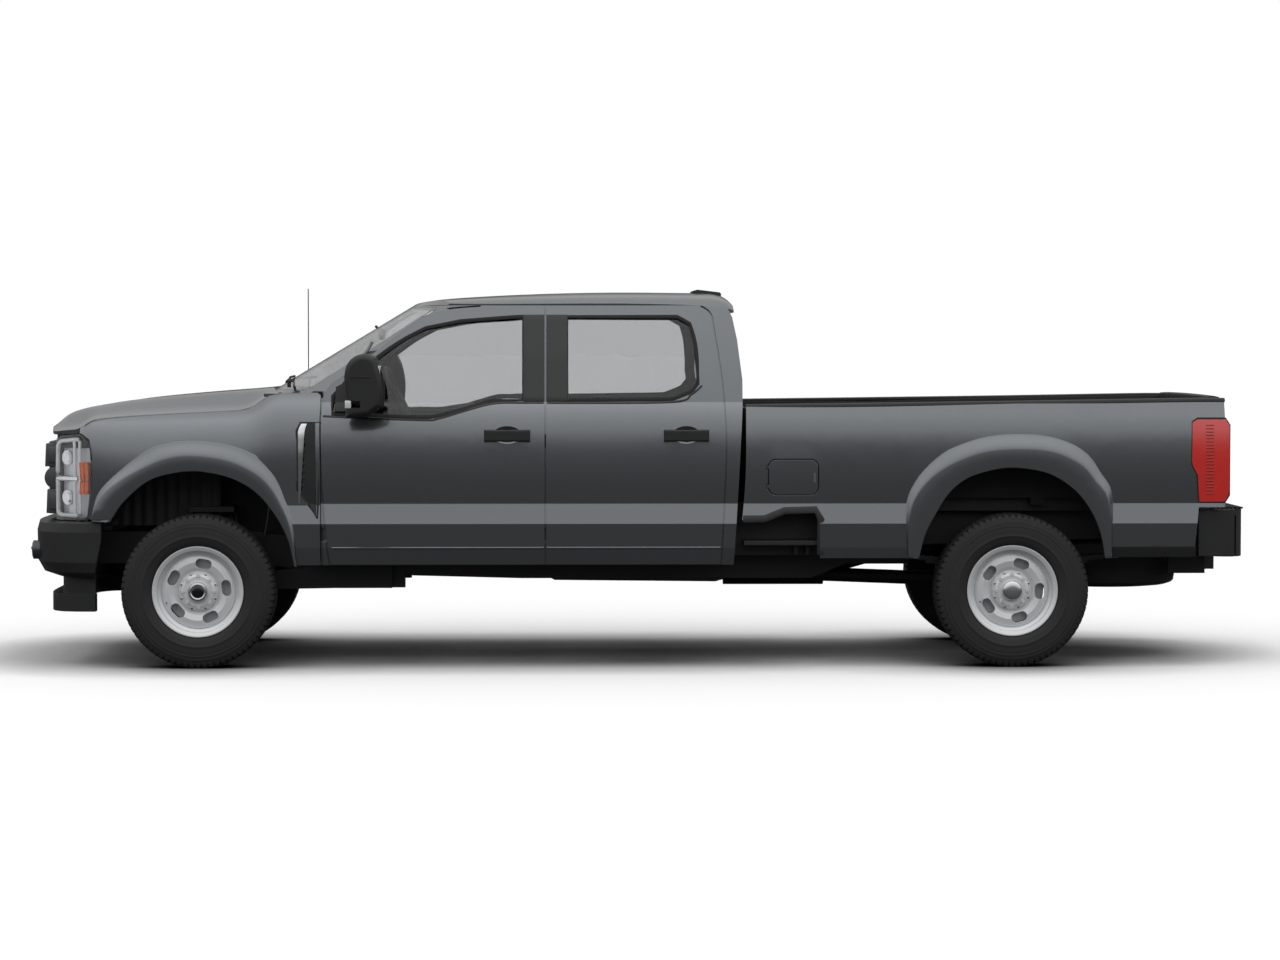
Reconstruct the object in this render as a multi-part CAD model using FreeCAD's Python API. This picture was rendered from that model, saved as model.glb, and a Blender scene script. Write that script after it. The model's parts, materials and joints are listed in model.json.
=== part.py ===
"""Crew-cab pickup truck with a long bed, built piece by piece.

The truck faces -X, its driver sits on the -Y side and +Z is up.
The origin is on the ground below the middle of the whole length.
"""
import FreeCAD, Part
import math
import os

os.makedirs("parts", exist_ok=True)
Point = FreeCAD.Vector

# Driving sizes of the whole truck
WHEELBASE = 4470.0
FRONT_OVERHANG = 985.0
REAR_OVERHANG = 1315.0
HEIGHT = 2070.0
HALF_WIDTH = 1016.0
FRONT_AXLE_X = FRONT_OVERHANG - (FRONT_OVERHANG + WHEELBASE + REAR_OVERHANG) / 2
REAR_AXLE_X = FRONT_AXLE_X + WHEELBASE

# Fits and gaps
FIT = 0.3
PANEL_GAP = 8.0
OVERRUN = 60.0

# Wheels
TYRE_RADIUS = 421.0
TYRE_WIDTH = 275.0
RIM_RADIUS = 250.0
RIM_WIDTH = 232.0
FRONT_TRACK = 1735.0
REAR_TRACK = 1707.0
SLOT_COUNT = 5
LUG_COUNT = 8

# Steering
KINGPIN_INBOARD = 95.5
KINGPIN_RADIUS = 17.0
STEERING_ARM = 165.0
TIE_ROD_RADIUS = 17.0

# Frame
RAIL_OUTSIDE = 430.0
RAIL_WIDTH = 70.0
RAIL_DEPTH = 180.0
AXLE_TUBE_RADIUS = 50.0
RECEIVER_BORE = 63.5
RECEIVER_WALL = 8.0
HITCH_PIN_RADIUS = 8.0
HITCH_PIN_INSET = 60.0

# Body panels
SKIN = 3.0
SHEET = 12.0
DOOR_DEPTH = 130.0
DOOR_FRAME_DEPTH = 45.0
FLANGE_WIDTH = 18.0
GLASS = 5.0
GLASS_DEPTH = 14.0
WALL = 92.0
BED_WALL_INSIDE = 800.0
BED_FLOOR_HEIGHT = 930.0
BED_FLOOR_THICKNESS = 12.0

# Door hinges
HINGE_AHEAD = 68.0
HINGE_INBOARD = 23.0
HINGE_PIN_RADIUS = 6.0
HINGE_EYE_RADIUS = 11.0
HINGE_HEIGHT = 46.0
HINGE_ARM_DEPTH = 54.0
HINGE_ARM_THICKNESS = 8.0
HINGE_HEIGHTS_SHARES = (0.355, 0.600)


def along(share):
    """Place rearwards of the front axle, as a share of the wheelbase."""
    return FRONT_AXLE_X + WHEELBASE * share


def up(share):
    """Height above the ground, as a share of the roof height."""
    return HEIGHT * share


def out(share):
    """Distance from the middle plane, as a share of the half width."""
    return HALF_WIDTH * share


def side_points(shares):
    """Side-view points from pairs of length and height shares."""
    return [Point(along(x), 0, up(z)) for x, z in shares]


def loop(points):
    """Closed wire of straight runs."""
    return Part.makePolygon(list(points) + [points[0]])


def face_of(points):
    """Flat face inside a closed run of points."""
    return Part.Face(loop(points))


def smooth(points):
    """Smooth edge through the points."""
    curve = Part.BSplineCurve()
    curve.interpolate(list(points))
    return curve.toShape()


def line(start, end):
    """Straight edge."""
    return Part.LineSegment(start, end).toShape()


def mixed_wire(runs):
    """Closed wire of runs: two points make a straight run and more a smooth one.

    Each run starts where the one before ended.
    """
    last = runs[-1][-1]
    edges = []
    for run in runs:
        points = [last] + list(run)
        if len(points) == 2:
            edges.append(line(points[0], points[1]))
        else:
            edges.append(smooth(points))
        last = points[-1]
    return Part.Wire(edges)


def across(wire_or_face, start_y, end_y):
    """Solid made by sweeping a side-view outline from one width to another."""
    face = wire_or_face
    if wire_or_face.ShapeType == "Wire":
        face = Part.Face(wire_or_face)
    face = face.translated(Point(0, start_y, 0))
    return face.extrude(Point(0, end_y - start_y, 0))


def block(x0, x1, y0, y1, z0, z1):
    """Box between two corners."""
    low = Point(min(x0, x1), min(y0, y1), min(z0, z1))
    return Part.makeBox(abs(x1 - x0), abs(y1 - y0), abs(z1 - z0), low)


def rod(radius, start, end):
    """Round bar between two points."""
    way = end - start
    return Part.makeCylinder(radius, way.Length, start, way)


def ring_bar(outer, inner, start, end):
    """Round tube between two points."""
    return rod(outer, start, end).cut(rod(inner, start, end))


def mirrored(shape):
    """The same shape on the other side of the truck."""
    return shape.mirror(Point(0, 0, 0), Point(0, 1, 0))


def both_sides(shape):
    """The shape and its mirror image as one compound."""
    return Part.makeCompound([shape, mirrored(shape)])


def fused(shapes):
    """One body from shapes that touch."""
    first = shapes[0]
    if len(shapes) == 1:
        return first
    return first.fuse(list(shapes[1:])).removeSplitter()


def bent_tube(points, radius, bend):
    """Round tube along straight runs joined by tangent arcs."""
    edges = []
    last = points[0]
    for before, corner, after in zip(points, points[1:], points[2:]):
        inward = (before - corner).normalize()
        onward = (after - corner).normalize()
        half = inward.getAngle(onward) / 2
        reach = bend / math.tan(half)
        start = corner + inward * reach
        end = corner + onward * reach
        middle_way = (inward + onward).normalize()
        middle = corner + middle_way * (bend / math.sin(half) - bend)
        edges.append(line(last, start))
        edges.append(Part.Arc(start, middle, end).toShape())
        last = end
    edges.append(line(last, points[-1]))
    path = Part.Wire(edges)
    start_way = (points[1] - points[0]).normalize()
    circle = Part.Wire([Part.makeCircle(radius, points[0], start_way)])
    return path.makePipeShell([circle], True, False)


def save(name, shape):
    """Write one node."""
    shape.exportStep("parts/" + name + ".step")


def turned(profile, centre, outward):
    """Solid of revolution about a wheel's axle.

    The profile has pairs of distance outboard of the wheel's middle and radius.
    """
    points = [Point(0, outward * w, r) for w, r in profile]
    face = face_of(points)
    solid = face.revolve(Point(0, 0, 0), Point(0, 1, 0), 360)
    if solid.Volume < 0:
        solid.reverse()
    return solid.translated(centre)


# Wheel profiles as shares of half the tyre width and of the tyre radius
TYRE_PROFILE_SHARES = (
    (0.775, 0.5530), (0.775, 0.5990), (0.890, 0.6150), (0.965, 0.6800), (1.000, 0.7650),
    (0.965, 0.8750), (0.885, 0.9550), (0.800, 0.9850), (0.500, 1.0), (-0.500, 1.0),
    (-0.800, 0.9850), (-0.885, 0.9550), (-0.965, 0.8750), (-1.000, 0.7650), (-0.965, 0.6800),
    (-0.890, 0.6150), (-0.775, 0.5990), (-0.775, 0.5530),
)
# Rim profile as shares of half the rim width and of the rim radius
RIM_BARREL_SHARES = (
    (1.00, 1.000), (0.96, 1.000), (0.93, 0.930), (0.60, 0.925), (0.52, 0.845), (0.05, 0.845),
    (-0.10, 0.925), (-0.93, 0.930), (-0.96, 1.000), (-1.00, 1.000), (-1.00, 0.985),
    (-0.94, 0.905), (-0.13, 0.900), (0.02, 0.815), (0.55, 0.815), (0.66, 0.895),
    (0.93, 0.900), (1.00, 0.975),
)
DISC_SHARES = (
    (0.47, 0.820), (0.60, 0.810), (0.68, 0.760), (0.72, 0.640), (0.66, 0.520),
    (0.50, 0.455), (0.50, 0.0), (0.42, 0.0), (0.42, 0.470), (0.58, 0.540),
    (0.64, 0.640), (0.60, 0.745), (0.53, 0.790), (0.44, 0.800),
)
HUB_COVER_SHARES = (
    (0.50, 0.0), (0.50, 0.430), (0.58, 0.428), (0.70, 0.370), (0.74, 0.330), (0.74, 0.235),
    (0.86, 0.228), (0.92, 0.190), (0.93, 0.0),
)
SLOT_RADIUS_SHARE = 0.616
SLOT_LENGTH_SHARE = 0.352
SLOT_WIDTH_SHARE = 0.205
LUG_CIRCLE_SHARE = 0.34
LUG_RADIUS_SHARE = 0.044
LUG_LENGTH_SHARE = 0.26
HUB_RADIUS_SHARE = 0.30
ROTOR_RADIUS_SHARE = 0.74
ROTOR_THICKNESS_SHARE = 0.26


def scaled(shares, across_size, radius_size):
    """Wheel profile in real sizes."""
    return [(w * across_size, r * radius_size) for w, r in shares]


def tyre(centre, outward):
    """Closed tyre with its shoulders and bulging side walls."""
    shape = scaled(TYRE_PROFILE_SHARES, TYRE_WIDTH / 2, TYRE_RADIUS)
    return turned(shape, centre, outward)


def slot_cutter(centre, outward, angle):
    """Rounded opening through the disc at one angle."""
    length = SLOT_LENGTH_SHARE * RIM_RADIUS
    width = SLOT_WIDTH_SHARE * RIM_RADIUS
    reach = SLOT_RADIUS_SHARE * RIM_RADIUS
    half = (length - width) / 2
    depth = outward * RIM_WIDTH
    middle = block(-half, half, 0, depth, reach - width / 2, reach + width / 2)
    ends = [rod(width / 2, Point(x, 0, reach), Point(x, depth, reach)) for x in (-half, half)]
    cutter = middle.fuse(ends)
    cutter.rotate(Point(0, 0, 0), Point(0, 1, 0), angle)
    return cutter.translated(centre)


def rim(centre, outward, first_angle):
    """Steel rim with its slotted disc, lug cover, hub and brake rotor."""
    half = RIM_WIDTH / 2
    barrel = turned(scaled(RIM_BARREL_SHARES, half, RIM_RADIUS), centre, outward)
    disc = turned(scaled(DISC_SHARES, half, RIM_RADIUS), centre, outward)
    for index in range(SLOT_COUNT):
        disc = disc.cut(slot_cutter(centre, outward, first_angle + index * 360 / SLOT_COUNT))
    cover = turned(scaled(HUB_COVER_SHARES, half, RIM_RADIUS), centre, outward)
    lugs = []
    for index in range(LUG_COUNT):
        turn = math.radians(index * 360 / LUG_COUNT)
        reach = LUG_CIRCLE_SHARE * RIM_RADIUS
        foot = centre + Point(reach * math.cos(turn), outward * half / 2, reach * math.sin(turn))
        tip = foot + Point(0, outward * RIM_WIDTH * LUG_LENGTH_SHARE / 2, 0)
        lugs.append(rod(LUG_RADIUS_SHARE * RIM_RADIUS, foot, tip))
    hub_start = centre + Point(0, -outward * half * ROTOR_THICKNESS_SHARE, 0)
    hub_end = centre + Point(0, outward * half / 2, 0)
    hub = rod(HUB_RADIUS_SHARE * RIM_RADIUS, hub_start, hub_end)
    rotor_end = hub_start + Point(0, outward * half * ROTOR_THICKNESS_SHARE, 0)
    rotor = rod(ROTOR_RADIUS_SHARE * RIM_RADIUS, hub_start, rotor_end)
    return fused([barrel, disc, cover, hub, rotor] + lugs)


SIDES = (("left", -1), ("right", 1))
FRONT_SLOT_ANGLE = 11.0
REAR_SLOT_ANGLE = 20.0


def wheels():
    """Four road wheels, each a tyre and a rim."""
    places = (("front", FRONT_AXLE_X, FRONT_TRACK, FRONT_SLOT_ANGLE),
              ("rear", REAR_AXLE_X, REAR_TRACK, REAR_SLOT_ANGLE))
    for end, x, track, angle in places:
        for side, sign in SIDES:
            centre = Point(x, sign * track / 2, TYRE_RADIUS)
            save("tyre_" + end + "_" + side, tyre(centre, sign))
            save("rim_" + end + "_" + side, rim(centre, sign, angle))


# Knuckle and axle-end sizes
YOKE_GAP = 96.0
YOKE_ARM = 24.0
YOKE_RADIUS = 34.0
YOKE_BACK = 62.0
KNUCKLE_PLATE = 26.0
KNUCKLE_HALF = 74.0
SPINDLE_RADIUS = 42.0
BALL_EYE_RADIUS = 26.0
STEERING_ARM_DROP = 30.0
ARM_THICKNESS = 24.0


def kingpin_place(sign):
    """Where a front wheel steers, at wheel-centre height."""
    return Point(FRONT_AXLE_X, sign * (FRONT_TRACK / 2 - KINGPIN_INBOARD), TYRE_RADIUS)


def knuckle(sign):
    """Steering knuckle: kingpin, face plate, spindle and steering arm."""
    pin = kingpin_place(sign)
    tall = YOKE_GAP + YOKE_ARM + FIT
    kingpin = rod(KINGPIN_RADIUS, pin - Point(0, 0, tall), pin + Point(0, 0, tall))
    heart = rod(YOKE_RADIUS, pin - Point(0, 0, YOKE_GAP - FIT), pin + Point(0, 0, YOKE_GAP - FIT))
    inner = sign * (YOKE_RADIUS + KNUCKLE_PLATE / 2)
    plate = block(pin.x - KNUCKLE_HALF, pin.x + KNUCKLE_HALF, pin.y, pin.y + inner,
                  pin.z - YOKE_GAP + FIT, pin.z + YOKE_GAP - FIT)
    plate = plate.cut(block(pin.x - KNUCKLE_HALF, pin.x - YOKE_RADIUS, pin.y, pin.y + inner / 2,
                            pin.z - YOKE_GAP, pin.z + YOKE_GAP))
    plate = plate.cut(block(pin.x + YOKE_RADIUS, pin.x + KNUCKLE_HALF, pin.y, pin.y + inner / 2,
                            pin.z - YOKE_GAP, pin.z + YOKE_GAP))
    hub_face = sign * (FRONT_TRACK / 2 - RIM_WIDTH / 2 * ROTOR_THICKNESS_SHARE - FIT)
    spindle = rod(SPINDLE_RADIUS, Point(pin.x, pin.y + inner / 2, pin.z), Point(pin.x, hub_face, pin.z))
    arm_z = pin.z - STEERING_ARM_DROP
    arm = block(pin.x - STEERING_ARM, pin.x, pin.y - BALL_EYE_RADIUS, pin.y + BALL_EYE_RADIUS,
                arm_z - ARM_THICKNESS, arm_z)
    eye = rod(BALL_EYE_RADIUS, Point(pin.x - STEERING_ARM, pin.y, arm_z - ARM_THICKNESS),
              Point(pin.x - STEERING_ARM, pin.y, arm_z))
    stud = rod(TIE_ROD_RADIUS / 2, Point(pin.x - STEERING_ARM, pin.y, arm_z - ARM_THICKNESS),
               Point(pin.x - STEERING_ARM, pin.y, arm_z + 2 * TIE_ROD_RADIUS))
    return fused([heart, kingpin, plate, spindle, arm, eye, stud])


TIE_ROD_WAIST_SHARE = 0.9


def tie_rod():
    """Bar that joins both steering arms."""
    left = kingpin_place(-1)
    z = left.z - STEERING_ARM_DROP + TIE_ROD_RADIUS + FIT
    x = left.x - STEERING_ARM
    eyes = []
    pegs = []
    for sign in (-1, 1):
        y = kingpin_place(sign).y
        play = FIT
        eyes.append(rod(BALL_EYE_RADIUS, Point(x, y, z - TIE_ROD_RADIUS), Point(x, y, z + TIE_ROD_RADIUS)))
        pegs.append(rod(TIE_ROD_RADIUS / 2 + play, Point(x, y, z - OVERRUN), Point(x, y, z + OVERRUN)))
    bar = rod(TIE_ROD_RADIUS * TIE_ROD_WAIST_SHARE, Point(x, left.y, z), Point(x, -left.y, z))
    return fused(eyes + [bar]).cut(Part.makeCompound(pegs))


# Axle housings
FRONT_DIFF_RADIUS = 110.0
REAR_DIFF_RADIUS = 150.0
DIFF_HALF_LENGTH = 95.0
FRONT_DIFF_OFFSET = 150.0
AXLE_PAD = 90.0
RADIUS_ARM_WIDTH = 46.0
RADIUS_ARM_OUTSIDE = 482.0
RADIUS_ARM_SHARES = ((-0.0210, 0.190), (0.020, 0.228), (0.160, 0.262), (0.232, 0.262),
                     (0.232, 0.196), (0.160, 0.196))
COIL_PLACE = 500.0
COIL_RADIUS = 62.0
COIL_WIRE = 9.0
COIL_TURNS = 6
COIL_SEAT = 14.0
DIFF_NOSE_SHARE = 1.5


def diff_housing(x, y, radius, facing):
    """Bulging centre of an axle, with its cover and its drive nose."""
    centre = Point(x, y, TYRE_RADIUS)
    ball = Part.makeSphere(radius, centre)
    slab = block(x - radius, x + radius, y - DIFF_HALF_LENGTH, y + DIFF_HALF_LENGTH,
                 TYRE_RADIUS - radius, TYRE_RADIUS + radius)
    nose = Part.makeCone(DIFF_HALF_LENGTH, DIFF_HALF_LENGTH / 2, radius * DIFF_NOSE_SHARE, centre,
                         Point(facing, 0, 0))
    return ball.common(slab).fuse(nose)


PAD_HALF_SHARE = 0.8
PAD_SINK_SHARE = 0.7


def front_axle():
    """Front axle beam, centre housing, end yokes, spring pads and radius arms."""
    parts = []
    end = FRONT_TRACK / 2 - KINGPIN_INBOARD
    inner = end - YOKE_BACK
    axle = rod(AXLE_TUBE_RADIUS, Point(FRONT_AXLE_X, -inner, TYRE_RADIUS),
               Point(FRONT_AXLE_X, inner, TYRE_RADIUS))
    parts.append(axle)
    parts.append(diff_housing(FRONT_AXLE_X, -FRONT_DIFF_OFFSET, FRONT_DIFF_RADIUS, 1))
    for side, sign in SIDES:
        pin = kingpin_place(sign)
        back = block(pin.x - YOKE_RADIUS, pin.x + YOKE_RADIUS, sign * (inner - YOKE_ARM), sign * inner,
                     pin.z - YOKE_GAP - YOKE_ARM, pin.z + YOKE_GAP + YOKE_ARM)
        parts.append(back)
        for way in (-1, 1):
            z0 = pin.z + way * YOKE_GAP
            z1 = z0 + way * YOKE_ARM
            arm = block(pin.x - YOKE_RADIUS, pin.x + YOKE_RADIUS, sign * (inner - YOKE_ARM), pin.y, z0, z1)
            boss = rod(YOKE_RADIUS, Point(pin.x, pin.y, z0), Point(pin.x, pin.y, z1))
            bore = rod(KINGPIN_RADIUS + FIT, Point(pin.x, pin.y, z0 - OVERRUN),
                       Point(pin.x, pin.y, z1 + OVERRUN))
            parts.append(arm.fuse(boss).cut(bore))
        pad_y = sign * COIL_PLACE
        pad_half = AXLE_PAD * PAD_HALF_SHARE
        parts.append(block(FRONT_AXLE_X - AXLE_PAD, FRONT_AXLE_X + AXLE_PAD, pad_y - pad_half,
                           pad_y + pad_half, TYRE_RADIUS + AXLE_TUBE_RADIUS * PAD_SINK_SHARE,
                           TYRE_RADIUS + AXLE_TUBE_RADIUS + COIL_SEAT))
        arm = across(loop(side_points(RADIUS_ARM_SHARES)), sign * (RADIUS_ARM_OUTSIDE - RADIUS_ARM_WIDTH),
                     sign * RADIUS_ARM_OUTSIDE)
        parts.append(arm)
        shock_x = along(FRONT_SHOCK_SHARES[0])
        parts.append(block(shock_x - SHOCK_PAD, shock_x + SHOCK_PAD,
                           sign * (RADIUS_ARM_OUTSIDE - RADIUS_ARM_WIDTH),
                           sign * (FRONT_SHOCK_PLACE + SHOCK_PAD / 2), FRONT_PAD_TOP - SHOCK_PAD,
                           FRONT_PAD_TOP))
    return fused(parts)


COIL_TOP_SHARE = 0.405
COIL_CORE_SHARE = 0.82
COIL_BORE_SHARE = 0.70


def coil_springs():
    """Both front coil springs between the axle and the frame's spring seats."""
    low = TYRE_RADIUS + AXLE_TUBE_RADIUS + COIL_SEAT + FIT
    high = up(COIL_TOP_SHARE) - FIT
    rings = []
    pitch = (high - low - 2 * COIL_WIRE) / COIL_TURNS
    for side, sign in SIDES:
        foot = Point(FRONT_AXLE_X, sign * COIL_PLACE, low)
        top = Point(FRONT_AXLE_X, sign * COIL_PLACE, high)
        core = ring_bar(COIL_RADIUS * COIL_CORE_SHARE, COIL_RADIUS * COIL_BORE_SHARE, foot, top)
        turns = [core]
        for index in range(COIL_TURNS + 1):
            z = low + COIL_WIRE + pitch * index
            middle = Point(FRONT_AXLE_X, sign * COIL_PLACE, z)
            turns.append(Part.makeTorus(COIL_RADIUS - COIL_WIRE, COIL_WIRE, middle))
        rings.append(fused(turns))
    return Part.makeCompound(rings)


REAR_TUBE_RADIUS = 58.0
SPRING_PLACE = 528.0
SPRING_WIDTH = 76.0
SPRING_LEAF = 14.0
SPRING_LEAVES = 4
SPRING_FRONT_SHARE = 0.838
SPRING_REAR_SHARE = 1.175
SPRING_EYE_RADIUS = 30.0
SPRING_EYE_SHARE = 0.300
LEAF_STEP_SHARE = 0.2
LEAF_STEPS = 4


def rear_axle():
    """Rear axle beam with its centre housing, cover and hub ends."""
    hub_face = REAR_TRACK / 2 - RIM_WIDTH / 2 * ROTOR_THICKNESS_SHARE - FIT
    tube = rod(REAR_TUBE_RADIUS, Point(REAR_AXLE_X, -hub_face + DIFF_HALF_LENGTH, TYRE_RADIUS),
               Point(REAR_AXLE_X, hub_face - DIFF_HALF_LENGTH, TYRE_RADIUS))
    shaft = rod(SPINDLE_RADIUS, Point(REAR_AXLE_X, -hub_face, TYRE_RADIUS),
                Point(REAR_AXLE_X, hub_face, TYRE_RADIUS))
    housing = diff_housing(REAR_AXLE_X, 0, REAR_DIFF_RADIUS, -1)
    plates = []
    for side, sign in SIDES:
        start = Point(REAR_AXLE_X, sign * (hub_face - DIFF_HALF_LENGTH), TYRE_RADIUS)
        end = Point(REAR_AXLE_X, sign * (hub_face - DIFF_HALF_LENGTH / 2), TYRE_RADIUS)
        plates.append(rod(REAR_DIFF_RADIUS, start, end))
        shock_x = along(REAR_SHOCK_SHARES[0])
        plates.append(block(shock_x - SHOCK_PAD, REAR_AXLE_X, sign * (REAR_SHOCK_PLACE - SHOCK_PAD / 2),
                            sign * (REAR_SHOCK_PLACE + SHOCK_PAD / 2), REAR_PAD_TOP - SHOCK_PAD,
                            REAR_PAD_TOP))
    return fused([tube, shaft, housing] + plates)


def leaf_height(level, reach):
    """Height of a leaf's underside above the axle, at a share of the way to its eye."""
    rest = TYRE_RADIUS + REAR_TUBE_RADIUS + FIT + SPRING_LEAF * (2 + level)
    longest = rest + SPRING_LEAF * (SPRING_LEAVES - 1 - level)
    return rest + (up(SPRING_EYE_SHARE) - longest) * reach ** 2


def leaf_half(eye_x):
    """Stepped underside of the stack from one eye to the axle."""
    points = []
    ends = [1 - level * LEAF_STEP_SHARE for level in range(SPRING_LEAVES)] + [0]
    for index in range(SPRING_LEAVES):
        first, last = ends[index], ends[index + 1]
        for step in range(LEAF_STEPS):
            reach = first + (last - first) * step / LEAF_STEPS
            level = SPRING_LEAVES - 1 - index
            points.append(Point(REAR_AXLE_X + (eye_x - REAR_AXLE_X) * reach, 0, leaf_height(level, reach)))
        if index < SPRING_LEAVES - 1:
            corner = Point(REAR_AXLE_X + (eye_x - REAR_AXLE_X) * last, 0, leaf_height(level, last))
            points.append(corner)
    return points


def leaf_stack():
    """Side outline of one stack of leaves."""
    front_x = along(SPRING_FRONT_SHARE)
    rear_x = along(SPRING_REAR_SHARE)
    top = []
    for step in range(-2 * LEAF_STEPS, 2 * LEAF_STEPS + 1):
        reach = abs(step) / (2 * LEAF_STEPS)
        end = front_x if step < 0 else rear_x
        height = leaf_height(SPRING_LEAVES - 1, reach) + SPRING_LEAF
        top.append(Point(REAR_AXLE_X + (end - REAR_AXLE_X) * reach, 0, height))
    middle = Point(REAR_AXLE_X, 0, leaf_height(0, 0))
    return top + leaf_half(rear_x) + [middle] + list(reversed(leaf_half(front_x)))


def leaf_springs():
    """Both stacks of leaves with their eyes and axle blocks."""
    eye_z = up(SPRING_EYE_SHARE) + SPRING_LEAF
    seat = TYRE_RADIUS + REAR_TUBE_RADIUS + FIT
    stacks = []
    for side, sign in SIDES:
        y0 = sign * (SPRING_PLACE - SPRING_WIDTH / 2)
        y1 = sign * (SPRING_PLACE + SPRING_WIDTH / 2)
        pieces = [across(loop(leaf_stack()), y0, y1)]
        pieces.append(block(REAR_AXLE_X - AXLE_PAD, REAR_AXLE_X + AXLE_PAD, y0, y1, seat,
                            seat + SPRING_LEAF * 3))
        for share in (SPRING_FRONT_SHARE, SPRING_REAR_SHARE):
            x = along(share)
            pieces.append(rod(SPRING_EYE_RADIUS, Point(x, y0, eye_z), Point(x, y1, eye_z)))
        stacks.append(fused(pieces))
    return Part.makeCompound(stacks)


SHOCK_RADIUS = 30.0
SHOCK_ROD_RADIUS = 14.0
SHOCK_EYE_RADIUS = 18.0
FRONT_SHOCK_SHARES = (0.040, 0.030)
REAR_SHOCK_SHARES = (0.980, 0.968)
FRONT_SHOCK_PLACE = 474.0
REAR_SHOCK_PLACE = 395.0
SHOCK_PAD = 34.0
FRONT_PAD_TOP = 500.0
REAR_PAD_TOP = 441.0
SHOCK_BODY_SHARE = 0.62
SHOCK_FOOT_SHARE = 0.12


def shock_absorber(foot, head):
    """One damper: an eye at each end, a body below and a rod above."""
    middle = foot + (head - foot) * SHOCK_BODY_SHARE
    body = rod(SHOCK_RADIUS, foot + (head - foot) * SHOCK_FOOT_SHARE, middle)
    shapes = [body, rod(SHOCK_ROD_RADIUS, foot, head)]
    for eye in (foot, head):
        shapes.append(Part.makeSphere(SHOCK_EYE_RADIUS, eye))
    return fused(shapes)


def shock_absorbers():
    """Four dampers between the axles and the frame."""
    dampers = []
    front_top = up(COIL_TOP_SHARE) - SHOCK_EYE_RADIUS - FIT
    rear_top = rail_height(REAR_SHOCK_SHARES[1]) - RAIL_DEPTH / 2 - SHOCK_EYE_RADIUS - FIT * 3
    rise = SHOCK_EYE_RADIUS + FIT
    for shares, place, low, high in ((FRONT_SHOCK_SHARES, FRONT_SHOCK_PLACE, FRONT_PAD_TOP + rise,
                                      front_top),
                                     (REAR_SHOCK_SHARES, REAR_SHOCK_PLACE, REAR_PAD_TOP + rise, rear_top)):
        for side, sign in SIDES:
            foot = Point(along(shares[0]), sign * place, low)
            head = Point(along(shares[1]), sign * place, high)
            dampers.append(shock_absorber(foot, head))
    return Part.makeCompound(dampers)


# Frame rail centre line, rearwards and up
RAIL_SHARES = ((-0.178, 0.306), (-0.115, 0.306), (0.060, 0.306), (0.125, 0.286), (0.255, 0.272),
               (0.395, 0.264), (0.760, 0.264), (0.860, 0.352), (1.060, 0.366), (1.160, 0.372),
               (1.228, 0.372))
CROSS_SHARES = ((-0.150, 0.302), (0.345, 0.290), (0.480, 0.290), (0.640, 0.290), (0.800, 0.300),
                (1.075, 0.378), (1.190, 0.372))
CROSS_RADIUS = 30.0
BODY_MOUNT_SHARES = (0.175, 0.310, 0.470, 0.625)
BED_MOUNT_SHARES = (0.705, 0.840, 1.040, 1.215)
MOUNT_REACH = 150.0
MOUNT_RADIUS = 45.0
MOUNT_PLATE = 20.0
TOWER_SHARES = ((-0.024, 0.312), (-0.020, 0.420), (0.036, 0.420), (0.040, 0.312))
TOWER_HALF = 80.0
HOOK_PLACE = 475.0
HOOK_BAR = 13.0
HOOK_RADIUS = 34.0
HOOK_HEIGHT_SHARE = 0.3065
RECEIVER_HEIGHT_SHARE = 0.2505
RECEIVER_END_SHARE = 1.2865
RECEIVER_LENGTH = 183.0
HITCH_TUBE_SHARE = 1.2505
HITCH_TUBE_SIZE = 76.0
HITCH_PLATE = 12.0


def rail(sign):
    """One frame rail as a channel that opens towards the middle."""
    line_points = side_points(RAIL_SHARES)
    half = Point(0, 0, RAIL_DEPTH / 2)
    outline = [p + half for p in line_points] + [p - half for p in reversed(line_points)]
    outer = across(loop(outline), sign * (RAIL_OUTSIDE - RAIL_WIDTH), sign * RAIL_OUTSIDE)
    wall = Point(0, 0, RAIL_DEPTH / 2 - HITCH_PLATE)
    hollow = [p + wall for p in line_points] + [p - wall for p in reversed(line_points)]
    inside = across(loop(hollow), sign * (RAIL_OUTSIDE - RAIL_WIDTH - OVERRUN),
                    sign * (RAIL_OUTSIDE - HITCH_PLATE))
    return outer.cut(inside)


def tow_hook(sign):
    """Forged open hook on the front end of a rail."""
    tip = FRONT_AXLE_X - FRONT_OVERHANG
    z = up(HOOK_HEIGHT_SHARE)
    y = sign * HOOK_PLACE
    centre = Point(tip + HOOK_RADIUS + HOOK_BAR, y, z)
    ring = Part.makeTorus(HOOK_RADIUS, HOOK_BAR, centre, Point(0, 0, 1))
    slot = block(centre.x - HOOK_RADIUS, centre.x + HOOK_RADIUS + HOOK_BAR, y,
                 y + sign * (HOOK_RADIUS + 2 * HOOK_BAR), z - HOOK_BAR * 2, z + HOOK_BAR * 2)
    shank_y = y - sign * HOOK_RADIUS
    thick = HOOK_BAR - SKIN / 2
    shank = block(centre.x, along(RAIL_SHARES[0][0]) + RAIL_DEPTH, shank_y - thick, shank_y + thick,
                  z - thick, z + thick)
    return ring.cut(slot).fuse(shank)


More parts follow.
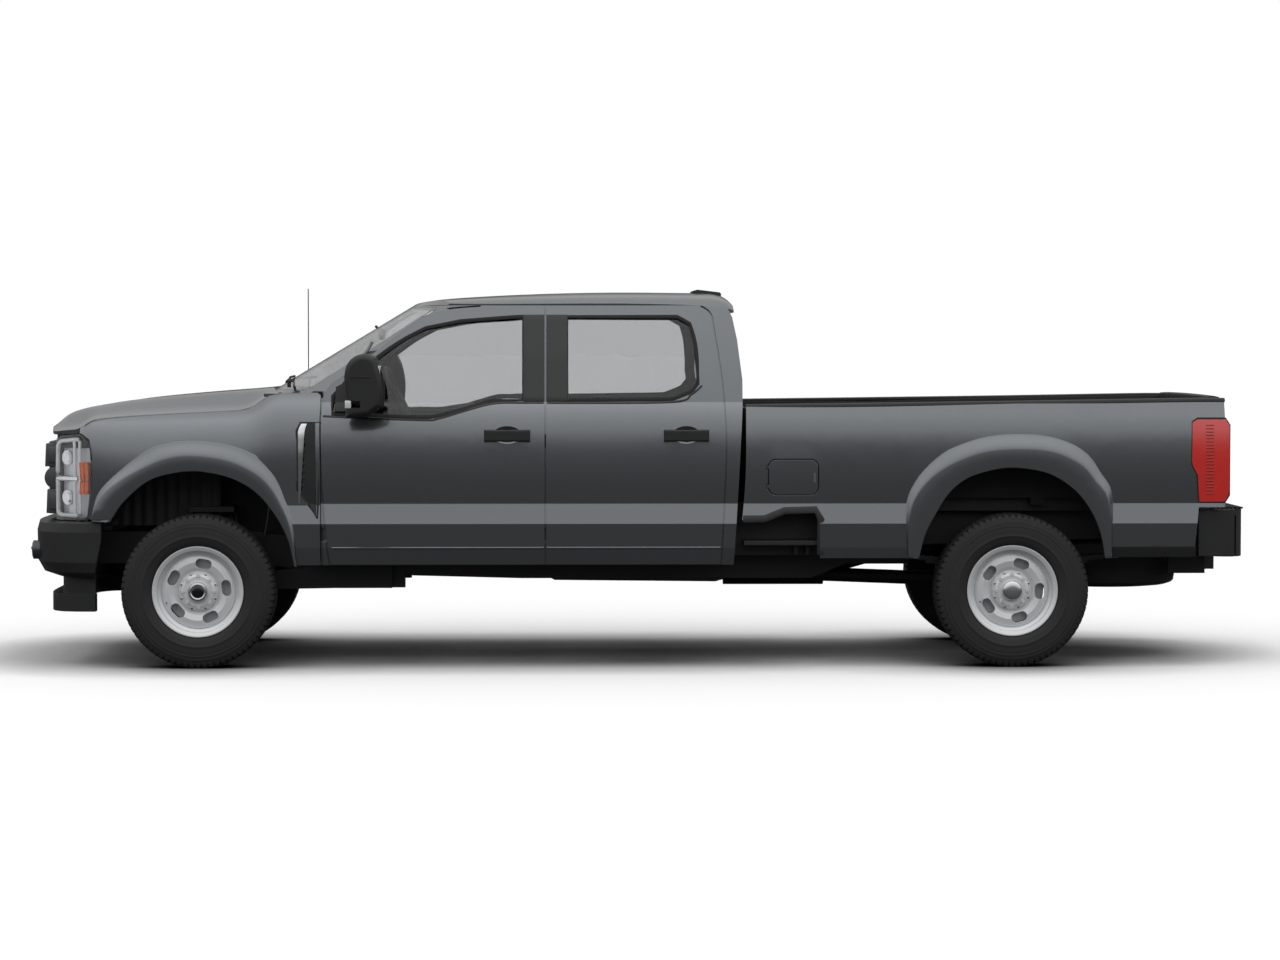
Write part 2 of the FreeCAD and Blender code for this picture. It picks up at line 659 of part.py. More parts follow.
def receiver():
    """Square hitch receiver with its pin bore, cross tube and drop plates."""
    z = up(RECEIVER_HEIGHT_SHARE)
    rear = along(RECEIVER_END_SHARE)
    half = RECEIVER_BORE / 2 + RECEIVER_WALL
    outer = block(rear - RECEIVER_LENGTH, rear, -half, half, z - half, z + half)
    bore = block(rear - RECEIVER_LENGTH - OVERRUN, rear + OVERRUN, -RECEIVER_BORE / 2, RECEIVER_BORE / 2,
                 z - RECEIVER_BORE / 2, z + RECEIVER_BORE / 2)
    tube_x = along(HITCH_TUBE_SHARE)
    side = HITCH_TUBE_SIZE / 2
    tube = block(tube_x - side, tube_x + side, -RAIL_OUTSIDE, RAIL_OUTSIDE, z - side, z + side)
    rail_low = up(RAIL_SHARES[-1][1]) - RAIL_DEPTH / 2
    plates = []
    for place, sign in SIDES:
        y1 = sign * RAIL_OUTSIDE
        y0 = y1 - sign * HITCH_PLATE * 2
        plates.append(block(tube_x + side, along(RAIL_SHARES[-1][0]) - RAIL_WIDTH, y0, y1, z - side,
                            rail_low + HITCH_PLATE))
    body = fused([outer, tube] + plates).cut(bore)
    pin_x = rear - HITCH_PIN_INSET
    pin = rod(HITCH_PIN_RADIUS, Point(pin_x, -half - OVERRUN, z), Point(pin_x, half + OVERRUN, z))
    return body.cut(pin)


def side_rail(sign):
    """One rail with its hook, coil tower, mounts, spring hangers and arm bracket."""
    tower = across(loop(side_points(TOWER_SHARES)), sign * (COIL_PLACE + TOWER_HALF),
                   sign * (RAIL_OUTSIDE - RAIL_WIDTH))
    room = block(FRONT_AXLE_X - TOWER_HALF * 3, FRONT_AXLE_X + TOWER_HALF * 3, sign * RAIL_OUTSIDE,
                 sign * (COIL_PLACE + TOWER_HALF * 2), 0, up(COIL_TOP_SHARE))
    pieces = [rail(sign), tow_hook(sign), tower.cut(room)]
    for share in BODY_MOUNT_SHARES:
        pieces.append(body_mount(share, sign, up(FLOOR_UNDERSIDE_SHARE)))
    for share in BED_MOUNT_SHARES:
        pieces.append(bed_mount(share, sign))
    pieces.append(spring_hanger(SPRING_FRONT_SHARE, sign))
    pieces.append(spring_hanger(SPRING_REAR_SHARE, sign))
    pieces.append(arm_bracket(sign))
    return fused(pieces)


def cross_tubes():
    """Tubes between the rails, with the spare wheel's hoist."""
    inside = RAIL_OUTSIDE - HITCH_PLATE
    pieces = []
    for x, z in CROSS_SHARES:
        pieces.append(rod(CROSS_RADIUS, Point(along(x), -inside, up(z)), Point(along(x), inside, up(z))))
    pieces.append(spare_hoist())
    return fused(pieces)


def frame():
    """Ladder frame: its rails, its cross tubes and its hitch receiver."""
    rails = Part.makeCompound([side_rail(sign) for side, sign in SIDES])
    save("frame_rails", rails)
    save("cross_tubes", cross_tubes().cut(rails))
    save("receiver", receiver().cut(rails))


def rail_height(share):
    """Height of the rail's centre line at a place along the truck."""
    for (x0, z0), (x1, z1) in zip(RAIL_SHARES, RAIL_SHARES[1:]):
        if x0 <= share <= x1:
            return up(z0 + (z1 - z0) * (share - x0) / (x1 - x0))
    return up(RAIL_SHARES[-1][1])


def body_mount(share, sign, top):
    """Outrigger with a round rubber pad that carries the cab."""
    x = along(share)
    y = sign * (RAIL_OUTSIDE + MOUNT_REACH)
    z = top - MOUNT_PLATE
    rail_z = rail_height(share)
    low = min(rail_z, z - MOUNT_PLATE)
    plate = block(x - MOUNT_RADIUS, x + MOUNT_RADIUS, sign * (RAIL_OUTSIDE - HITCH_PLATE), y, low,
                  low + MOUNT_PLATE)
    pad = rod(MOUNT_RADIUS, Point(x, y, low), Point(x, y, top - FIT))
    return plate.fuse(pad)


def bed_mount(share, sign):
    """Round pad on top of a rail that carries the bed."""
    x = along(share)
    y = sign * (RAIL_OUTSIDE - RAIL_WIDTH / 2)
    low = rail_height(share) + RAIL_DEPTH / 2 - HITCH_PLATE
    top = BED_FLOOR_HEIGHT - BED_FLOOR_THICKNESS - BED_SILL - FIT
    return rod(RAIL_WIDTH / 2, Point(x, y, low), Point(x, y, top))


BED_SILL = 40.0
HANGER_WIDE_SHARE = 1.3


def spring_hanger(share, sign):
    """Bracket outside a rail that holds a leaf spring's eye."""
    x = along(share)
    eye_z = up(SPRING_EYE_SHARE) + SPRING_LEAF
    inner = sign * (RAIL_OUTSIDE - HITCH_PLATE)
    outer = sign * (SPRING_PLACE + SPRING_WIDTH / 2 + HITCH_PLATE + FIT)
    top = rail_height(share) + RAIL_DEPTH / 4
    wide = SPRING_EYE_RADIUS * HANGER_WIDE_SHARE
    whole = block(x - wide, x + wide, inner, outer, eye_z - wide, top)
    slot_y0 = sign * (SPRING_PLACE - SPRING_WIDTH / 2 - FIT)
    slot_y1 = sign * (SPRING_PLACE + SPRING_WIDTH / 2 + FIT)
    slot = block(x - wide * 2, x + wide * 2, slot_y0, slot_y1, eye_z - wide * 2,
                 eye_z + SPRING_EYE_RADIUS + FIT)
    return whole.cut(slot)


def arm_bracket(sign):
    """Bracket below a rail that holds a radius arm's rear end."""
    x1 = along(RADIUS_ARM_SHARES[3][0])
    z1 = up(RADIUS_ARM_SHARES[3][1])
    z0 = up(RADIUS_ARM_SHARES[4][1])
    inner = sign * (RAIL_OUTSIDE - RAIL_WIDTH)
    outer = sign * (RADIUS_ARM_OUTSIDE - RADIUS_ARM_WIDTH - FIT)
    return block(x1 - RAIL_DEPTH / 2, x1 + RAIL_WIDTH, inner, outer, z0, z1 + RAIL_DEPTH / 3)


# Running gear between the rails
ENGINE_SHARES = ((-0.060, 0.310), (0.112, 0.575))
ENGINE_HALF = 300.0
GEARBOX_RADIUS = 140.0
GEARBOX_SHARES = ((0.1121, 0.312), (0.300, 0.290))
TRANSFER_HALF = 190.0
SHAFT_RADIUS = 40.0
RADIATOR_SHARES = ((-0.143, 0.345), (-0.123, 0.620))
RADIATOR_HALF = 330.0


def engine_block():
    """Plain engine mass at its real place."""
    (x0, z0), (x1, z1) = ENGINE_SHARES
    return block(along(x0), along(x1) - FIT, -ENGINE_HALF, ENGINE_HALF, up(z0), up(z1))


FAN_SHARE = 0.8


def radiator():
    """Core with side tanks, a fan shroud and lower feet on the cross tube."""
    (x0, z0), (x1, z1) = RADIATOR_SHARES
    core = block(along(x0), along(x1), -RADIATOR_HALF, RADIATOR_HALF, up(z0), up(z1))
    fan_x = along(x1)
    shroud = Part.makeCylinder(RADIATOR_HALF * FAN_SHARE, CROSS_RADIUS, Point(fan_x, 0, up((z0 + z1) / 2)),
                               Point(1, 0, 0))
    return core.fuse(shroud)


GEARBOX_TAPER_SHARE = 0.7
CASE_LEFT_SHARE = 1.1
CASE_RIGHT_SHARE = 0.6
CASE_TOP_SHARE = 1.6
SHAFT_GAP_SHARE = 0.6
SHAFT_LIFT_SHARE = 1.3
FRONT_SHAFT_SHARE = 0.7


def driveline():
    """Gearbox, transfer case and both propeller shafts."""
    (x0, z0), (x1, z1) = GEARBOX_SHARES
    start = Point(along(x0), 0, up(z0))
    end = Point(along(x1), 0, up(z1))
    way = end - start
    box = Part.makeCone(GEARBOX_RADIUS, GEARBOX_RADIUS * GEARBOX_TAPER_SHARE, way.Length, start, way)
    case_x = end.x
    low = end.z - SHAFT_RADIUS * 3
    case = block(case_x - SHAFT_RADIUS, case_x + SHAFT_RADIUS * 3, -TRANSFER_HALF * CASE_LEFT_SHARE,
                 TRANSFER_HALF * CASE_RIGHT_SHARE, low, end.z + SHAFT_RADIUS * CASE_TOP_SHARE)
    nose_x = REAR_AXLE_X - REAR_DIFF_RADIUS * DIFF_NOSE_SHARE - SKIN * SHAFT_GAP_SHARE
    shaft_z = low + SHAFT_RADIUS * SHAFT_LIFT_SHARE
    rear_shaft = rod(SHAFT_RADIUS, Point(case_x, 0, shaft_z), Point(nose_x, 0, TYRE_RADIUS))
    front_nose = FRONT_AXLE_X + FRONT_DIFF_RADIUS * DIFF_NOSE_SHARE + SKIN * 3
    front_shaft = rod(SHAFT_RADIUS * FRONT_SHAFT_SHARE, Point(front_nose, -FRONT_DIFF_OFFSET, TYRE_RADIUS),
                      Point(case_x, -FRONT_DIFF_OFFSET, shaft_z))
    return fused([box, case, rear_shaft, front_shaft])


TANK_SHARES = ((0.424, 0.2265), (0.436, 0.2130), (0.640, 0.2085), (0.668, 0.2265))
TANK_PLACE_SHARES = (0.235, 0.975)


def fuel_tank():
    """Long tank between the driver's rail and the propeller shaft."""
    y0 = -(RAIL_OUTSIDE - RAIL_WIDTH) * TANK_PLACE_SHARES[1]
    y1 = -(RAIL_OUTSIDE - RAIL_WIDTH) * TANK_PLACE_SHARES[0]
    points = side_points(TANK_SHARES)
    top = up(CROSS_SHARES[2][1]) - CROSS_RADIUS - FIT
    points.append(Point(points[-1].x, 0, top))
    points.append(Point(points[0].x, 0, top))
    return across(loop(points), y0, y1)


PIPE_RADIUS = 38.0
PIPE_BEND = 90.0
HANGER_RADIUS = 5.0
HANGER_SHARES = (0.400, 0.610, 0.740)
EXHAUST_SHARES = ((0.100, 0.96, 0.300), (0.135, 0.62, 0.230), (0.795, 0.62, 0.230), (0.905, 0.62, 0.297),
                  (0.995, 0.62, 0.297), (1.048, 1.80, 0.297), (1.110, 1.80, 0.290), (1.185, 2.20, 0.262))
MUFFLER_RADIUS = 100.0
MUFFLER_SHARES = (0.655, 0.785)


def exhaust():
    """Pipe from the engine to behind the right rear wheel, with its muffler."""
    inside = RAIL_OUTSIDE - RAIL_WIDTH
    points = [Point(along(x), inside * y, up(z)) for x, y, z in EXHAUST_SHARES]
    pipe = bent_tube(points, PIPE_RADIUS, PIPE_BEND)
    y = inside * EXHAUST_SHARES[1][1]
    z = up(EXHAUST_SHARES[1][2])
    muffler = rod(MUFFLER_RADIUS, Point(along(MUFFLER_SHARES[0]), y, z),
                  Point(along(MUFFLER_SHARES[1]), y, z))
    hangers = []
    for share in HANGER_SHARES:
        low = rail_height(share) - RAIL_DEPTH / 2 + HITCH_PLATE / 2
        start = Point(along(share), y, low)
        hangers.append(rod(HANGER_RADIUS, start, Point(start.x, inside - FIT, low)))
    return fused([pipe, muffler] + hangers)


SPARE_SHARE = 1.1415
SPARE_LOW = 395.0
HOIST_RADIUS = 12.0
HOIST_HALF = 70.0


def spare_hoist():
    """Plate between two cross tubes with the rod that holds up the spare wheel."""
    x = along(SPARE_SHARE)
    top = up(CROSS_SHARES[-1][1])
    x0, x1 = along(CROSS_SHARES[-2][0]), along(CROSS_SHARES[-1][0])
    plate = block(x0, x1, -HOIST_HALF, HOIST_HALF, top - HITCH_PLATE, top)
    seat = SPARE_LOW + TYRE_WIDTH / 2 + DISC_SHARES[5][0] * RIM_WIDTH / 2 + FIT
    return plate.fuse(rod(HOIST_RADIUS, Point(x, 0, seat), Point(x, 0, top)))


def spare_wheel():
    """Spare wheel that hangs flat below the bed floor."""
    rest = Point(0, 0, 0)
    shapes = [tyre(rest, 1), turned(scaled(RIM_BARREL_SHARES, RIM_WIDTH / 2, RIM_RADIUS), rest, 1),
              turned(scaled(DISC_SHARES, RIM_WIDTH / 2, RIM_RADIUS), rest, 1)]
    wheel = fused(shapes)
    wheel.rotate(rest, Point(1, 0, 0), 90)
    return wheel.translated(Point(along(SPARE_SHARE), 0, SPARE_LOW + TYRE_WIDTH / 2))


def chassis():
    """Everything that carries the body."""
    wheels()
    for side, sign in SIDES:
        save("knuckle_" + side, knuckle(sign))
    save("tie_rod", tie_rod())
    save("front_axle", front_axle())
    save("coil_springs", coil_springs())
    save("rear_axle", rear_axle())
    save("leaf_springs", leaf_springs())
    save("shock_absorbers", shock_absorbers())
    frame()
    save("engine_block", engine_block())
    save("radiator", radiator())
    save("driveline", driveline())
    save("fuel_tank", fuel_tank())
    save("exhaust", exhaust())
    save("spare_wheel", spare_wheel())


# Body side section: height shares and width shares, bottom to top
ROCKER_SHARES = ((0.2734, 0.9626), (0.3092, 0.9803))
BAND_LOW_SHARES = ((0.3198, 0.9852), (0.3831, 0.9902))
BAND_HIGH_SHARE = (0.4362, 0.9734)
PANEL_SHARES = ((0.5072, 0.9774), (0.5700, 0.9754), (0.6232, 0.9685), (0.6618, 0.9547), (0.6884, 0.9350),
                (0.7043, 0.9154))
GREENHOUSE_SHARES = ((0.8300, 0.8600), (0.9610, 0.7860))
BED_SHOULDER_SHARES = ((0.5072, 0.9774), (0.5700, 0.9754), (0.6232, 0.9685), (0.6618, 0.9547),
                       (0.6884, 0.9380),
                       (0.7120, 0.9240))


def section_point(pair, depth):
    """Point of the -Y side section, moved inboard by a depth."""
    return Point(0, -(out(pair[1]) - depth), up(pair[0]))


def section_runs(depth, upper):
    """Runs of the side section from the rocker up, at one depth."""
    lower = [[section_point(p, depth)] for p in ROCKER_SHARES + BAND_LOW_SHARES]
    lower.append([section_point(BAND_HIGH_SHARE, depth)])
    shoulder = [section_point(p, depth) for p in upper[0]]
    runs = lower + [shoulder]
    for more in upper[1:]:
        runs.append([section_point(p, depth) for p in more])
    return runs


CAB_UPPER = (PANEL_SHARES, GREENHOUSE_SHARES)
BED_UPPER = (BED_SHOULDER_SHARES,)


def reversed_runs(runs):
    """The same runs walked the other way round."""
    points = [p for run in runs for p in run]
    ends = [run[-1] for run in runs]
    backward = []
    current = []
    for p in reversed(points[:-1]):
        current.append(p)
        if p in ends:
            backward.append(current)
            current = []
    if current:
        backward.append(current)
    return [[points[-1]]] + backward


def band(x0, x1, outer_depth, inner_depth, upper):
    """Body side slab between two depths, along a stretch of the truck."""
    outer = section_runs(outer_depth, upper)
    inner = section_runs(inner_depth, upper)
    wire = mixed_wire(outer + reversed_runs(inner))
    face = Part.Face(wire).translated(Point(x0, 0, 0))
    return face.extrude(Point(x1 - x0, 0, 0))


def core(x0, x1, depth, upper, top_run):
    """Full-width slab inside the body sides at one depth, closed by a roof run."""
    left = section_runs(depth, upper)
    points = [p for run in left for p in run]
    flip = [[Point(p.x, -p.y, p.z) for p in run] for run in reversed_runs(left)]
    first = flip[0]
    runs = left + [[q for q in top_run] + first] + flip[1:]
    wire = mixed_wire(runs)
    face = Part.Face(wire).translated(Point(x0, 0, 0))
    solid = face.extrude(Point(x1 - x0, 0, 0))
    return solid


# Side-view outlines: length shares and height shares
FRONT_DOOR_SHARES = (
    ((0.1597, 0.3150), (0.1562, 0.3942), (0.1528, 0.5000), (0.1510, 0.6053), (0.1521, 0.6957)),
    ((0.1560, 0.7330),), ((0.1640, 0.7560),),
    ((0.1859, 0.7870), (0.2228, 0.8478), (0.2465, 0.8880), (0.2597, 0.9097)),
    ((0.2834, 0.9390), (0.3206, 0.9535), (0.3698, 0.9588), (0.4246, 0.9600)),
    ((0.4246, 0.2750),), ((0.1626, 0.2750),),
)
REAR_DOOR_SHARES = (
    ((0.4264, 0.2750),), ((0.4264, 0.9600),), ((0.6000, 0.9600),),
    ((0.6180, 0.9560), (0.6260, 0.9450), (0.6309, 0.9179)),
    ((0.6353, 0.8599), (0.6418, 0.7633), (0.6443, 0.7005), (0.6463, 0.6048), (0.6443, 0.4459),
     (0.6403, 0.2750)),
)
FRONT_WINDOW_SHARES = (
    ((0.1651, 0.7198),),
    ((0.1801, 0.7580), (0.2110, 0.8092), (0.2477, 0.8671), (0.2783, 0.9024)),
    ((0.3213, 0.9203), (0.3823, 0.9300), (0.3993, 0.9314)),
    ((0.3993, 0.7101),),
    ((0.3577, 0.7072), (0.2975, 0.6705), (0.2718, 0.6647)),
    ((0.1642, 0.6739),),
)
REAR_WINDOW_SHARES = (
    ((0.4519, 0.9314),), ((0.5884, 0.9314),),
    ((0.6040, 0.9130), (0.6103, 0.8599), (0.6134, 0.7536)),
    ((0.6051, 0.7319), (0.5817, 0.7121)),
    ((0.4519, 0.7092),),
)
BELT_SHARE = 0.6950
BOX_REAR_MARGIN = 120.0
BOX_FIT = 12.0


def outline(shares):
    """Closed side-view wire from a table of runs."""
    return mixed_wire([side_points(run) for run in shares])


def moved_out(points, amount):
    """Corners of a side-view loop moved square to its edges by an amount."""
    turning = 0
    for a, b in zip(points, points[1:] + points[:1]):
        turning += a.x * b.z - b.x * a.z
    way = 1 if turning > 0 else -1
    result = []
    for index, here in enumerate(points):
        before = (here - points[index - 1]).normalize()
        after = (points[(index + 1) % len(points)] - here).normalize()
        normal_before = Point(before.z, 0, -before.x)
        normal_after = Point(after.z, 0, -after.x)
        middle = normal_before + normal_after
        result.append(here + middle * (way * amount * 2 / middle.dot(middle)))
    return result


def grown(shares, amount):
    """Outline moved outwards, or inwards when the amount is negative."""
    points = [p for run in shares for p in side_points(run)]
    moved = moved_out(points, amount)
    runs = []
    for run in shares:
        runs.append(moved[:len(run)])
        moved = moved[len(run):]
    return mixed_wire(runs)


def side_slab(wire):
    """Whole -Y side of the space inside an outline."""
    return across(wire, -HALF_WIDTH - OVERRUN, -HALF_WIDTH / 2)


def door_box(shares, rear_limit, low_rear_limit, extra):
    """Thick inner part of a door: deep below the belt and slim around the window."""
    wire = grown(shares, -FLANGE_WIDTH + extra)
    slab = side_slab(wire)
    belt = up(BELT_SHARE)
    far = HALF_WIDTH + OVERRUN
    start = slab.BoundBox.XMin
    lower = slab.common(block(start, low_rear_limit + extra, -far, 0, 0, belt + extra))
    lower = lower.common(band(start, rear_limit, SKIN - extra, DOOR_DEPTH + extra, CAB_UPPER))
    upper = slab.common(block(start, rear_limit, -far, 0, belt - FLANGE_WIDTH, HEIGHT))
    upper = upper.common(band(start, rear_limit, SKIN - extra, DOOR_FRAME_DEPTH + extra, CAB_UPPER))
    return lower.fuse(upper)


def door_places():
    """For each door: name, outline, window outline, leading edge and rear limit of its box."""
    front_edge = along(FRONT_DOOR_SHARES[0][3][0])
    rear_edge = along(REAR_DOOR_SHARES[0][0][0])
    front_limit = rear_edge - BOX_REAR_MARGIN
    rear_limit = along(REAR_DOOR_SHARES[4][3][0])
    return (("front", FRONT_DOOR_SHARES, FRONT_WINDOW_SHARES, front_edge, front_limit),
            ("rear", REAR_DOOR_SHARES, REAR_WINDOW_SHARES, rear_edge, rear_limit))


def hinge_axis(leading_edge, height_share):
    """Middle of a door hinge on the -Y side."""
    y = door_skin_y(HINGE_HEIGHTS_SHARES[1]) + HINGE_INBOARD
    return Point(leading_edge - HINGE_AHEAD, y, up(height_share))


def hinge_arm(leading_edge, height_share):
    """Eye round the pin with the cranked arm that reaches into the door box."""
    place = hinge_axis(leading_edge, height_share)
    half = HINGE_HEIGHT / 2
    low = place - Point(0, 0, half)
    high = place + Point(0, 0, half)
    eye = rod(HINGE_EYE_RADIUS, low, high)
    deep = place.y + HINGE_ARM_DEPTH
    thick = HINGE_ARM_THICKNESS
    out_run = block(place.x - thick / 2, place.x + thick / 2, place.y, deep, low.z, high.z)
    reach = place.x + HINGE_AHEAD + FLANGE_WIDTH * 4
    along_run = block(place.x - thick / 2, reach, deep - thick / 2, deep + thick / 2, low.z, high.z)
    bore = rod(HINGE_PIN_RADIUS + FIT, low - Point(0, 0, thick), high + Point(0, 0, thick))
    return fused([eye, out_run, along_run]).cut(bore)


def hinge_lugs(leading_edge, height_share):
    """Pillar side of a door hinge: two lugs and the pin between them."""
    place = hinge_axis(leading_edge, height_share)
    half = HINGE_HEIGHT / 2 + FIT
    thick = HINGE_ARM_THICKNESS
    deep = place.y + PILLAR_DEPTH
    pieces = [rod(HINGE_PIN_RADIUS, place - Point(0, 0, half + thick), place + Point(0, 0, half + thick))]
    for way in (-1, 1):
        z0 = place.z + way * half
        z1 = z0 + way * thick
        pieces.append(rod(HINGE_EYE_RADIUS, Point(place.x, place.y, z0), Point(place.x, place.y, z1)))
        pieces.append(block(place.x - HINGE_EYE_RADIUS, place.x + HINGE_EYE_RADIUS, place.y, deep, z0, z1))
    return fused(pieces)


PILLAR_DEPTH = 68.0
HINGE_SWING_GAP = 5.0
HINGE_ROOM_AHEAD = 26.0
HINGE_ROOM_BEHIND = 136.0


def hinge_room(leading_edge, height_share):
    """Space in a pillar round one hinge."""
    place = hinge_axis(leading_edge, height_share)
    tall = HINGE_HEIGHT / 2 + HINGE_ARM_THICKNESS * 2
    return block(place.x - HINGE_ROOM_AHEAD, place.x + HINGE_ROOM_BEHIND, -HALF_WIDTH - OVERRUN,
                 place.y + HINGE_ARM_DEPTH + HINGE_ARM_THICKNESS / 2 + HINGE_SWING_GAP,
                 place.z - tall, place.z + tall)


HANDLE_SHARES = {"front": (0.3508, 0.4069), "rear": (0.5709, 0.6260)}
HANDLE_HEIGHT_SHARES = (0.6010, 0.6320)
HANDLE_STAND = 42.0
HANDLE_BAR = 18.0
HANDLE_CUP_DEPTH = 26.0
HANDLE_FOOT = 46.0
HANDLE_CUP_SHARE = 0.8


def handle_cup(end):
    """Recess in the door skin behind a handle."""
    x0, x1 = [along(share) for share in HANDLE_SHARES[end]]
    z0, z1 = [up(share) for share in HANDLE_HEIGHT_SHARES]
    y = -out(PANEL_SHARES[2][1])
    middle = Point((x0 + x1) / 2, y, (z0 + z1) / 2)
    ball = Part.makeSphere(1)
    stretch = FreeCAD.Matrix()
    stretch.scale(Point((x1 - x0) / 2 - HANDLE_FOOT, HANDLE_CUP_DEPTH, (z1 - z0) * HANDLE_CUP_SHARE))
    return ball.transformGeometry(stretch).translated(middle)


def door_skin_y(height_share):
    """Outer face of the -Y body side at a height between the lines of its section."""
    pairs = (BAND_HIGH_SHARE,) + PANEL_SHARES
    for (z0, y0), (z1, y1) in zip(pairs, pairs[1:]):
        if z0 <= height_share <= z1:
            return -out(y0 + (y1 - y0) * (height_share - z0) / (z1 - z0))
    return -out(PANEL_SHARES[0][1])


HANDLE_ROUND_SHARE = 0.45


def door_handle(end):
    """Strap handle that stands on two feet."""
    x0, x1 = [along(share) for share in HANDLE_SHARES[end]]
    z0, z1 = [up(share) for share in HANDLE_HEIGHT_SHARES]
    face_high = door_skin_y(HANDLE_HEIGHT_SHARES[1])
    face_low = door_skin_y(HANDLE_HEIGHT_SHARES[0])
    far = min(face_low, face_high) - HANDLE_STAND + HANDLE_BAR
    bar = block(x0, x1, far - HANDLE_BAR, far, z0, z1)
    edges = [edge for edge in bar.Edges if abs(edge.CenterOfMass.y - (far - HANDLE_BAR)) < FIT]
    bar = bar.makeFillet(HANDLE_BAR * HANDLE_ROUND_SHARE, edges)
    feet = []
    for start, end_x in ((x0, x0 + HANDLE_FOOT), (x1 - HANDLE_FOOT, x1)):
        feet.append(block(start, end_x, far, face_high + HANDLE_BAR, z0, z1))
    whole = fused([bar] + feet)
    skin = band(x0 - OVERRUN, x1 + OVERRUN, -FIT, DOOR_DEPTH, CAB_UPPER)
    return whole.cut(skin)


MIRROR_SHARES = (
    ((0.1846, 0.6650),),
    ((0.1850, 0.7512), (0.1919, 0.8170), (0.2016, 0.8300), (0.2210, 0.8217)),
    ((0.2282, 0.7773), (0.2293, 0.6960)),
    ((0.2134, 0.6720),),
)
MIRROR_INSIDE = 1052.0
MIRROR_OUTSIDE = 1338.0
MIRROR_ARM_RADIUS = 17.0
MIRROR_ARM_SHARES = (0.715, 0.755)
MIRROR_GLASS_DEPTH = 6.0
MIRROR_RIM = 16.0
SAIL_SHARES = ((0.1675, 0.6800), (0.1690, 0.7450), (0.1860, 0.7640), (0.2080, 0.7560), (0.2080, 0.6800))
MIRROR_ROUND_SHARE = 1.8


def mirror():
    """Tall tow mirror with its two arms and the base plate on the door."""
    wire = outline(MIRROR_SHARES)
    head = across(wire, -MIRROR_OUTSIDE, -MIRROR_INSIDE)
    big = [edge for edge in head.Edges if abs(edge.CenterOfMass.y + MIRROR_OUTSIDE) < FIT]
    head = head.makeFillet(MIRROR_RIM * MIRROR_ROUND_SHARE, big)
    x1 = along(MIRROR_SHARES[2][1][0])
    box = head.BoundBox
    glass = block(x1 - MIRROR_GLASS_DEPTH * 3, x1 + OVERRUN, -MIRROR_OUTSIDE + MIRROR_RIM * 2,
                  -MIRROR_INSIDE - MIRROR_RIM, box.ZMin + MIRROR_RIM * 3, box.ZMax - MIRROR_RIM * 4)
    head = head.cut(glass)
    arms = []
    base_x = along(SAIL_SHARES[3][0]) - MIRROR_RIM * 3
    for share in MIRROR_ARM_SHARES:
        z = up(share)
        start = Point(base_x, door_skin_y(BELT_SHARE) + SHEET, z)
        end = Point(base_x, -MIRROR_INSIDE - MIRROR_RIM, z)
        arms.append(rod(MIRROR_ARM_RADIUS, start, end))
    sail = across(loop(side_points(SAIL_SHARES)), -HALF_WIDTH, -HALF_WIDTH / 2)
    plate = sail.common(band(sail.BoundBox.XMin, sail.BoundBox.XMax, -SHEET - FIT, -FIT, CAB_UPPER))
    whole = fused([head, plate] + arms)
    keep_out = band(sail.BoundBox.XMin - OVERRUN, sail.BoundBox.XMax + OVERRUN, -FIT, DOOR_DEPTH * 2,
                    CAB_UPPER)
    return whole.cut(keep_out)


def door(end, shares, window, edge, limit):
    """One door on the -Y side, with its window opening, handle cup and hinge arms."""
    wire = outline(shares)
    slab = side_slab(wire)
    box = slab.BoundBox
    skin = slab.common(band(box.XMin, box.XMax, 0, SKIN, CAB_UPPER))
    rear_limit = box.XMax
    inner = door_box(shares, rear_limit, limit, 0)
    body = skin.fuse(inner)
    body = body.cut(side_slab(outline(window)))
    arms = []
    for share in HINGE_HEIGHTS_SHARES:
        arms.append(hinge_arm(edge, share))
    body = fused([body] + arms)
    return body.cut(handle_cup(end))


def door_glass(window):
    """Side window glass on the -Y side."""
    wire = grown(window, -FIT)
    slab = side_slab(wire)
    box = slab.BoundBox
    return slab.common(band(box.XMin, box.XMax, GLASS_DEPTH, GLASS_DEPTH + GLASS, CAB_UPPER))


def doors():
    """Four doors with their glass and their outside fittings."""
    for end, shares, window, edge, limit in door_places():
        left = door(end, shares, window, edge, limit)
        glass = door_glass(window)
        fittings = [door_handle(end)]
        if end == "front":
            fittings.append(mirror())
        hardware = Part.makeCompound(fittings)
        for side, sign in SIDES:
            shapes = (("door_" + end + "_" + side, left), ("glass_" + end + "_" + side, glass),
                      ("handle_" + end + "_" + side, hardware))
            for name, shape in shapes:
                save(name, shape if sign < 0 else mirrored(shape))


# Cab shell
CAB_SIDE_SHARES = (
    ((0.0716, 0.6900),), ((0.0716, 0.9600),), ((0.2568, 0.9600),),
    ((0.3100, 0.9612),), ((0.6200, 0.9612),), ((0.6500, 0.9560),), ((0.6559, 0.9300),),
    ((0.6617, 0.8696),), ((0.6678, 0.7633),), ((0.6678, 0.6990),), ((0.6626, 0.4831),), ((0.6566, 0.2734),),
    ((0.6400, 0.2734),), ((0.1490, 0.2734),), ((0.1490, 0.3400),), ((0.1250, 0.3700),), ((0.1250, 0.6900),),
)
CAB_ROOM_SHARES = (
    (0.1480, 0.3900), (0.1480, 0.6950), (0.1760, 0.7250), (0.2750, 0.9380), (0.3200, 0.9800),
    (0.5600, 0.9800), (0.6340, 0.9350), (0.6400, 0.8800), (0.6440, 0.7600), (0.6440, 0.6900),
    (0.6390, 0.4200), (0.6330, 0.3600), (0.1700, 0.3600),
)
FLOOR_UNDERSIDE_SHARE = 0.3400
SILL_SHARE = 0.3650
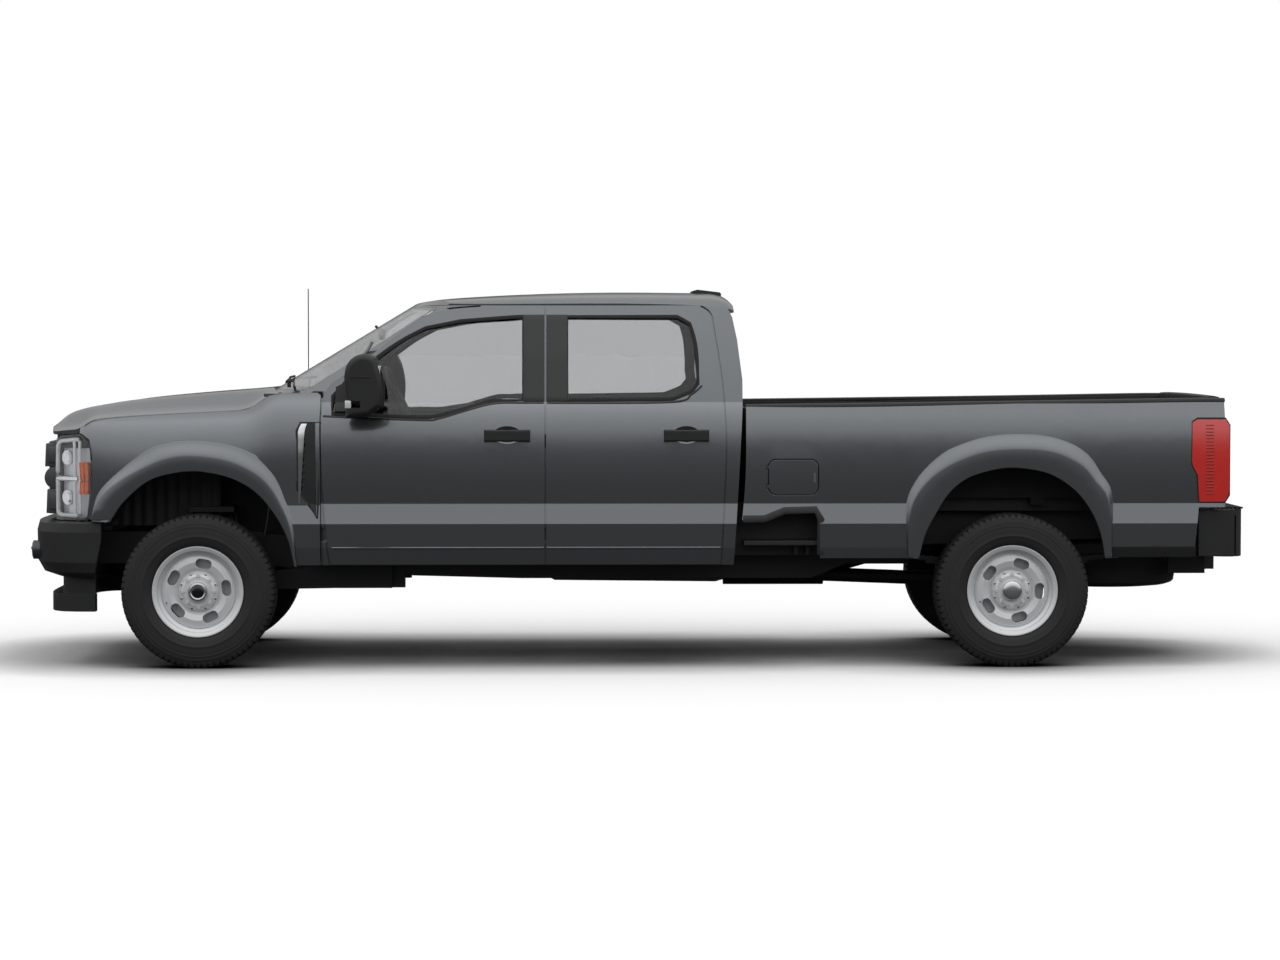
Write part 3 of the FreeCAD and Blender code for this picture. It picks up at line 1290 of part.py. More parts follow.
BELOW_FLOOR_SHARES = ((0.1200, 0.2600), (0.6800, 0.2600), (0.6800, FLOOR_UNDERSIDE_SHARE),
                      (0.1200, FLOOR_UNDERSIDE_SHARE))
ROCKER_WIDTH = 230.0
SCREEN_FOOT_SHARES = (0.0897, 0.7473)
SCREEN_HEAD_SHARES = (0.2568, 0.9647)
SCREEN_BOW_SHARES = ((0.0, 0.0), (0.25, 0.0030), (0.50, 0.0148), (0.70, 0.0330), (0.82, 0.0490),
                     (1.00, 0.0780),
                     (1.14, 0.1050))
SCREEN_WIDTH_SHARE = 0.9
SCREEN_HALF = 762.0
SCREEN_THICKNESS = 6.0
SCREEN_TOP_HALF = 690.0
SCREEN_LOW_SHARE = 0.7350
SCREEN_HIGH_SHARE = 0.9560


def screen_plan(offset, half, far):
    """Horizontal outline ahead of the bowed windscreen, at its foot.

    The offset moves the bow rearwards, half is where it ends and far is how
    far ahead the straight front edge lies.
    """
    foot_x = along(SCREEN_FOOT_SHARES[0]) + offset
    z = up(SCREEN_FOOT_SHARES[1])
    bow = []
    for y_share, x_share in SCREEN_BOW_SHARES:
        y = out(y_share * SCREEN_WIDTH_SHARE)
        if y <= half:
            bow.append(Point(foot_x + WHEELBASE * x_share, y, z))
    left = [Point(p.x, -p.y, p.z) for p in reversed(bow[1:])]
    curve = left + bow
    front_left = Point(foot_x - far, curve[0].y, z)
    front_right = Point(foot_x - far, curve[-1].y, z)
    return curve, front_left, front_right


def raked(face, low, high):
    """Sweep a foot-level face along the windscreen's rake between two heights."""
    foot = Point(along(SCREEN_FOOT_SHARES[0]), 0, up(SCREEN_FOOT_SHARES[1]))
    head = Point(along(SCREEN_HEAD_SHARES[0]), 0, up(SCREEN_HEAD_SHARES[1]))
    way = head - foot
    start = way * ((low - foot.z) / way.z)
    end = way * ((high - foot.z) / way.z)
    return face.translated(start).extrude(end - start)


def ahead_of_screen(offset, low, high):
    """Everything ahead of the windscreen's face between two heights."""
    curve, front_left, front_right = screen_plan(offset, HALF_WIDTH + OVERRUN, WHEELBASE / 2)
    wire = mixed_wire([curve[1:], [front_right], [front_left], [curve[0]]])
    return raked(Part.Face(wire), low, high)


def screen_outline(shrink):
    """Front-view outline of the windscreen, swept through the cab's front."""
    low = up(SCREEN_LOW_SHARE) + shrink
    high = up(SCREEN_HIGH_SHARE) - shrink
    wide = SCREEN_HALF - shrink
    narrow = SCREEN_TOP_HALF - shrink
    x = along(0)
    points = [Point(x, -wide, low), Point(x, wide, low), Point(x, narrow, high), Point(x, -narrow, high)]
    return face_of(points).extrude(Point(WHEELBASE / 2, 0, 0))


def windscreen():
    """Bowed laminated screen."""
    low = up(SCREEN_LOW_SHARE) - OVERRUN
    high = up(SCREEN_HIGH_SHARE) + OVERRUN
    plate = ahead_of_screen(SCREEN_THICKNESS, low, high).cut(ahead_of_screen(0, low, high))
    return plate.common(screen_outline(FIT))


BACK_GLASS_SHARES = (0.7320, 0.9080)
BACK_GLASS_HALF = 640.0
BACK_GLASS_TOP_HALF = 560.0
BACK_GLASS_INSET = 10.0


def back_window_opening(shrink):
    """Front-view outline of the rear window, swept through the cab's back."""
    low = up(BACK_GLASS_SHARES[0]) + shrink
    high = up(BACK_GLASS_SHARES[1]) - shrink
    x = along(CAB_END_SHARES[1]) - WALL * 4
    points = [Point(x, -BACK_GLASS_HALF + shrink, low), Point(x, BACK_GLASS_HALF - shrink, low),
              Point(x, BACK_GLASS_TOP_HALF - shrink, high), Point(x, -BACK_GLASS_TOP_HALF + shrink, high)]
    return face_of(points).extrude(Point(WALL * 6, 0, 0))


def back_glass():
    """Rear window plate that follows the slope of the cab's back."""
    foot, head = CAB_SIDE_SHARES[9][0], CAB_SIDE_SHARES[8][0]
    start = Point(along(foot[0]) - BACK_GLASS_INSET, 0, up(foot[1]))
    end = Point(along(head[0]) - BACK_GLASS_INSET, 0, up(head[1]))
    way = end - start
    low = start - way
    high = start + way * 2
    thick = Point(-GLASS, 0, 0)
    wire = loop([low, high, high + thick, low + thick])
    return across(wire, -HALF_WIDTH, HALF_WIDTH).common(back_window_opening(FIT))


TUNNEL_SHARES = (0.1480, 0.3000)
TUNNEL_HALF = 190.0
TUNNEL_TOP = 812.0
COWL_TOP_SHARE = 0.7150
COWL_GAP = 18.0
FENDER_DEPTH = 40.0
FENDER_ROOM_SHARES = (0.1530, 0.7325)
FENDER_ROOM_START_SHARE = 0.05
CAB_END_SHARES = (0.08, 0.68)
UPPER_ROOM_SHARE = 0.95
GLASS_ROOM_SHARES = (0.300, 0.740)
HOOD_HINGE_ROOM = 24.0
HOOD_REAR_SHARES = ((0.0, 0.0716), (0.25, 0.0745), (0.45, 0.0835), (0.65, 0.0910), (0.90, 0.0970))


def ahead_of_cowl():
    """Everything ahead of the cowl's curved front lip."""
    z = up(FLOOR_UNDERSIDE_SHARE)
    curve = [Point(along(x) + COWL_GAP, out(y), z) for y, x in HOOD_REAR_SHARES]
    left = [Point(p.x, -p.y, p.z) for p in reversed(curve[1:])]
    far = along(ENGINE_SHARES[0][0])
    points = left + curve
    wire = mixed_wire([points[1:], [Point(far, curve[-1].y, z)], [Point(far, -curve[-1].y, z)], [points[0]]])
    return Part.Face(wire).extrude(Point(0, 0, up(COWL_TOP_SHARE) - z))


def fender_room(sign):
    """Space that a front fender takes up over the cab's front corner."""
    x1 = along(FENDER_ROOM_SHARES[0])
    high = up(FENDER_ROOM_SHARES[1])
    room = band(along(FENDER_ROOM_START_SHARE), x1, -OVERRUN, FENDER_DEPTH, CAB_UPPER)
    room = room.common(block(along(FENDER_ROOM_START_SHARE), x1, -HALF_WIDTH - OVERRUN, 0, 0, high))
    top = block(along(FENDER_ROOM_START_SHARE), x1, -HALF_WIDTH,
                -out(FENDER_EDGE_SHARE) + FENDER_DEPTH, up(COWL_TOP_SHARE), high)
    side = block(along(FENDER_ROOM_START_SHARE), along(CAB_SIDE_SHARES[-1][0][0]), -HALF_WIDTH,
                 -out(APRON_PLACE_SHARE) + SKIN + FIT,
                 0, high)
    room = room.fuse([top, side])
    return room if sign < 0 else mirrored(room)


def hood_hinge_room(sign):
    """Space in the cowl round one hood hinge."""
    x = along(HOOD_PIVOT_SHARES[0])
    z = up(HOOD_PIVOT_SHARES[1])
    inner = sign * (HOOD_EYE_PLACE - HOOD_HINGE_ROOM / 2)
    outer = sign * (out(APRON_PLACE_SHARE) + OVERRUN)
    return block(x - HOOD_HINGE_ROOM * 3, x + HOOD_HINGE_ROOM, inner, outer, z - HOOD_HINGE_ROOM,
                 z + OVERRUN)


def cab_shell():
    """Hollow cab: floor, firewall, pillars, roof rails, rockers and back wall."""
    box_start, box_end = [along(share) for share in CAB_END_SHARES]
    solid = core(box_start, box_end, 0, CAB_UPPER, [])
    solid = solid.common(across(mixed_wire([side_points(run) for run in CAB_SIDE_SHARES]), -HALF_WIDTH,
                                HALF_WIDTH))
    screen_low = up(COWL_TOP_SHARE)
    solid = solid.cut(ahead_of_cowl())
    for sign in (-1, 1):
        solid = solid.cut(fender_room(sign))
    solid = solid.cut(ahead_of_screen(0, screen_low, HEIGHT + OVERRUN))
    rebate = ahead_of_screen(SCREEN_THICKNESS + FIT, screen_low, HEIGHT + OVERRUN)
    solid = solid.cut(rebate.common(screen_outline(0)))
    room = core(box_start, box_end, WALL, CAB_UPPER, [])
    taller = block(box_start, box_end, -out(GREENHOUSE_SHARES[-1][1]) + WALL,
                   out(GREENHOUSE_SHARES[-1][1]) - WALL,
                   up(UPPER_ROOM_SHARE), HEIGHT)
    room = room.fuse(taller)
    room = room.common(across(loop(side_points(CAB_ROOM_SHARES)), -HALF_WIDTH, HALF_WIDTH))
    solid = solid.cut(room)
    solid = solid.cut(roof_room()).cut(roof_panel().translated(Point(0, 0, -FIT)))
    for sign in (-1, 1):
        solid = solid.cut(hood_hinge_room(sign))
    tunnel_x0, tunnel_x1 = [along(share) for share in TUNNEL_SHARES]
    solid = solid.fuse(block(tunnel_x0, tunnel_x1, -TUNNEL_HALF, TUNNEL_HALF, up(FLOOR_UNDERSIDE_SHARE),
                             TUNNEL_TOP))
    rocker_inside = out(ROCKER_SHARES[0][1]) - ROCKER_WIDTH
    below = across(loop(side_points(BELOW_FLOOR_SHARES)), -rocker_inside, rocker_inside)
    solid = solid.cut(below)
    solid = solid.cut(block(tunnel_x0 - OVERRUN * 2, tunnel_x1 - SHEET, -TUNNEL_HALF + SHEET,
                            TUNNEL_HALF - SHEET,
                            up(FLOOR_UNDERSIDE_SHARE) - OVERRUN, TUNNEL_TOP - SHEET))
    opening = screen_outline(FLANGE_WIDTH)
    glass_end, glass_low = along(GLASS_ROOM_SHARES[0]), up(GLASS_ROOM_SHARES[1])
    glass_room = opening.common(block(FRONT_AXLE_X, glass_end, -HALF_WIDTH, HALF_WIDTH, glass_low, HEIGHT))
    solid = solid.cut(glass_room)
    solid = solid.cut(back_window_opening(0))
    for end, shares, window, edge, limit in door_places():
        pocket = side_slab(grown(shares, PANEL_GAP))
        pocket = pocket.common(band(pocket.BoundBox.XMin, pocket.BoundBox.XMax, -OVERRUN,
                                    SKIN + BOX_FIT, CAB_UPPER))
        hole = door_box(shares, box_end - WALL, limit, BOX_FIT)
        deeper = hole.BoundBox
        cutters = [pocket, hole]
        inward = side_slab(grown(shares, -FLANGE_WIDTH + BOX_FIT))
        inward = inward.common(block(deeper.XMin, limit + BOX_FIT, -HALF_WIDTH, 0, up(SILL_SHARE), HEIGHT))
        cutters.append(inward)
        for share in HINGE_HEIGHTS_SHARES:
            cutters.append(hinge_room(edge, share))
        for cutter in cutters:
            solid = solid.cut(cutter)
            solid = solid.cut(mirrored(cutter))
    lugs = []
    for end, shares, window, edge, limit in door_places():
        for share in HINGE_HEIGHTS_SHARES:
            lugs.append(hinge_lugs(edge, share))
            lugs.append(mirrored(hinge_lugs(edge, share)))
    return fused([solid] + lugs)


# Roof: length, ridge height, seat height and half width of each station
ROOF_SHARES = (
    (0.2500, 0.9640, 0.9560, 0.690), (0.2780, 0.9752, 0.9612, 0.725), (0.3200, 0.9850, 0.9612, 0.745),
    (0.4200, 0.9960, 0.9612, 0.755), (0.5400, 1.0000, 0.9612, 0.755), (0.6200, 0.9985, 0.9560, 0.745),
    (0.6480, 0.9900, 0.9500, 0.725), (0.6590, 0.9700, 0.9420, 0.700),
)
ROOF_EDGE = 10.0


def roof_room():
    """Space above the cab's roof rails that the roof panel fills."""
    wires = []
    for x_share, top, seat, half in ROOF_SHARES:
        x = along(x_share)
        wide = out(half) + FIT
        high = HEIGHT + OVERRUN
        wires.append(loop([Point(x, wide, up(seat)), Point(x, wide, high), Point(x, -wide, high),
                           Point(x, -wide, up(seat))]))
    return Part.makeLoft(wires, True, False)


def roof_panel():
    """Crowned roof skin with its lining, on the cab's roof rails."""
    wires = []
    for x_share, top, seat, half in ROOF_SHARES:
        x = along(x_share)
        low = up(seat) + FIT
        high = up(top)
        wide = out(half)
        crown = high - low - ROOF_EDGE
        ridge = [Point(x, wide, low + ROOF_EDGE), Point(x, wide * 0.93, low + ROOF_EDGE + crown * 0.34),
                 Point(x, wide * 0.72, low + ROOF_EDGE + crown * 0.72),
                 Point(x, wide * 0.38, low + ROOF_EDGE + crown * 0.94),
                 Point(x, 0, high)]
        other = [Point(p.x, -p.y, p.z) for p in reversed(ridge[:-1])]
        top_run = ridge + other
        wires.append(mixed_wire([[Point(x, wide, low)], [top_run[0]], top_run[1:], [Point(x, -wide, low)]]))
    panel = Part.makeLoft(wires, True, False)
    return panel.cut(ahead_of_screen(0, up(SCREEN_LOW_SHARE), HEIGHT + OVERRUN))


def cab():
    """Cab shell, roof and fixed glass."""
    save("cab_shell", cab_shell())
    save("roof_panel", roof_panel())
    save("cab_glass", Part.makeCompound([windscreen(), back_glass()]))


# Line between hood and fender, rearwards and up
EDGE_LINE_SHARES = ((-0.1960, 0.6000), (-0.1900, 0.6090), (-0.1814, 0.6180), (-0.1680, 0.6260),
                    (-0.1483, 0.6345), (-0.1295, 0.6570), (-0.0971, 0.6662), (-0.0481, 0.6729),
                    (0.0011, 0.6783), (0.0557, 0.6850), (0.0772, 0.7080), (0.0933, 0.7262),
                    (0.1100, 0.7290), (0.1500, 0.7290))
# Front fender: length, side place and foot height of each station
FENDER_SHARES = ((-0.1460, 0.8950, 0.3945), (-0.1295, 0.9200, 0.3945), (-0.0971, 0.9480, 0.3945),
                 (-0.0481, 0.9650, 0.3945), (0.0011, 0.9720, 0.4330), (0.0557, 0.9750, 0.4330),
                 (0.0772, 0.9765, 0.4330), (0.0933, 0.9774, 0.4330), (0.1500, 0.9774, 0.4330))
FENDER_EDGE_SHARE = 0.8480
NOSE_STATIONS = 7
PANEL_STATIONS = 17


def slopes(stations, column):
    """Slope of one column at each station, level wherever the column turns back."""
    steps = []
    for a, b in zip(stations, stations[1:]):
        steps.append((b[column] - a[column]) / (b[0] - a[0]))
    result = [steps[0]]
    for before, after in zip(steps, steps[1:]):
        if before * after <= 0:
            result.append(0)
        else:
            result.append(2 * before * after / (before + after))
    return result + [steps[-1]]


def eased(stations, column, place):
    """Value of one column of a station table at any place, without overshoot."""
    tilts = slopes(stations, column)
    for index, (a, b) in enumerate(zip(stations, stations[1:])):
        if place <= b[0] or index == len(stations) - 2:
            span = b[0] - a[0]
            t = max(0, min(1, (place - a[0]) / span))
            keep = (1 + 2 * t) * (1 - t) ** 2
            lead = t * (1 - t) ** 2 * span
            reach = t * t * (3 - 2 * t)
            lag = t * t * (t - 1) * span
            return keep * a[column] + lead * tilts[index] + reach * b[column] + lag * tilts[index + 1]


def station_places(start, middle, end):
    """Places of close stations up to the middle and of wider ones beyond it."""
    near = [start + (middle - start) * i / NOSE_STATIONS for i in range(NOSE_STATIONS)]
    far = [middle + (end - middle) * i / PANEL_STATIONS for i in range(PANEL_STATIONS + 1)]
    return near + far


# How the fender rolls over: share of its height and share of the way in to its edge
FENDER_ROLL_SHARES = ((0.0, 0.0), (0.30, 0.0), (0.64, 0.08), (0.77, 0.19), (0.863, 0.35), (0.917, 0.51),
                      (0.965, 0.74), (1.0, 1.0))
FENDER_BACK_SHARE = 0.1492
FENDER_LOWER_SHARE = 0.1060
FRONT_ARCH_SHARES = ((-0.1062, 0.3870), (-0.0870, 0.4478), (-0.0566, 0.5005), (-0.0199, 0.5213),
                     (0.0040, 0.5227),
                     (0.0409, 0.5058), (0.0714, 0.4686), (0.0955, 0.4077), (0.1112, 0.3415),
                     (0.1186, 0.2700))
FRONT_FLARE_SHARES = ((-0.1290, 0.3870), (-0.1150, 0.4600), (-0.0810, 0.5130), (-0.0380, 0.5540),
                      (0.0000, 0.5618),
                      (0.0456, 0.5430), (0.0828, 0.4942), (0.1051, 0.4188), (0.1160, 0.3450),
                      (0.1215, 0.2700))
REAR_ARCH_SHARES = ((0.8823, 0.2700), (0.8908, 0.3531), (0.9031, 0.4063), (0.9215, 0.4671), (0.9459, 0.5068),
                    (0.9828, 0.5290), (1.0074, 0.5304), (1.0441, 0.5145), (1.0749, 0.4720), (1.0960, 0.4135),
                    (1.1074, 0.3527), (1.1136, 0.2700))
REAR_FLARE_SHARES = ((0.8700, 0.2700), (0.8720, 0.3800), (0.8785, 0.4459), (0.8969, 0.4986),
                     (0.9215, 0.5357),
                     (0.9582, 0.5676), (0.9951, 0.5783), (1.0443, 0.5725), (1.0812, 0.5382),
                     (1.0998, 0.4932),
                     (1.1146, 0.4454), (1.1210, 0.2700))
FLARE_BASE_DEPTH = 40.0
FLARE_LIP = 10.0
FLARE_MIDDLE_SHARE = 0.62


def flare_ring(arch, flare):
    """Solid that swells from the body panel out to the wheel-arch lip."""
    base_y = -out(PANEL_SHARES[0][1]) + FLARE_BASE_DEPTH
    lip_points = moved_out(side_points(arch), FLARE_LIP)
    lip_points[0].z = up(arch[0][1])
    lip_points[-1].z = up(arch[-1][1])
    base_points = side_points(flare)
    middle = [a + (b - a) * FLARE_MIDDLE_SHARE for a, b in zip(base_points, lip_points)]
    wires = []
    surface = -out(PANEL_SHARES[0][1])
    for points, y in ((base_points, base_y), (base_points, surface + SHEET), (middle, surface - SHEET),
                      (lip_points, -HALF_WIDTH)):
        wire = mixed_wire([[points[0]], points[1:]])
        wires.append(wire.translated(Point(0, y, 0)))
    return Part.makeLoft(wires, True, True)


def arch_cutter(arch):
    """Wheel-arch opening through a body side, open to below."""
    points = side_points(arch)
    front = Point(points[0].x, 0, TYRE_RADIUS / 2)
    rear = Point(points[-1].x, 0, TYRE_RADIUS / 2)
    wire = mixed_wire([[front], [points[0]], points[1:], [rear]])
    return across(wire, -HALF_WIDTH - OVERRUN, -HALF_WIDTH / 2)


def fender_wire(x, edge_z, edge_y, side_y, foot):
    """Closed section of a -Y front fender at one station."""
    outer = []
    inner = []
    for rise, inward in FENDER_ROLL_SHARES:
        z = up(foot) + (up(edge_z) - up(foot)) * rise
        y = -(out(side_y) + (out(edge_y) - out(side_y)) * inward)
        outer.append(Point(x, y, z))
        inner.append(Point(x, y + SHEET * (1 - inward ** 2), z - SHEET * inward))
    return mixed_wire([[outer[0]], outer[1:], [inner[-1]], list(reversed(inner))[1:]])


APRON_START_SHARE = -0.1400
APRON_END_SHARE = 0.1260
APRON_DEPTH = 70.0
APRON_PLACE_SHARE = 0.8480
APRON_THICKNESS = 10.0
HOOD_PIVOT_SHARES = (0.0985, 0.7240)
HOOD_PIN_RADIUS = 6.0
HOOD_EYE_RADIUS = 13.0
HOOD_EYE_PLACE = 790.0
HOOD_EYE_WIDTH = 16.0


def apron():
    """Inner web that hangs from a fender's edge and carries the hood's hinge pin."""
    top = []
    for place in station_places(APRON_START_SHARE, EDGE_LINE_SHARES[5][0], APRON_END_SHARE):
        top.append(Point(along(place), 0, up(eased(EDGE_LINE_SHARES, 1, place)) - SKIN))
    low = [p - Point(0, 0, APRON_DEPTH) for p in reversed(top)]
    y = -out(APRON_PLACE_SHARE)
    end = along(CAB_SIDE_SHARES[-1][0][0]) - FIT
    web = across(loop(top + low), y - APRON_THICKNESS, y)
    web = web.common(block(along(APRON_START_SHARE), end, -HALF_WIDTH, 0, 0, HEIGHT))
    pivot = Point(along(HOOD_PIVOT_SHARES[0]), y, up(HOOD_PIVOT_SHARES[1]))
    inner = Point(pivot.x, -HOOD_EYE_PLACE + HOOD_EYE_WIDTH, pivot.z)
    pin = rod(HOOD_PIN_RADIUS, pivot, inner)
    return web.fuse(pin)


VENT_SHARES = ((0.1213, 0.6319), (0.1253, 0.6502), (0.1440, 0.6515), (0.1452, 0.4034), (0.1356, 0.4338),
               (0.1221, 0.4734))
VENT_SLOTS = 9
VENT_SLOT_SHARE = 0.55
VENT_DEPTH = 22.0
HEADLAMP_SHARES = ((-0.1900, 0.5940), (-0.1800, 0.6040), (-0.1729, 0.6150), (-0.1440, 0.6190),
                   (-0.1342, 0.6043),
                   (-0.1304, 0.5647), (-0.1320, 0.4454), (-0.1371, 0.3894), (-0.1900, 0.3894))
LAMP_GAP = 4.0


FENDER_FOOT_SHARE = 0.3890
HINGE_MARGIN_SHARES = (0.1310, 0.6500)


def largest(shape):
    """The biggest solid of a shape, without the slivers that a cut leaves."""
    return max(shape.Solids, key=lambda solid: solid.Volume)


def hinge_margin():
    """Space behind a fender's rear edge, where the door's hinges swing."""
    x0 = along(HINGE_MARGIN_SHARES[0])
    x1 = along(FENDER_ROOM_SHARES[0]) + OVERRUN
    room = band(x0, x1, SKIN, DOOR_DEPTH, CAB_UPPER)
    return room.common(block(x0, x1, -HALF_WIDTH, 0, 0, up(HINGE_MARGIN_SHARES[1])))


def front_fender():
    """Front fender on the -Y side, with its flare, apron and openings."""
    wires = []
    start, end = FENDER_SHARES[0][0], FENDER_SHARES[-1][0]
    for place in station_places(start, EDGE_LINE_SHARES[5][0], end):
        edge_z = eased(EDGE_LINE_SHARES, 1, place)
        side_y = eased(FENDER_SHARES, 1, place)
        foot = eased(FENDER_SHARES, 2, place)
        wires.append(fender_wire(along(place), edge_z, FENDER_EDGE_SHARE, side_y, foot))
    upper = Part.makeLoft(wires, True, False)
    lower = band(along(FENDER_LOWER_SHARE), along(FENDER_SHARES[-1][0]), 0, SHEET, CAB_UPPER)
    lower = lower.common(block(along(FENDER_LOWER_SHARE), along(FENDER_SHARES[-1][0]), -HALF_WIDTH, 0,
                               0, up(BAND_HIGH_SHARE[0])))
    body = fused([upper, lower, flare_ring(FRONT_ARCH_SHARES, FRONT_FLARE_SHARES)])
    body = body.cut(arch_cutter(FRONT_ARCH_SHARES))
    body = body.cut(side_slab(loop(moved_out(side_points(HEADLAMP_SHARES), LAMP_GAP))))
    body = body.cut(side_slab(grown(FRONT_DOOR_SHARES, PANEL_GAP)))
    body = body.cut(side_slab(loop(side_points(VENT_SHARES))))
    body = body.cut(hinge_margin())
    low = block(body.BoundBox.XMin, FRONT_AXLE_X, -HALF_WIDTH, 0, 0, up(FENDER_FOOT_SHARE))
    web = apron().cut(side_slab(loop(moved_out(side_points(HEADLAMP_SHARES), LAMP_GAP))))
    return largest(body.cut(low)).fuse(web)


VENT_LOW_SHARE = 0.22
VENT_FIRST_SHARE = 0.6
VENT_SLOT_WIDE_SHARE = 0.55
VENT_TALL_SHARE = 0.6
VENT_INSET_SHARE = 0.25


def fender_vent():
    """Vent plate in the -Y fender with its ladder of slots."""
    wire = loop(moved_out(side_points(VENT_SHARES), -FIT))
    plate = side_slab(wire)
    box = plate.BoundBox
    plate = plate.common(band(box.XMin, box.XMax, 0, VENT_DEPTH, CAB_UPPER))
    low = box.ZMin + (box.ZMax - box.ZMin) * VENT_LOW_SHARE
    pitch = (box.ZMax - low) / (VENT_SLOTS + 1)
    width = (box.XMax - box.XMin) * VENT_SLOT_SHARE
    plate = plate.cut(hinge_margin())
    for index in range(VENT_SLOTS):
        z = low + pitch * (index + VENT_FIRST_SHARE)
        ahead = box.XMin + width * VENT_INSET_SHARE
        slot = block(ahead, ahead + width * VENT_SLOT_WIDE_SHARE, -HALF_WIDTH,
                     -out(PANEL_SHARES[3][1]) + SHEET, z, z + pitch * VENT_TALL_SHARE)
        plate = plate.cut(slot)
    return plate


# Ridge of the hood's power dome, rearwards and up
RIDGE_LINE_SHARES = ((-0.1960, 0.6120), (-0.1900, 0.6340), (-0.1814, 0.6527), (-0.1680, 0.6730),
                     (-0.1483, 0.6865), (-0.1295, 0.6940), (-0.0971, 0.7055), (-0.0481, 0.7169),
                     (0.0011, 0.7261), (0.0557, 0.7350), (0.0772, 0.7395), (0.0990, 0.7440))
HOOD_FRONT_SHARES = ((0.0, -0.1928), (0.40, -0.1905), (0.66, -0.1850), (0.76, -0.1760), (0.83, -0.1560),
                     (0.90, -0.1300))
HOOD_THICKNESS = 30.0
HOOD_NOSE_THICKNESS = 14.0
HOOD_NOSE_SHARE = -0.14
HOOD_PLACE_SHARES = ((0.848, 0.0), (0.78, 0.10), (0.68, 0.34), (0.56, 0.78), (0.47, 0.985))
HOOD_MIDDLE_SHARES = ((0.44, 1.0), (0.22, 0.93), (0.0, 0.92))


def hood_wire(x, edge_z, ridge_z, drop):
    """Closed hood section at one station."""
    edge_gap = PANEL_GAP
    slope = []
    for place, rise in HOOD_PLACE_SHARES:
        y = out(place) - edge_gap * place / HOOD_PLACE_SHARES[0][0]
        slope.append(Point(x, -y, up(edge_z) + (up(ridge_z) - up(edge_z)) * rise))
    middle = []
    for place, rise in HOOD_MIDDLE_SHARES:
        middle.append(Point(x, -out(place), up(edge_z) + (up(ridge_z) - up(edge_z)) * rise))
    left = slope + middle[:1]
    over = middle[1:] + [Point(p.x, -p.y, p.z) for p in reversed(middle[:-1])]
    right = [Point(p.x, -p.y, p.z) for p in reversed(slope)]
    down = Point(0, 0, -drop)
    under = [p + down for p in reversed(left + over + right)]
    return mixed_wire([[left[0]], left[1:], over, right, [under[0]], under[1:]])


HOOD_ARM_SHARE = 0.4


def hood():
    """Hood panel with its power dome, latch striker and hinge eyes."""
    wires = []
    start, end = RIDGE_LINE_SHARES[0][0], RIDGE_LINE_SHARES[-1][0]
    for place in station_places(start, RIDGE_LINE_SHARES[5][0], end):
        edge_z = eased(EDGE_LINE_SHARES, 1, place)
        ridge_z = eased(RIDGE_LINE_SHARES, 1, place)
        grow = max(0, min(1, (place - start) / (HOOD_NOSE_SHARE - start)))
        drop = HOOD_NOSE_THICKNESS + (HOOD_THICKNESS - HOOD_NOSE_THICKNESS) * grow
        wires.append(hood_wire(along(place), edge_z, ridge_z, drop))
    panel = Part.makeLoft(wires, True, False)
    low = up(FENDER_FOOT_SHARE)
    front = [Point(along(x), out(y), low) for y, x in HOOD_FRONT_SHARES]
    front = [Point(p.x, -p.y, p.z) for p in reversed(front[1:])] + front
    rear = [Point(along(x), out(y), low) for y, x in reversed(HOOD_REAR_SHARES)]
    rear = rear + [Point(p.x, -p.y, p.z) for p in reversed(rear[:-1])]
    plan = Part.Face(mixed_wire([front[1:], [rear[0]], rear[1:], [front[0]]]))
    panel = panel.common(plan.extrude(Point(0, 0, HEIGHT / 2)))
    eyes = []
    for sign in (-1, 1):
        y0 = sign * HOOD_EYE_PLACE
        y1 = sign * (HOOD_EYE_PLACE + HOOD_EYE_WIDTH)
        x = along(HOOD_PIVOT_SHARES[0])
        z = up(HOOD_PIVOT_SHARES[1])
        eye = rod(HOOD_EYE_RADIUS, Point(x, y0, z), Point(x, y1, z))
        root = x - HOOD_THICKNESS * 3
        arm = block(root, x, y0, y1, z - HOOD_EYE_RADIUS, z + HOOD_EYE_RADIUS * HOOD_ARM_SHARE)
        rise = block(root, root + HOOD_THICKNESS, y0, y1, z - HOOD_EYE_RADIUS,
                     up(HOOD_PIVOT_SHARES[1]) - SHEET)
        bore = rod(HOOD_PIN_RADIUS + FIT, Point(x, y0 - sign * OVERRUN, z), Point(x, y1 + sign * OVERRUN, z))
        eyes.append(fused([eye, arm, rise]).cut(bore))
    return fused([panel] + eyes)


# Nose pieces in plan: place across and place along
GRILLE_PLAN_SHARES = ((0.0, -0.1965), (0.30, -0.1960), (0.55, -0.1935), (0.655, -0.1905))
LAMP_PLAN_SHARES = ((0.665, -0.1880), (0.74, -0.1810), (0.80, -0.1700), (0.86, -0.1520), (0.905, -0.1280))
GRILLE_HEIGHT_SHARES = (0.4040, 0.5960)
GRILLE_DEPTH = 56.0
GRILLE_FRAME = 36.0
GRILLE_ROWS = 6
GRILLE_COLUMNS = 9
GRILLE_BAR = 14.0
LAMP_DEPTH = 80.0


def plan_slab(shares, depth, low, high):
    """Slab behind a plan curve, between two heights, on both sides of the middle."""
    right = [Point(along(x), out(y), low) for y, x in shares]
    curve = [Point(p.x, -p.y, p.z) for p in reversed(right[1:])] + right
    back = [p + Point(depth, 0, 0) for p in reversed(curve)]
    wire = mixed_wire([curve[1:], [back[0]], back[1:], [curve[0]]])
    return Part.Face(wire).extrude(Point(0, 0, high - low))


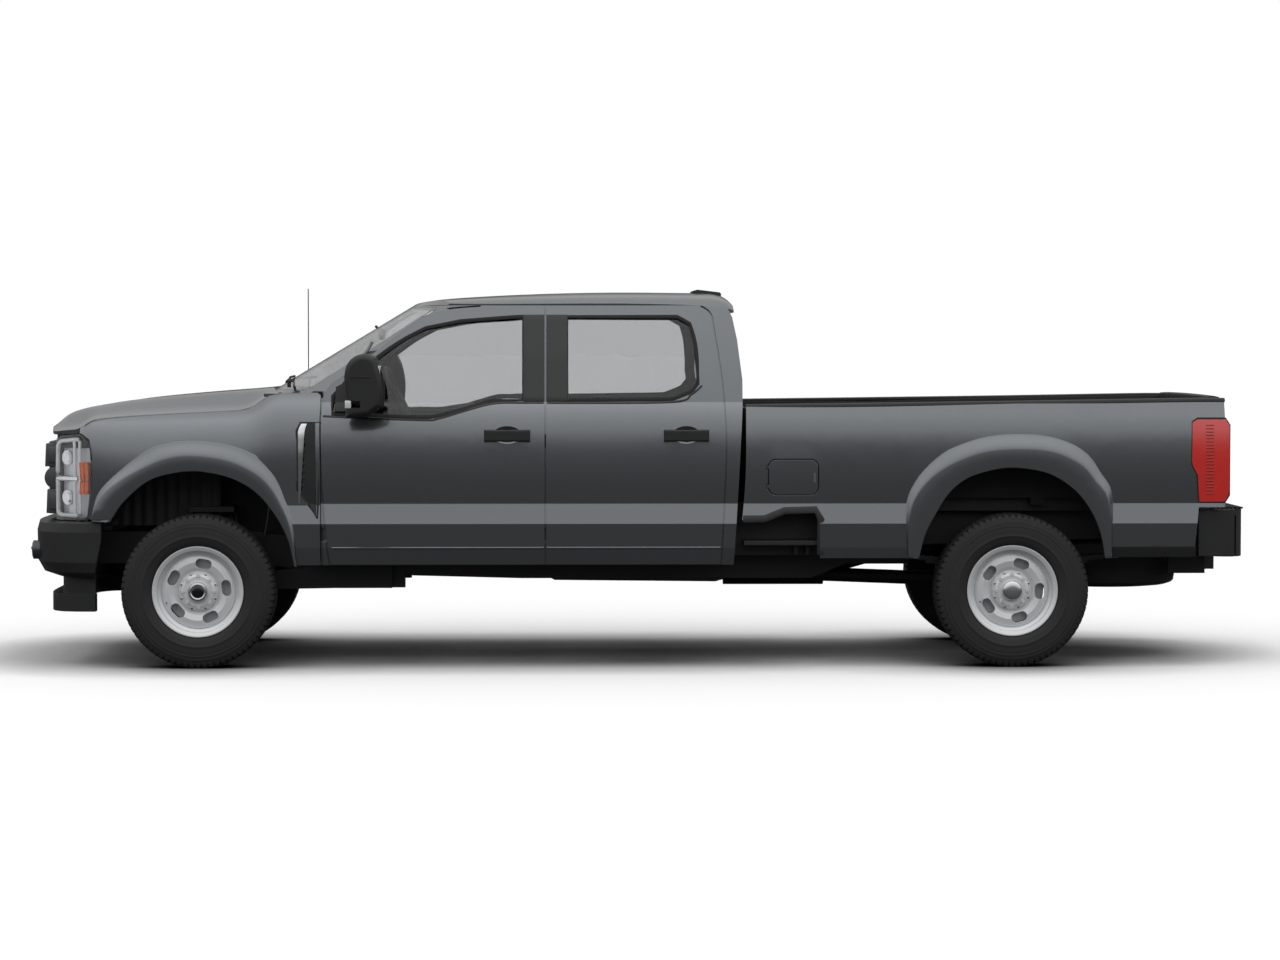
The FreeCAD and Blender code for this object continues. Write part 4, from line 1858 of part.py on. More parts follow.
def grille():
    """Grille frame with a bold middle bar and rows of open cells."""
    low = up(GRILLE_HEIGHT_SHARES[0])
    high = up(GRILLE_HEIGHT_SHARES[1])
    slab = plan_slab(GRILLE_PLAN_SHARES, GRILLE_DEPTH, low, high)
    half = out(GRILLE_PLAN_SHARES[-1][0]) - GRILLE_FRAME
    row = (high - low - 2 * GRILLE_FRAME + GRILLE_BAR) / GRILLE_ROWS
    column = (2 * half + GRILLE_BAR) / GRILLE_COLUMNS
    x0 = along(GRILLE_PLAN_SHARES[0][1]) - OVERRUN
    x1 = x0 + OVERRUN * 2 + GRILLE_DEPTH * 2
    cells = []
    for r in range(GRILLE_ROWS):
        z = low + GRILLE_FRAME + r * row
        if r == GRILLE_ROWS // 2:
            continue
        for c in range(GRILLE_COLUMNS):
            y = -half + c * column
            cells.append(block(x0, x1, y, y + column - GRILLE_BAR, z, z + row - GRILLE_BAR))
    return slab.cut(Part.makeCompound(cells))


LAMP_LEAN_SHARE = 0.4


def headlamps():
    """Both wrap-round headlamps as closed lenses with their housings."""
    right = [Point(along(x), out(y), 0) for y, x in LAMP_PLAN_SHARES]
    back = [p + Point(LAMP_DEPTH, -LAMP_DEPTH * LAMP_LEAN_SHARE, 0) for p in reversed(right)]
    back[-1] = right[0] + Point(LAMP_DEPTH, 0, 0)
    back[0] = right[-1] + Point(0, -LAMP_DEPTH, 0)
    face = Part.Face(mixed_wire([right[1:], [back[0]], back[1:], [right[0]]]))
    lamp = face.extrude(Point(0, 0, HEIGHT))
    lamp = lamp.common(across(loop(side_points(HEADLAMP_SHARES)), HALF_WIDTH / 2, HALF_WIDTH))
    return Part.makeCompound([lamp, mirrored(lamp)])


# Front bumper in plan, and how each level sits behind the boldest one
BUMPER_PLAN_SHARES = ((0.0, -0.2150), (0.45, -0.2120), (0.69, -0.2040), (0.82, -0.1950), (0.90, -0.1800),
                      (0.945, -0.1550), (0.957, -0.1180))
BUMPER_LEVEL_SHARES = ((0.2396, 0.0250), (0.2531, 0.0078), (0.2802, 0.0010), (0.3604, 0.0), (0.3845, 0.0030),
                       (0.3874, 0.0150))
BUMPER_WALL = 60.0
BUMPER_END_SHARES = ((-0.1172, 0.3874), (-0.1172, 0.3710), (-0.1186, 0.3338), (-0.1275, 0.2396),
                     (-0.1275, 0.2300),
                     (-0.0500, 0.2300), (-0.0500, 0.3900), (-0.1172, 0.3900))
# Air dam: low and high level of each course, how far back it lies and its walls thick
DAM_COURSES_SHARES = ((0.1470, 0.1935, 0.0100, 3), (0.1900, 0.2480, 0.0225, 1))
DAM_PLAN_SHARES = ((0.0, -0.2015), (0.40, -0.2010), (0.65, -0.1975), (0.78, -0.1890), (0.84, -0.1760),
                   (0.862, -0.1600), (0.865, -0.1286))
DAM_WALL = 26.0
BUMPER_TUCK_SHARE = 0.35
LEVEL_MARGIN_SHARE = 0.02


def level_wire(plan, level, wall):
    """Closed plan of a wrapped piece at one level, moved in from its face by a wall."""
    z = up(level[0])
    back = WHEELBASE * level[1]
    far = out(plan[-1][0])
    right = []
    for y, x in plan:
        inward = (back * BUMPER_TUCK_SHARE + wall) * out(y) / far
        right.append(Point(along(x) + back + wall, out(y) - inward, z))
    right[-1].x = along(plan[-1][1]) + wall
    curve = [Point(p.x, -p.y, p.z) for p in reversed(right[1:])] + right
    return mixed_wire([curve[1:], [curve[0]]])


def wrapped(plan, levels, wall):
    """Curved wall of even thickness round the nose, open above and below."""
    outer = Part.makeLoft([level_wire(plan, level, 0) for level in levels], True, True)
    lowest = (levels[0][0] - LEVEL_MARGIN_SHARE, levels[0][1])
    highest = (levels[-1][0] + LEVEL_MARGIN_SHARE, levels[-1][1])
    inside = [lowest] + list(levels) + [highest]
    return outer.cut(Part.makeLoft([level_wire(plan, level, wall) for level in inside], True, True))


def air_dam():
    """Two courses of curved wall below the bumper."""
    courses = []
    for low, high, back, walls in DAM_COURSES_SHARES:
        outer = Part.Face(level_wire(DAM_PLAN_SHARES, (low, back), 0))
        inner = Part.Face(level_wire(DAM_PLAN_SHARES, (low, back), DAM_WALL * walls))
        courses.append(outer.cut(inner).extrude(Point(0, 0, up(high) - up(low))))
    return fused(courses)


def front_bumper():
    """Wrapped bumper with its lower air dam."""
    bumper = wrapped(BUMPER_PLAN_SHARES, BUMPER_LEVEL_SHARES, BUMPER_WALL)
    bumper = bumper.cut(across(loop(side_points(BUMPER_END_SHARES)), -HALF_WIDTH - OVERRUN,
                               HALF_WIDTH + OVERRUN))
    bumper = bumper.fuse(air_dam())
    hook_z = up(HOOK_HEIGHT_SHARE)
    nose = bumper.BoundBox.XMin
    holes = []
    brackets = []
    for side, sign in SIDES:
        y0 = sign * (HOOK_PLACE - HOOK_RADIUS - 2 * HOOK_BAR)
        y1 = sign * (HOOK_PLACE + HOOK_RADIUS + 2 * HOOK_BAR)
        holes.append(block(nose, along(CROSS_SHARES[0][0]), y0, y1, hook_z - HOOK_BAR * 2,
                           hook_z + HOOK_BAR * 2))
        start = along(RAIL_SHARES[0][0]) - FIT
        y2 = sign * (RAIL_OUTSIDE - RAIL_WIDTH)
        y3 = sign * (RAIL_OUTSIDE - HITCH_PLATE)
        low = up(RAIL_SHARES[0][1]) + HOOK_BAR * 3
        high = up(RAIL_SHARES[0][1]) + RAIL_DEPTH / 2
        brackets.append(block(along(BUMPER_PLAN_SHARES[1][1]) + BUMPER_WALL / 2, start, y2, y3, low, high))
    return fused([bumper] + brackets).cut(Part.makeCompound(holes))


SUPPORT_ARM_SHARES = (-0.1270, -0.1170)
SUPPORT_TOP_SHARE = 0.6080
SUPPORT_BEAM = 56.0
SUPPORT_HALF = 640.0


def radiator_support():
    """Upright frame behind the grille that holds radiator, lamps and fenders."""
    x1 = along(RADIATOR_SHARES[0][0]) - FIT
    x0 = x1 - SUPPORT_BEAM
    low = rail_height(CROSS_SHARES[0][0]) + RAIL_DEPTH / 2 + FIT
    high = up(SUPPORT_TOP_SHARE)
    pieces = [block(x0, x1, -SUPPORT_HALF, SUPPORT_HALF, high - SUPPORT_BEAM, high),
              block(x0, x1, -SUPPORT_HALF, SUPPORT_HALF, low, low + SUPPORT_BEAM)]
    for side, sign in SIDES:
        for place in (RADIATOR_HALF + SUPPORT_BEAM, SUPPORT_HALF):
            pieces.append(block(x0, x1, sign * (place - SUPPORT_BEAM), sign * place, low, high))
        reach = out(APRON_PLACE_SHARE) - FIT
        inner = sign * (SUPPORT_HALF - SUPPORT_BEAM)
        outer = sign * SUPPORT_HALF
        arm_x0, arm_x1 = [along(share) for share in SUPPORT_ARM_SHARES]
        pieces.append(block(x0, arm_x1, inner, outer, high - SUPPORT_BEAM, high))
        pieces.append(block(arm_x0, arm_x1, inner, sign * reach, high - SUPPORT_BEAM, high))
        grille_back = along(GRILLE_PLAN_SHARES[-1][1]) + GRILLE_DEPTH
        ear_low = high - 2 * SUPPORT_BEAM
        lamp_end = sign * (out(LAMP_PLAN_SHARES[0][0]) - FIT)
        pieces.append(block(grille_back - SHEET, x0, inner, lamp_end, ear_low, high - SUPPORT_BEAM))
    return fused(pieces).cut(plan_slab(GRILLE_PLAN_SHARES, GRILLE_DEPTH + FIT, 0, HEIGHT))


# Pickup bed
BED_SIDE_SHARES = (
    ((0.6718, 0.6922),), ((0.8600, 0.6928), (1.0443, 0.7025), (1.2166, 0.7087)), ((1.2609, 0.7087),),
    ((1.2609, 0.4250),), ((1.2285, 0.4250),), ((1.2237, 0.3227),), ((1.1682, 0.3227),), ((1.1300, 0.3121),),
    ((1.1300, 0.2908),), ((0.7622, 0.2908),), ((0.7622, 0.3928),), ((0.7562, 0.4164),), ((0.7192, 0.4140),),
    ((0.6946, 0.3928),), ((0.6665, 0.3928),), ((0.6690, 0.4459), (0.6716, 0.6048)),
)
TAILLAMP_SHARES = ((1.2206, 0.6512), (1.2268, 0.6609), (1.2617, 0.6609), (1.2664, 0.6435), (1.2658, 0.4570),
                   (1.2609, 0.4386), (1.2286, 0.4386), (1.2260, 0.5106), (1.2197, 0.5372))
TAILLAMP_WIDTH = 120.0
BED_REAR_SHARE = 1.2440
BED_FRONT_SHARE = 0.6735
TAILGATE_HALF = 782.0
TAILGATE_THICKNESS = 70.0
TAILGATE_REAR_SHARE = 1.2612
TAILGATE_TOP_SHARE = 0.7150
TAILGATE_LOW_GAP = 4.0
TAILGATE_PIVOT_INSET = 42.0
TAILGATE_PIVOT_RISE = 34.0
TAILGATE_PIN_RADIUS = 11.0
TAILGATE_PIN_REACH = 24.0
WHEELHOUSE_SHARES = ((0.890, 0.449), (0.905, 0.520), (0.945, 0.562), (1.055, 0.562), (1.095, 0.520),
                     (1.112, 0.449))
WHEELHOUSE_INSIDE = 640.0
FLOOR_RIBS = 9
RIB_HEIGHT = 10.0
RIB_SHARE = 0.5
RAIL_CAP = 26.0
FUEL_DOOR_SHARES = ((0.6996, 0.4604), (0.7597, 0.5517))
FUEL_DOOR_THICKNESS = 2.5
FUEL_HINGE_AHEAD = 8.0
FUEL_HINGE_DEPTH = 3.0
FUEL_GAP = 6.0
FUEL_CORNER = 40.0
FUEL_PIN_RADIUS = 1.3
FUEL_EYE_RADIUS = 2.7
FUEL_EYE_LENGTH = 18.0
FUEL_CUP_DEPTH = 60.0
FUEL_EYE_PLACE_SHARES = (0.22, 0.78)


def fuel_box():
    """Corners of the fuel door and the place of its hinge line."""
    (x0, z0), (x1, z1) = FUEL_DOOR_SHARES
    y = -out(PANEL_SHARES[0][1])
    return along(x0), along(x1), up(z0), up(z1), y


def fuel_slab(gap, deep):
    """Block with rounded corners over the fuel door, grown by a gap."""
    x0, x1, z0, z1, y = fuel_box()
    slab = block(x0 - gap, x1 + gap, -HALF_WIDTH, deep, z0 - gap, z1 + gap)
    corners = [edge for edge in slab.Edges if edge.BoundBox.YLength > FUEL_CORNER]
    return slab.makeFillet(FUEL_CORNER + gap, corners)


def fuel_door():
    """Flap over the filler with two hinge eyes at its front edge."""
    x0, x1, z0, z1, y = fuel_box()
    flap = fuel_slab(0, -HALF_WIDTH / 2).common(band(x0, x1, 0, FUEL_DOOR_THICKNESS, BED_UPPER))
    pieces = [flap]
    axis_x = x0 - FUEL_HINGE_AHEAD
    axis_y = y + FUEL_HINGE_DEPTH
    bores = []
    for share in FUEL_EYE_PLACE_SHARES:
        z = z0 + (z1 - z0) * share
        low = z - FUEL_EYE_LENGTH / 2
        high = z + FUEL_EYE_LENGTH / 2
        pieces.append(rod(FUEL_EYE_RADIUS, Point(axis_x, axis_y, low), Point(axis_x, axis_y, high)))
        pieces.append(block(axis_x, x0 + FUEL_GAP, axis_y - FUEL_PIN_RADIUS, axis_y + FUEL_EYE_RADIUS,
                            low, high))
        bores.append(rod(FUEL_PIN_RADIUS + FIT, Point(axis_x, axis_y, low - FUEL_GAP),
                         Point(axis_x, axis_y, high + FUEL_GAP)))
    return fused(pieces).cut(Part.makeCompound(bores))


def bed_side():
    """Outer bed panel on the -Y side with its flare and openings."""
    slab = side_slab(outline(BED_SIDE_SHARES))
    box = slab.BoundBox
    panel = slab.common(band(box.XMin, box.XMax, 0, SHEET, BED_UPPER))
    body = fused([panel, flare_ring(REAR_ARCH_SHARES, REAR_FLARE_SHARES)])
    body = body.cut(arch_cutter(REAR_ARCH_SHARES))
    body = body.common(block(box.XMin, box.XMax, -HALF_WIDTH - OVERRUN, 0, up(BED_SIDE_SHARES[9][0][1]),
                             HEIGHT))
    body = body.cut(side_slab(loop(moved_out(side_points(TAILLAMP_SHARES), LAMP_GAP))))
    return body


def fuel_cup(body):
    """The driver's bed panel with its filler cup and fuel-door hinge pins."""
    x0, x1, z0, z1, y = fuel_box()
    wall = SKIN
    hole = fuel_slab(FUEL_GAP, y + FUEL_CUP_DEPTH - wall)
    cup = block(x0 - FUEL_GAP - wall, x1 + FUEL_GAP + wall, y + SKIN, y + FUEL_CUP_DEPTH,
                z0 - FUEL_GAP - wall,
                z1 + FUEL_GAP + wall)
    body = body.fuse(cup)
    notches = []
    pins = []
    axis_x = x0 - FUEL_HINGE_AHEAD
    axis_y = y + FUEL_HINGE_DEPTH
    for share in FUEL_EYE_PLACE_SHARES:
        z = z0 + (z1 - z0) * share
        half = FUEL_EYE_LENGTH / 2 + FUEL_GAP
        notches.append(block(axis_x - FUEL_GAP, x0, -HALF_WIDTH, axis_y + FUEL_GAP, z - half, z + half))
        pins.append(rod(FUEL_PIN_RADIUS, Point(axis_x, axis_y, z - half - wall),
                        Point(axis_x, axis_y, z + half + wall)))
    body = body.cut(Part.makeCompound([hole] + notches))
    return fused([body] + pins)


def taillamp():
    """Tail lamp at the -Y rear corner."""
    slab = side_slab(loop(side_points(TAILLAMP_SHARES)))
    box = slab.BoundBox
    return slab.common(band(box.XMin, box.XMax, 0, TAILLAMP_WIDTH, BED_UPPER))


RIB_PLACE_SHARE = 0.25
LIP_SHARE = 0.6


def bed_box():
    """Load floor with ribs, inner walls, wheelhouses, rail caps and sills."""
    x0 = along(BED_FRONT_SHARE)
    x1 = along(BED_REAR_SHARE)
    top = BED_FLOOR_HEIGHT
    low = top - BED_FLOOR_THICKNESS
    inside = BED_WALL_INSIDE
    pieces = [block(x0, x1, -inside - SHEET, inside + SHEET, low, top)]
    rib_pitch = 2 * WHEELHOUSE_INSIDE / FLOOR_RIBS
    for index in range(FLOOR_RIBS):
        y = -WHEELHOUSE_INSIDE + rib_pitch * (index + RIB_PLACE_SHARE)
        pieces.append(block(x0, x1, y, y + rib_pitch * RIB_SHARE, top, top + RIB_HEIGHT))
    wall_top = up(BED_SIDE_SHARES[0][0][1]) - RAIL_CAP / 2
    pieces.append(block(x0, x0 + SHEET * 2, -inside - SHEET, inside + SHEET, low, wall_top))
    for share in BED_MOUNT_SHARES:
        x = along(share)
        pieces.append(block(x - BED_SILL, x + BED_SILL, -inside, inside, low - BED_SILL, low))
    cap_top = side_points(BED_SIDE_SHARES[0] + BED_SIDE_SHARES[1] + BED_SIDE_SHARES[2])
    cap_top = [p - Point(0, 0, FIT) for p in cap_top]
    cap_low = [p - Point(0, 0, RAIL_CAP) for p in reversed(cap_top)]
    for side, sign in SIDES:
        y0 = sign * inside
        y1 = sign * (inside + SHEET)
        pieces.append(block(x0, x1, y0, y1, low, wall_top))
        house = across(loop(side_points(WHEELHOUSE_SHARES)), sign * WHEELHOUSE_INSIDE,
                       sign * (inside + SHEET))
        pieces.append(house)
        post_x = along(TAILGATE_REAR_SHARE) - TAILGATE_THICKNESS / 2
        pieces.append(block(x1 - SHEET, post_x, sign * (TAILGATE_HALF + PANEL_GAP),
                            sign * (inside + SHEET), low, wall_top))
        lamp_inside = out(PANEL_SHARES[1][1]) - TAILLAMP_WIDTH - FIT
        seat_low, seat_high = up(PANEL_SHARES[0][0]), up(PANEL_SHARES[1][0])
        pieces.append(block(x1 - SHEET, post_x, y1, sign * lamp_inside, seat_low, seat_high))
        cap = across(loop(cap_top + cap_low), -HALF_WIDTH, -(inside - SHEET))
        cap = cap.common(band(x0 - OVERRUN, x1 + OVERRUN * 3, SHEET + FIT, HALF_WIDTH - inside + SHEET,
                              BED_UPPER))
        cap = cap.cut(side_slab(loop(moved_out(side_points(TAILLAMP_SHARES), LAMP_GAP))))
        cap = cap.common(block(x0, post_x, -HALF_WIDTH, -TAILGATE_HALF - PANEL_GAP, 0, HEIGHT))
        pieces.append(cap if sign < 0 else mirrored(cap))
    body = fused(pieces)
    tunnels = []
    for side, sign in SIDES:
        hollow = [p - Point(0, 0, SHEET) for p in side_points(WHEELHOUSE_SHARES)]
        start = hollow[0] + Point(SHEET, 0, -OVERRUN)
        end = hollow[-1] + Point(-SHEET, 0, -OVERRUN)
        lip = Point(SHEET * LIP_SHARE, 0, 0)
        inner = [start, hollow[0] + Point(SHEET, 0, 0)] + [p + lip for p in hollow[1:3]]
        inner = inner + [p - lip for p in hollow[3:5]]
        inner = inner + [hollow[-1] - Point(SHEET, 0, 0), end]
        tunnels.append(across(loop(inner), sign * (WHEELHOUSE_INSIDE + SHEET), sign * (inside + OVERRUN)))
    body = body.cut(Part.makeCompound(tunnels))
    pins = []
    for side, sign in SIDES:
        pivot = tailgate_pivot()
        start = Point(pivot.x, sign * (inside + SHEET), pivot.z)
        end = Point(pivot.x, sign * (TAILGATE_HALF - TAILGATE_PIN_REACH), pivot.z)
        pins.append(rod(TAILGATE_PIN_RADIUS, start, end))
    return fused([body] + pins)


def tailgate_pivot():
    """Hinge line of the tailgate."""
    return Point(along(TAILGATE_REAR_SHARE) - TAILGATE_PIVOT_INSET, 0,
                 BED_FLOOR_HEIGHT + TAILGATE_PIVOT_RISE)


TAILGATE_PRESS_SHARES = (0.13, 0.20, 0.84)
TAILGATE_PRESS_DEPTH = 9.0
GATE_HANDLE_SHARES = (0.11, 0.865, 0.945)
GATE_HANDLE_DEPTH = 24.0
GATE_ROUND_SHARE = 0.2
PRESS_EDGE_SHARE = 0.9
LEVER_SHARE = 0.92


def tailgate():
    """Drop-down gate with its pressed panel, top spoiler, handle cup and pin sockets."""
    x1 = along(TAILGATE_REAR_SHARE)
    x0 = x1 - TAILGATE_THICKNESS
    low = BED_FLOOR_HEIGHT + TAILGATE_LOW_GAP
    high = up(TAILGATE_TOP_SHARE)
    gate = block(x0, x1, -TAILGATE_HALF, TAILGATE_HALF, low, high)
    upright = [edge for edge in gate.Edges if abs(edge.CenterOfMass.x - x1) < FIT and
               abs(edge.CenterOfMass.z - high) < FIT]
    gate = gate.makeFillet(TAILGATE_THICKNESS * GATE_ROUND_SHARE, upright)
    margin, press_low, press_high = TAILGATE_PRESS_SHARES
    tall = high - low
    half = TAILGATE_HALF * (1 - margin)
    press = block(x1 - TAILGATE_PRESS_DEPTH, x1 + OVERRUN, -half, half, low + tall * press_low,
                  low + tall * press_high)
    edges = [edge for edge in press.Edges if abs(edge.CenterOfMass.x - (x1 - TAILGATE_PRESS_DEPTH)) < FIT]
    press = press.makeChamfer(TAILGATE_PRESS_DEPTH * PRESS_EDGE_SHARE, edges)
    gate = gate.cut(press)
    lift_half = TAILGATE_HALF * GATE_HANDLE_SHARES[0]
    cup = block(x1 - GATE_HANDLE_DEPTH, x1 + OVERRUN, -lift_half, lift_half,
                low + tall * GATE_HANDLE_SHARES[1], low + tall * GATE_HANDLE_SHARES[2])
    lever = block(x1 - GATE_HANDLE_DEPTH, x1 - SKIN, -lift_half * LEVER_SHARE, lift_half * LEVER_SHARE,
                  low + tall * (GATE_HANDLE_SHARES[1] + 0.02), low + tall * (GATE_HANDLE_SHARES[2] + 0.01))
    gate = gate.cut(cup).fuse(lever)
    pivot = tailgate_pivot()
    sockets = []
    for side, sign in SIDES:
        start = Point(pivot.x, sign * (TAILGATE_HALF + OVERRUN), pivot.z)
        end = Point(pivot.x, sign * (TAILGATE_HALF - TAILGATE_PIN_REACH - PANEL_GAP), pivot.z)
        sockets.append(rod(TAILGATE_PIN_RADIUS + FIT, start, end))
    gate = gate.cut(Part.makeCompound(sockets))
    corner = rod(TAILGATE_PIVOT_INSET, Point(pivot.x, -TAILGATE_HALF, pivot.z),
                 Point(pivot.x, TAILGATE_HALF, pivot.z))
    lower = block(x0 - OVERRUN, pivot.x, -TAILGATE_HALF - OVERRUN, TAILGATE_HALF + OVERRUN,
                  low - OVERRUN, pivot.z)
    return gate.cut(lower.cut(corner))


REAR_BUMPER_SHARES = ((1.2300, 0.4150), (1.2300, 0.2942), (1.2897, 0.2913), (1.2933, 0.3179),
                      (1.2908, 0.3367),
                      (1.2919, 0.4190))
REAR_BUMPER_HALF_SHARE = 0.935
REAR_BUMPER_ROOM_SHARES = ((1.2200, 0.2850), (1.2200, 0.4010), (1.2780, 0.4010), (1.2780, 0.2850))
BUMPER_ROOM_HALF_SHARE = 0.90
BUMPER_BRACKET_SHARES = ((1.2150, 1.2800), (0.3500, 0.4010))
PLATE_RECESS_SHARES = (0.155, 0.3150, 0.3750)
REAR_CORNER_SHARES = ((0.0, 1.2930), (0.60, 1.2930), (0.80, 1.2880), (0.90, 1.2760), (0.935, 1.2560),
                      (0.935, 1.2300))


def rear_bumper():
    """Step bumper with its pad recesses, plate recess and frame brackets."""
    whole = across(loop(side_points(REAR_BUMPER_SHARES)), -out(REAR_BUMPER_HALF_SHARE),
                   out(REAR_BUMPER_HALF_SHARE))
    right = [Point(along(x), out(y), 0) for y, x in REAR_CORNER_SHARES[:-1]]
    curve = [Point(p.x, -p.y, p.z) for p in reversed(right[1:])] + right
    front_x = along(REAR_CORNER_SHARES[-1][1]) - OVERRUN
    far = out(REAR_CORNER_SHARES[-1][0])
    plan = Part.Face(mixed_wire([curve[1:], [Point(front_x, far, 0)], [Point(front_x, -far, 0)],
                                 [curve[0]]]))
    whole = whole.common(plan.extrude(Point(0, 0, HEIGHT)))
    inside = across(loop(side_points(REAR_BUMPER_ROOM_SHARES)), -out(BUMPER_ROOM_HALF_SHARE),
                    out(BUMPER_ROOM_HALF_SHARE))
    whole = whole.cut(inside)
    brackets = []
    x0, x1 = [along(share) for share in BUMPER_BRACKET_SHARES[0]]
    z0, z1 = [up(share) for share in BUMPER_BRACKET_SHARES[1]]
    for side, sign in SIDES:
        y1 = sign * (RAIL_OUTSIDE + HITCH_PLATE + FIT)
        y0 = sign * (RAIL_OUTSIDE + FIT)
        brackets.append(block(x0, x1, y0, y1, z0, z1))
    half, low, high = PLATE_RECESS_SHARES
    rear = along(REAR_BUMPER_SHARES[3][0])
    plate = block(rear - SHEET, rear + OVERRUN, -out(half), out(half), up(low), up(high))
    return fused([whole] + brackets).cut(plate)


STEP_SHARES = ((0.6690, 0.3370), (0.7600, 0.3370), (0.7600, 0.3250), (0.6690, 0.3250))
STEP_OUT_SHARES = (0.780, 0.955)
STEP_BRACKET_SHARES = (0.7455, 0.7600)


def bed_step():
    """Box step below the front of the -Y bed side, on its bracket from the frame."""
    pad = across(loop(side_points(STEP_SHARES)), -out(STEP_OUT_SHARES[1]), -out(STEP_OUT_SHARES[0]))
    pieces = [pad]
    z = up(STEP_SHARES[3][1])
    for share in STEP_BRACKET_SHARES:
        x = along(share) - OVERRUN
        pieces.append(block(x, x + SHEET * 2, -out(STEP_OUT_SHARES[0]) - OVERRUN, -RAIL_OUTSIDE - FIT,
                            z - SHEET * 5, z))
    return fused(pieces)


# Inside the cab
DASH_SHARES = ((0.1540, 0.6900), (0.1540, 0.5300), (0.1800, 0.5000), (0.1950, 0.5200), (0.2150, 0.6500),
               (0.2080, 0.6950), (0.1800, 0.7100))
CONSOLE_HALF_SHARE = 0.14
CONSOLE_SHARES = ((0.1850, 0.5300), (0.2300, 0.5100), (0.2980, 0.5000))
DASH_HALF = 800.0
WHEEL_CENTRE_SHARES = (0.2420, 0.7080)
WHEEL_RADIUS = 190.0
WHEEL_GRIP = 15.0
WHEEL_TILT = 24.0
WHEEL_PLACE = 430.0
CUSHION_SHARES = ((0.270, 0.4450), (0.270, 0.4950), (0.285, 0.5080), (0.370, 0.4900), (0.385, 0.4700),
                  (0.385, 0.4350))
BACKREST_SHARES = ((0.365, 0.4550), (0.395, 0.4550), (0.4330, 0.7100), (0.4250, 0.7260), (0.4050, 0.7200))
HEADREST_SHARES = ((0.4170, 0.7400), (0.4330, 0.7350), (0.4430, 0.8050), (0.4350, 0.8150), (0.4220, 0.8100))
SEAT_BASE_SHARES = ((0.290, 0.3602), (0.290, 0.4480), (0.375, 0.4420), (0.375, 0.3602))
HEADREST_HALF_SHARE = 0.12
REAR_SEAT_SHIFT = 0.205
SEAT_GAP = 3.0
FRONT_SEAT_SPAN = (190.0, 680.0)
REAR_SEAT_HALF = 680.0


def seat_shapes(shift, y0, y1):
    """Base, cushion, back and headrest of one seat."""
    pieces = []
    for shares in (SEAT_BASE_SHARES, CUSHION_SHARES, BACKREST_SHARES, HEADREST_SHARES):
        moved = [(x + shift, z) for x, z in shares]
        pieces.append((shares, across(loop(side_points(moved)), y0, y1)))
    shapes = [shape for shares, shape in pieces[:3]]
    middle = (y0 + y1) / 2
    half = out(HEADREST_HALF_SHARE)
    head = pieces[3][1].common(block(FRONT_AXLE_X, REAR_AXLE_X, middle - half, middle + half, 0, HEIGHT))
    posts = []
    for way in (-1, 1):
        y = middle + way * half / 2
        low = Point(along(BACKREST_SHARES[3][0] + shift) - SHEET / 2, y,
                    up(BACKREST_SHARES[3][1]) - OVERRUN / 2)
        high = low + Point(SHEET / 2, 0, OVERRUN)
        posts.append(rod(SHEET / 2, low, high))
    return fused(shapes + [head] + posts)


def seats():
    """Two front seats and the rear bench."""
    y0, y1 = FRONT_SEAT_SPAN
    shapes = [seat_shapes(0, -y1, -y0), seat_shapes(0, y0, y1)]
    bench = []
    for start, end in ((-REAR_SEAT_HALF, -SEAT_GAP / 2), (SEAT_GAP / 2, REAR_SEAT_HALF)):
        bench.append(seat_shapes(REAR_SEAT_SHIFT, start, end))
    return Part.makeCompound(shapes + bench)


HUB_RISE_SHARE = 0.22
COLUMN_SHARE = 1.6


def dashboard():
    """Dashboard, centre console and steering column."""
    dash = across(loop(side_points(DASH_SHARES)), -DASH_HALF, DASH_HALF)
    points = side_points(CONSOLE_SHARES)
    low = TUNNEL_TOP + FIT
    points.append(Point(points[-1].x, 0, low))
    points.append(Point(points[0].x, 0, low))
    console = across(loop(points), -out(CONSOLE_HALF_SHARE), out(CONSOLE_HALF_SHARE))
    place = Point(along(WHEEL_CENTRE_SHARES[0]), -WHEEL_PLACE, up(WHEEL_CENTRE_SHARES[1]))
    way = wheel_way()
    rise = way * (WHEEL_RADIUS * HUB_RISE_SHARE)
    column = rod(WHEEL_GRIP * 2, place + rise, place + way * WHEEL_RADIUS * COLUMN_SHARE)
    return fused([dash, console, column])


def wheel_way():
    """Direction of the steering column, forwards and down from the wheel."""
    tilt = math.radians(WHEEL_TILT)
    return Point(-math.cos(tilt), 0, -math.sin(tilt))


HUB_SHARE = 0.36
SPOKE_SHARE = 0.8


def steering_wheel():
    """Rim, hub and three spokes on the column."""
    place = Point(along(WHEEL_CENTRE_SHARES[0]), -WHEEL_PLACE, up(WHEEL_CENTRE_SHARES[1]))
    way = wheel_way()
    ring = Part.makeTorus(WHEEL_RADIUS, WHEEL_GRIP, place, way)
    rise = WHEEL_RADIUS * HUB_RISE_SHARE - FIT
    hub = rod(WHEEL_RADIUS * HUB_SHARE, place - way * WHEEL_GRIP, place + way * rise)
    spokes = []
    across_way = Point(0, 1, 0)
    down = way.cross(across_way).normalize()
    if down.z > 0:
        down = down * -1
    for spoke in (across_way, across_way * -1, down):
        spokes.append(rod(WHEEL_GRIP * SPOKE_SHARE, place, place + spoke * WHEEL_RADIUS))
    return fused([ring, hub] + spokes)


LINER_DEPTH = 5.0
LINER_FACETS = 60
LINER_FOOT_SHARE = 0.29
LINER_SPAN = (604.0, 945.0)


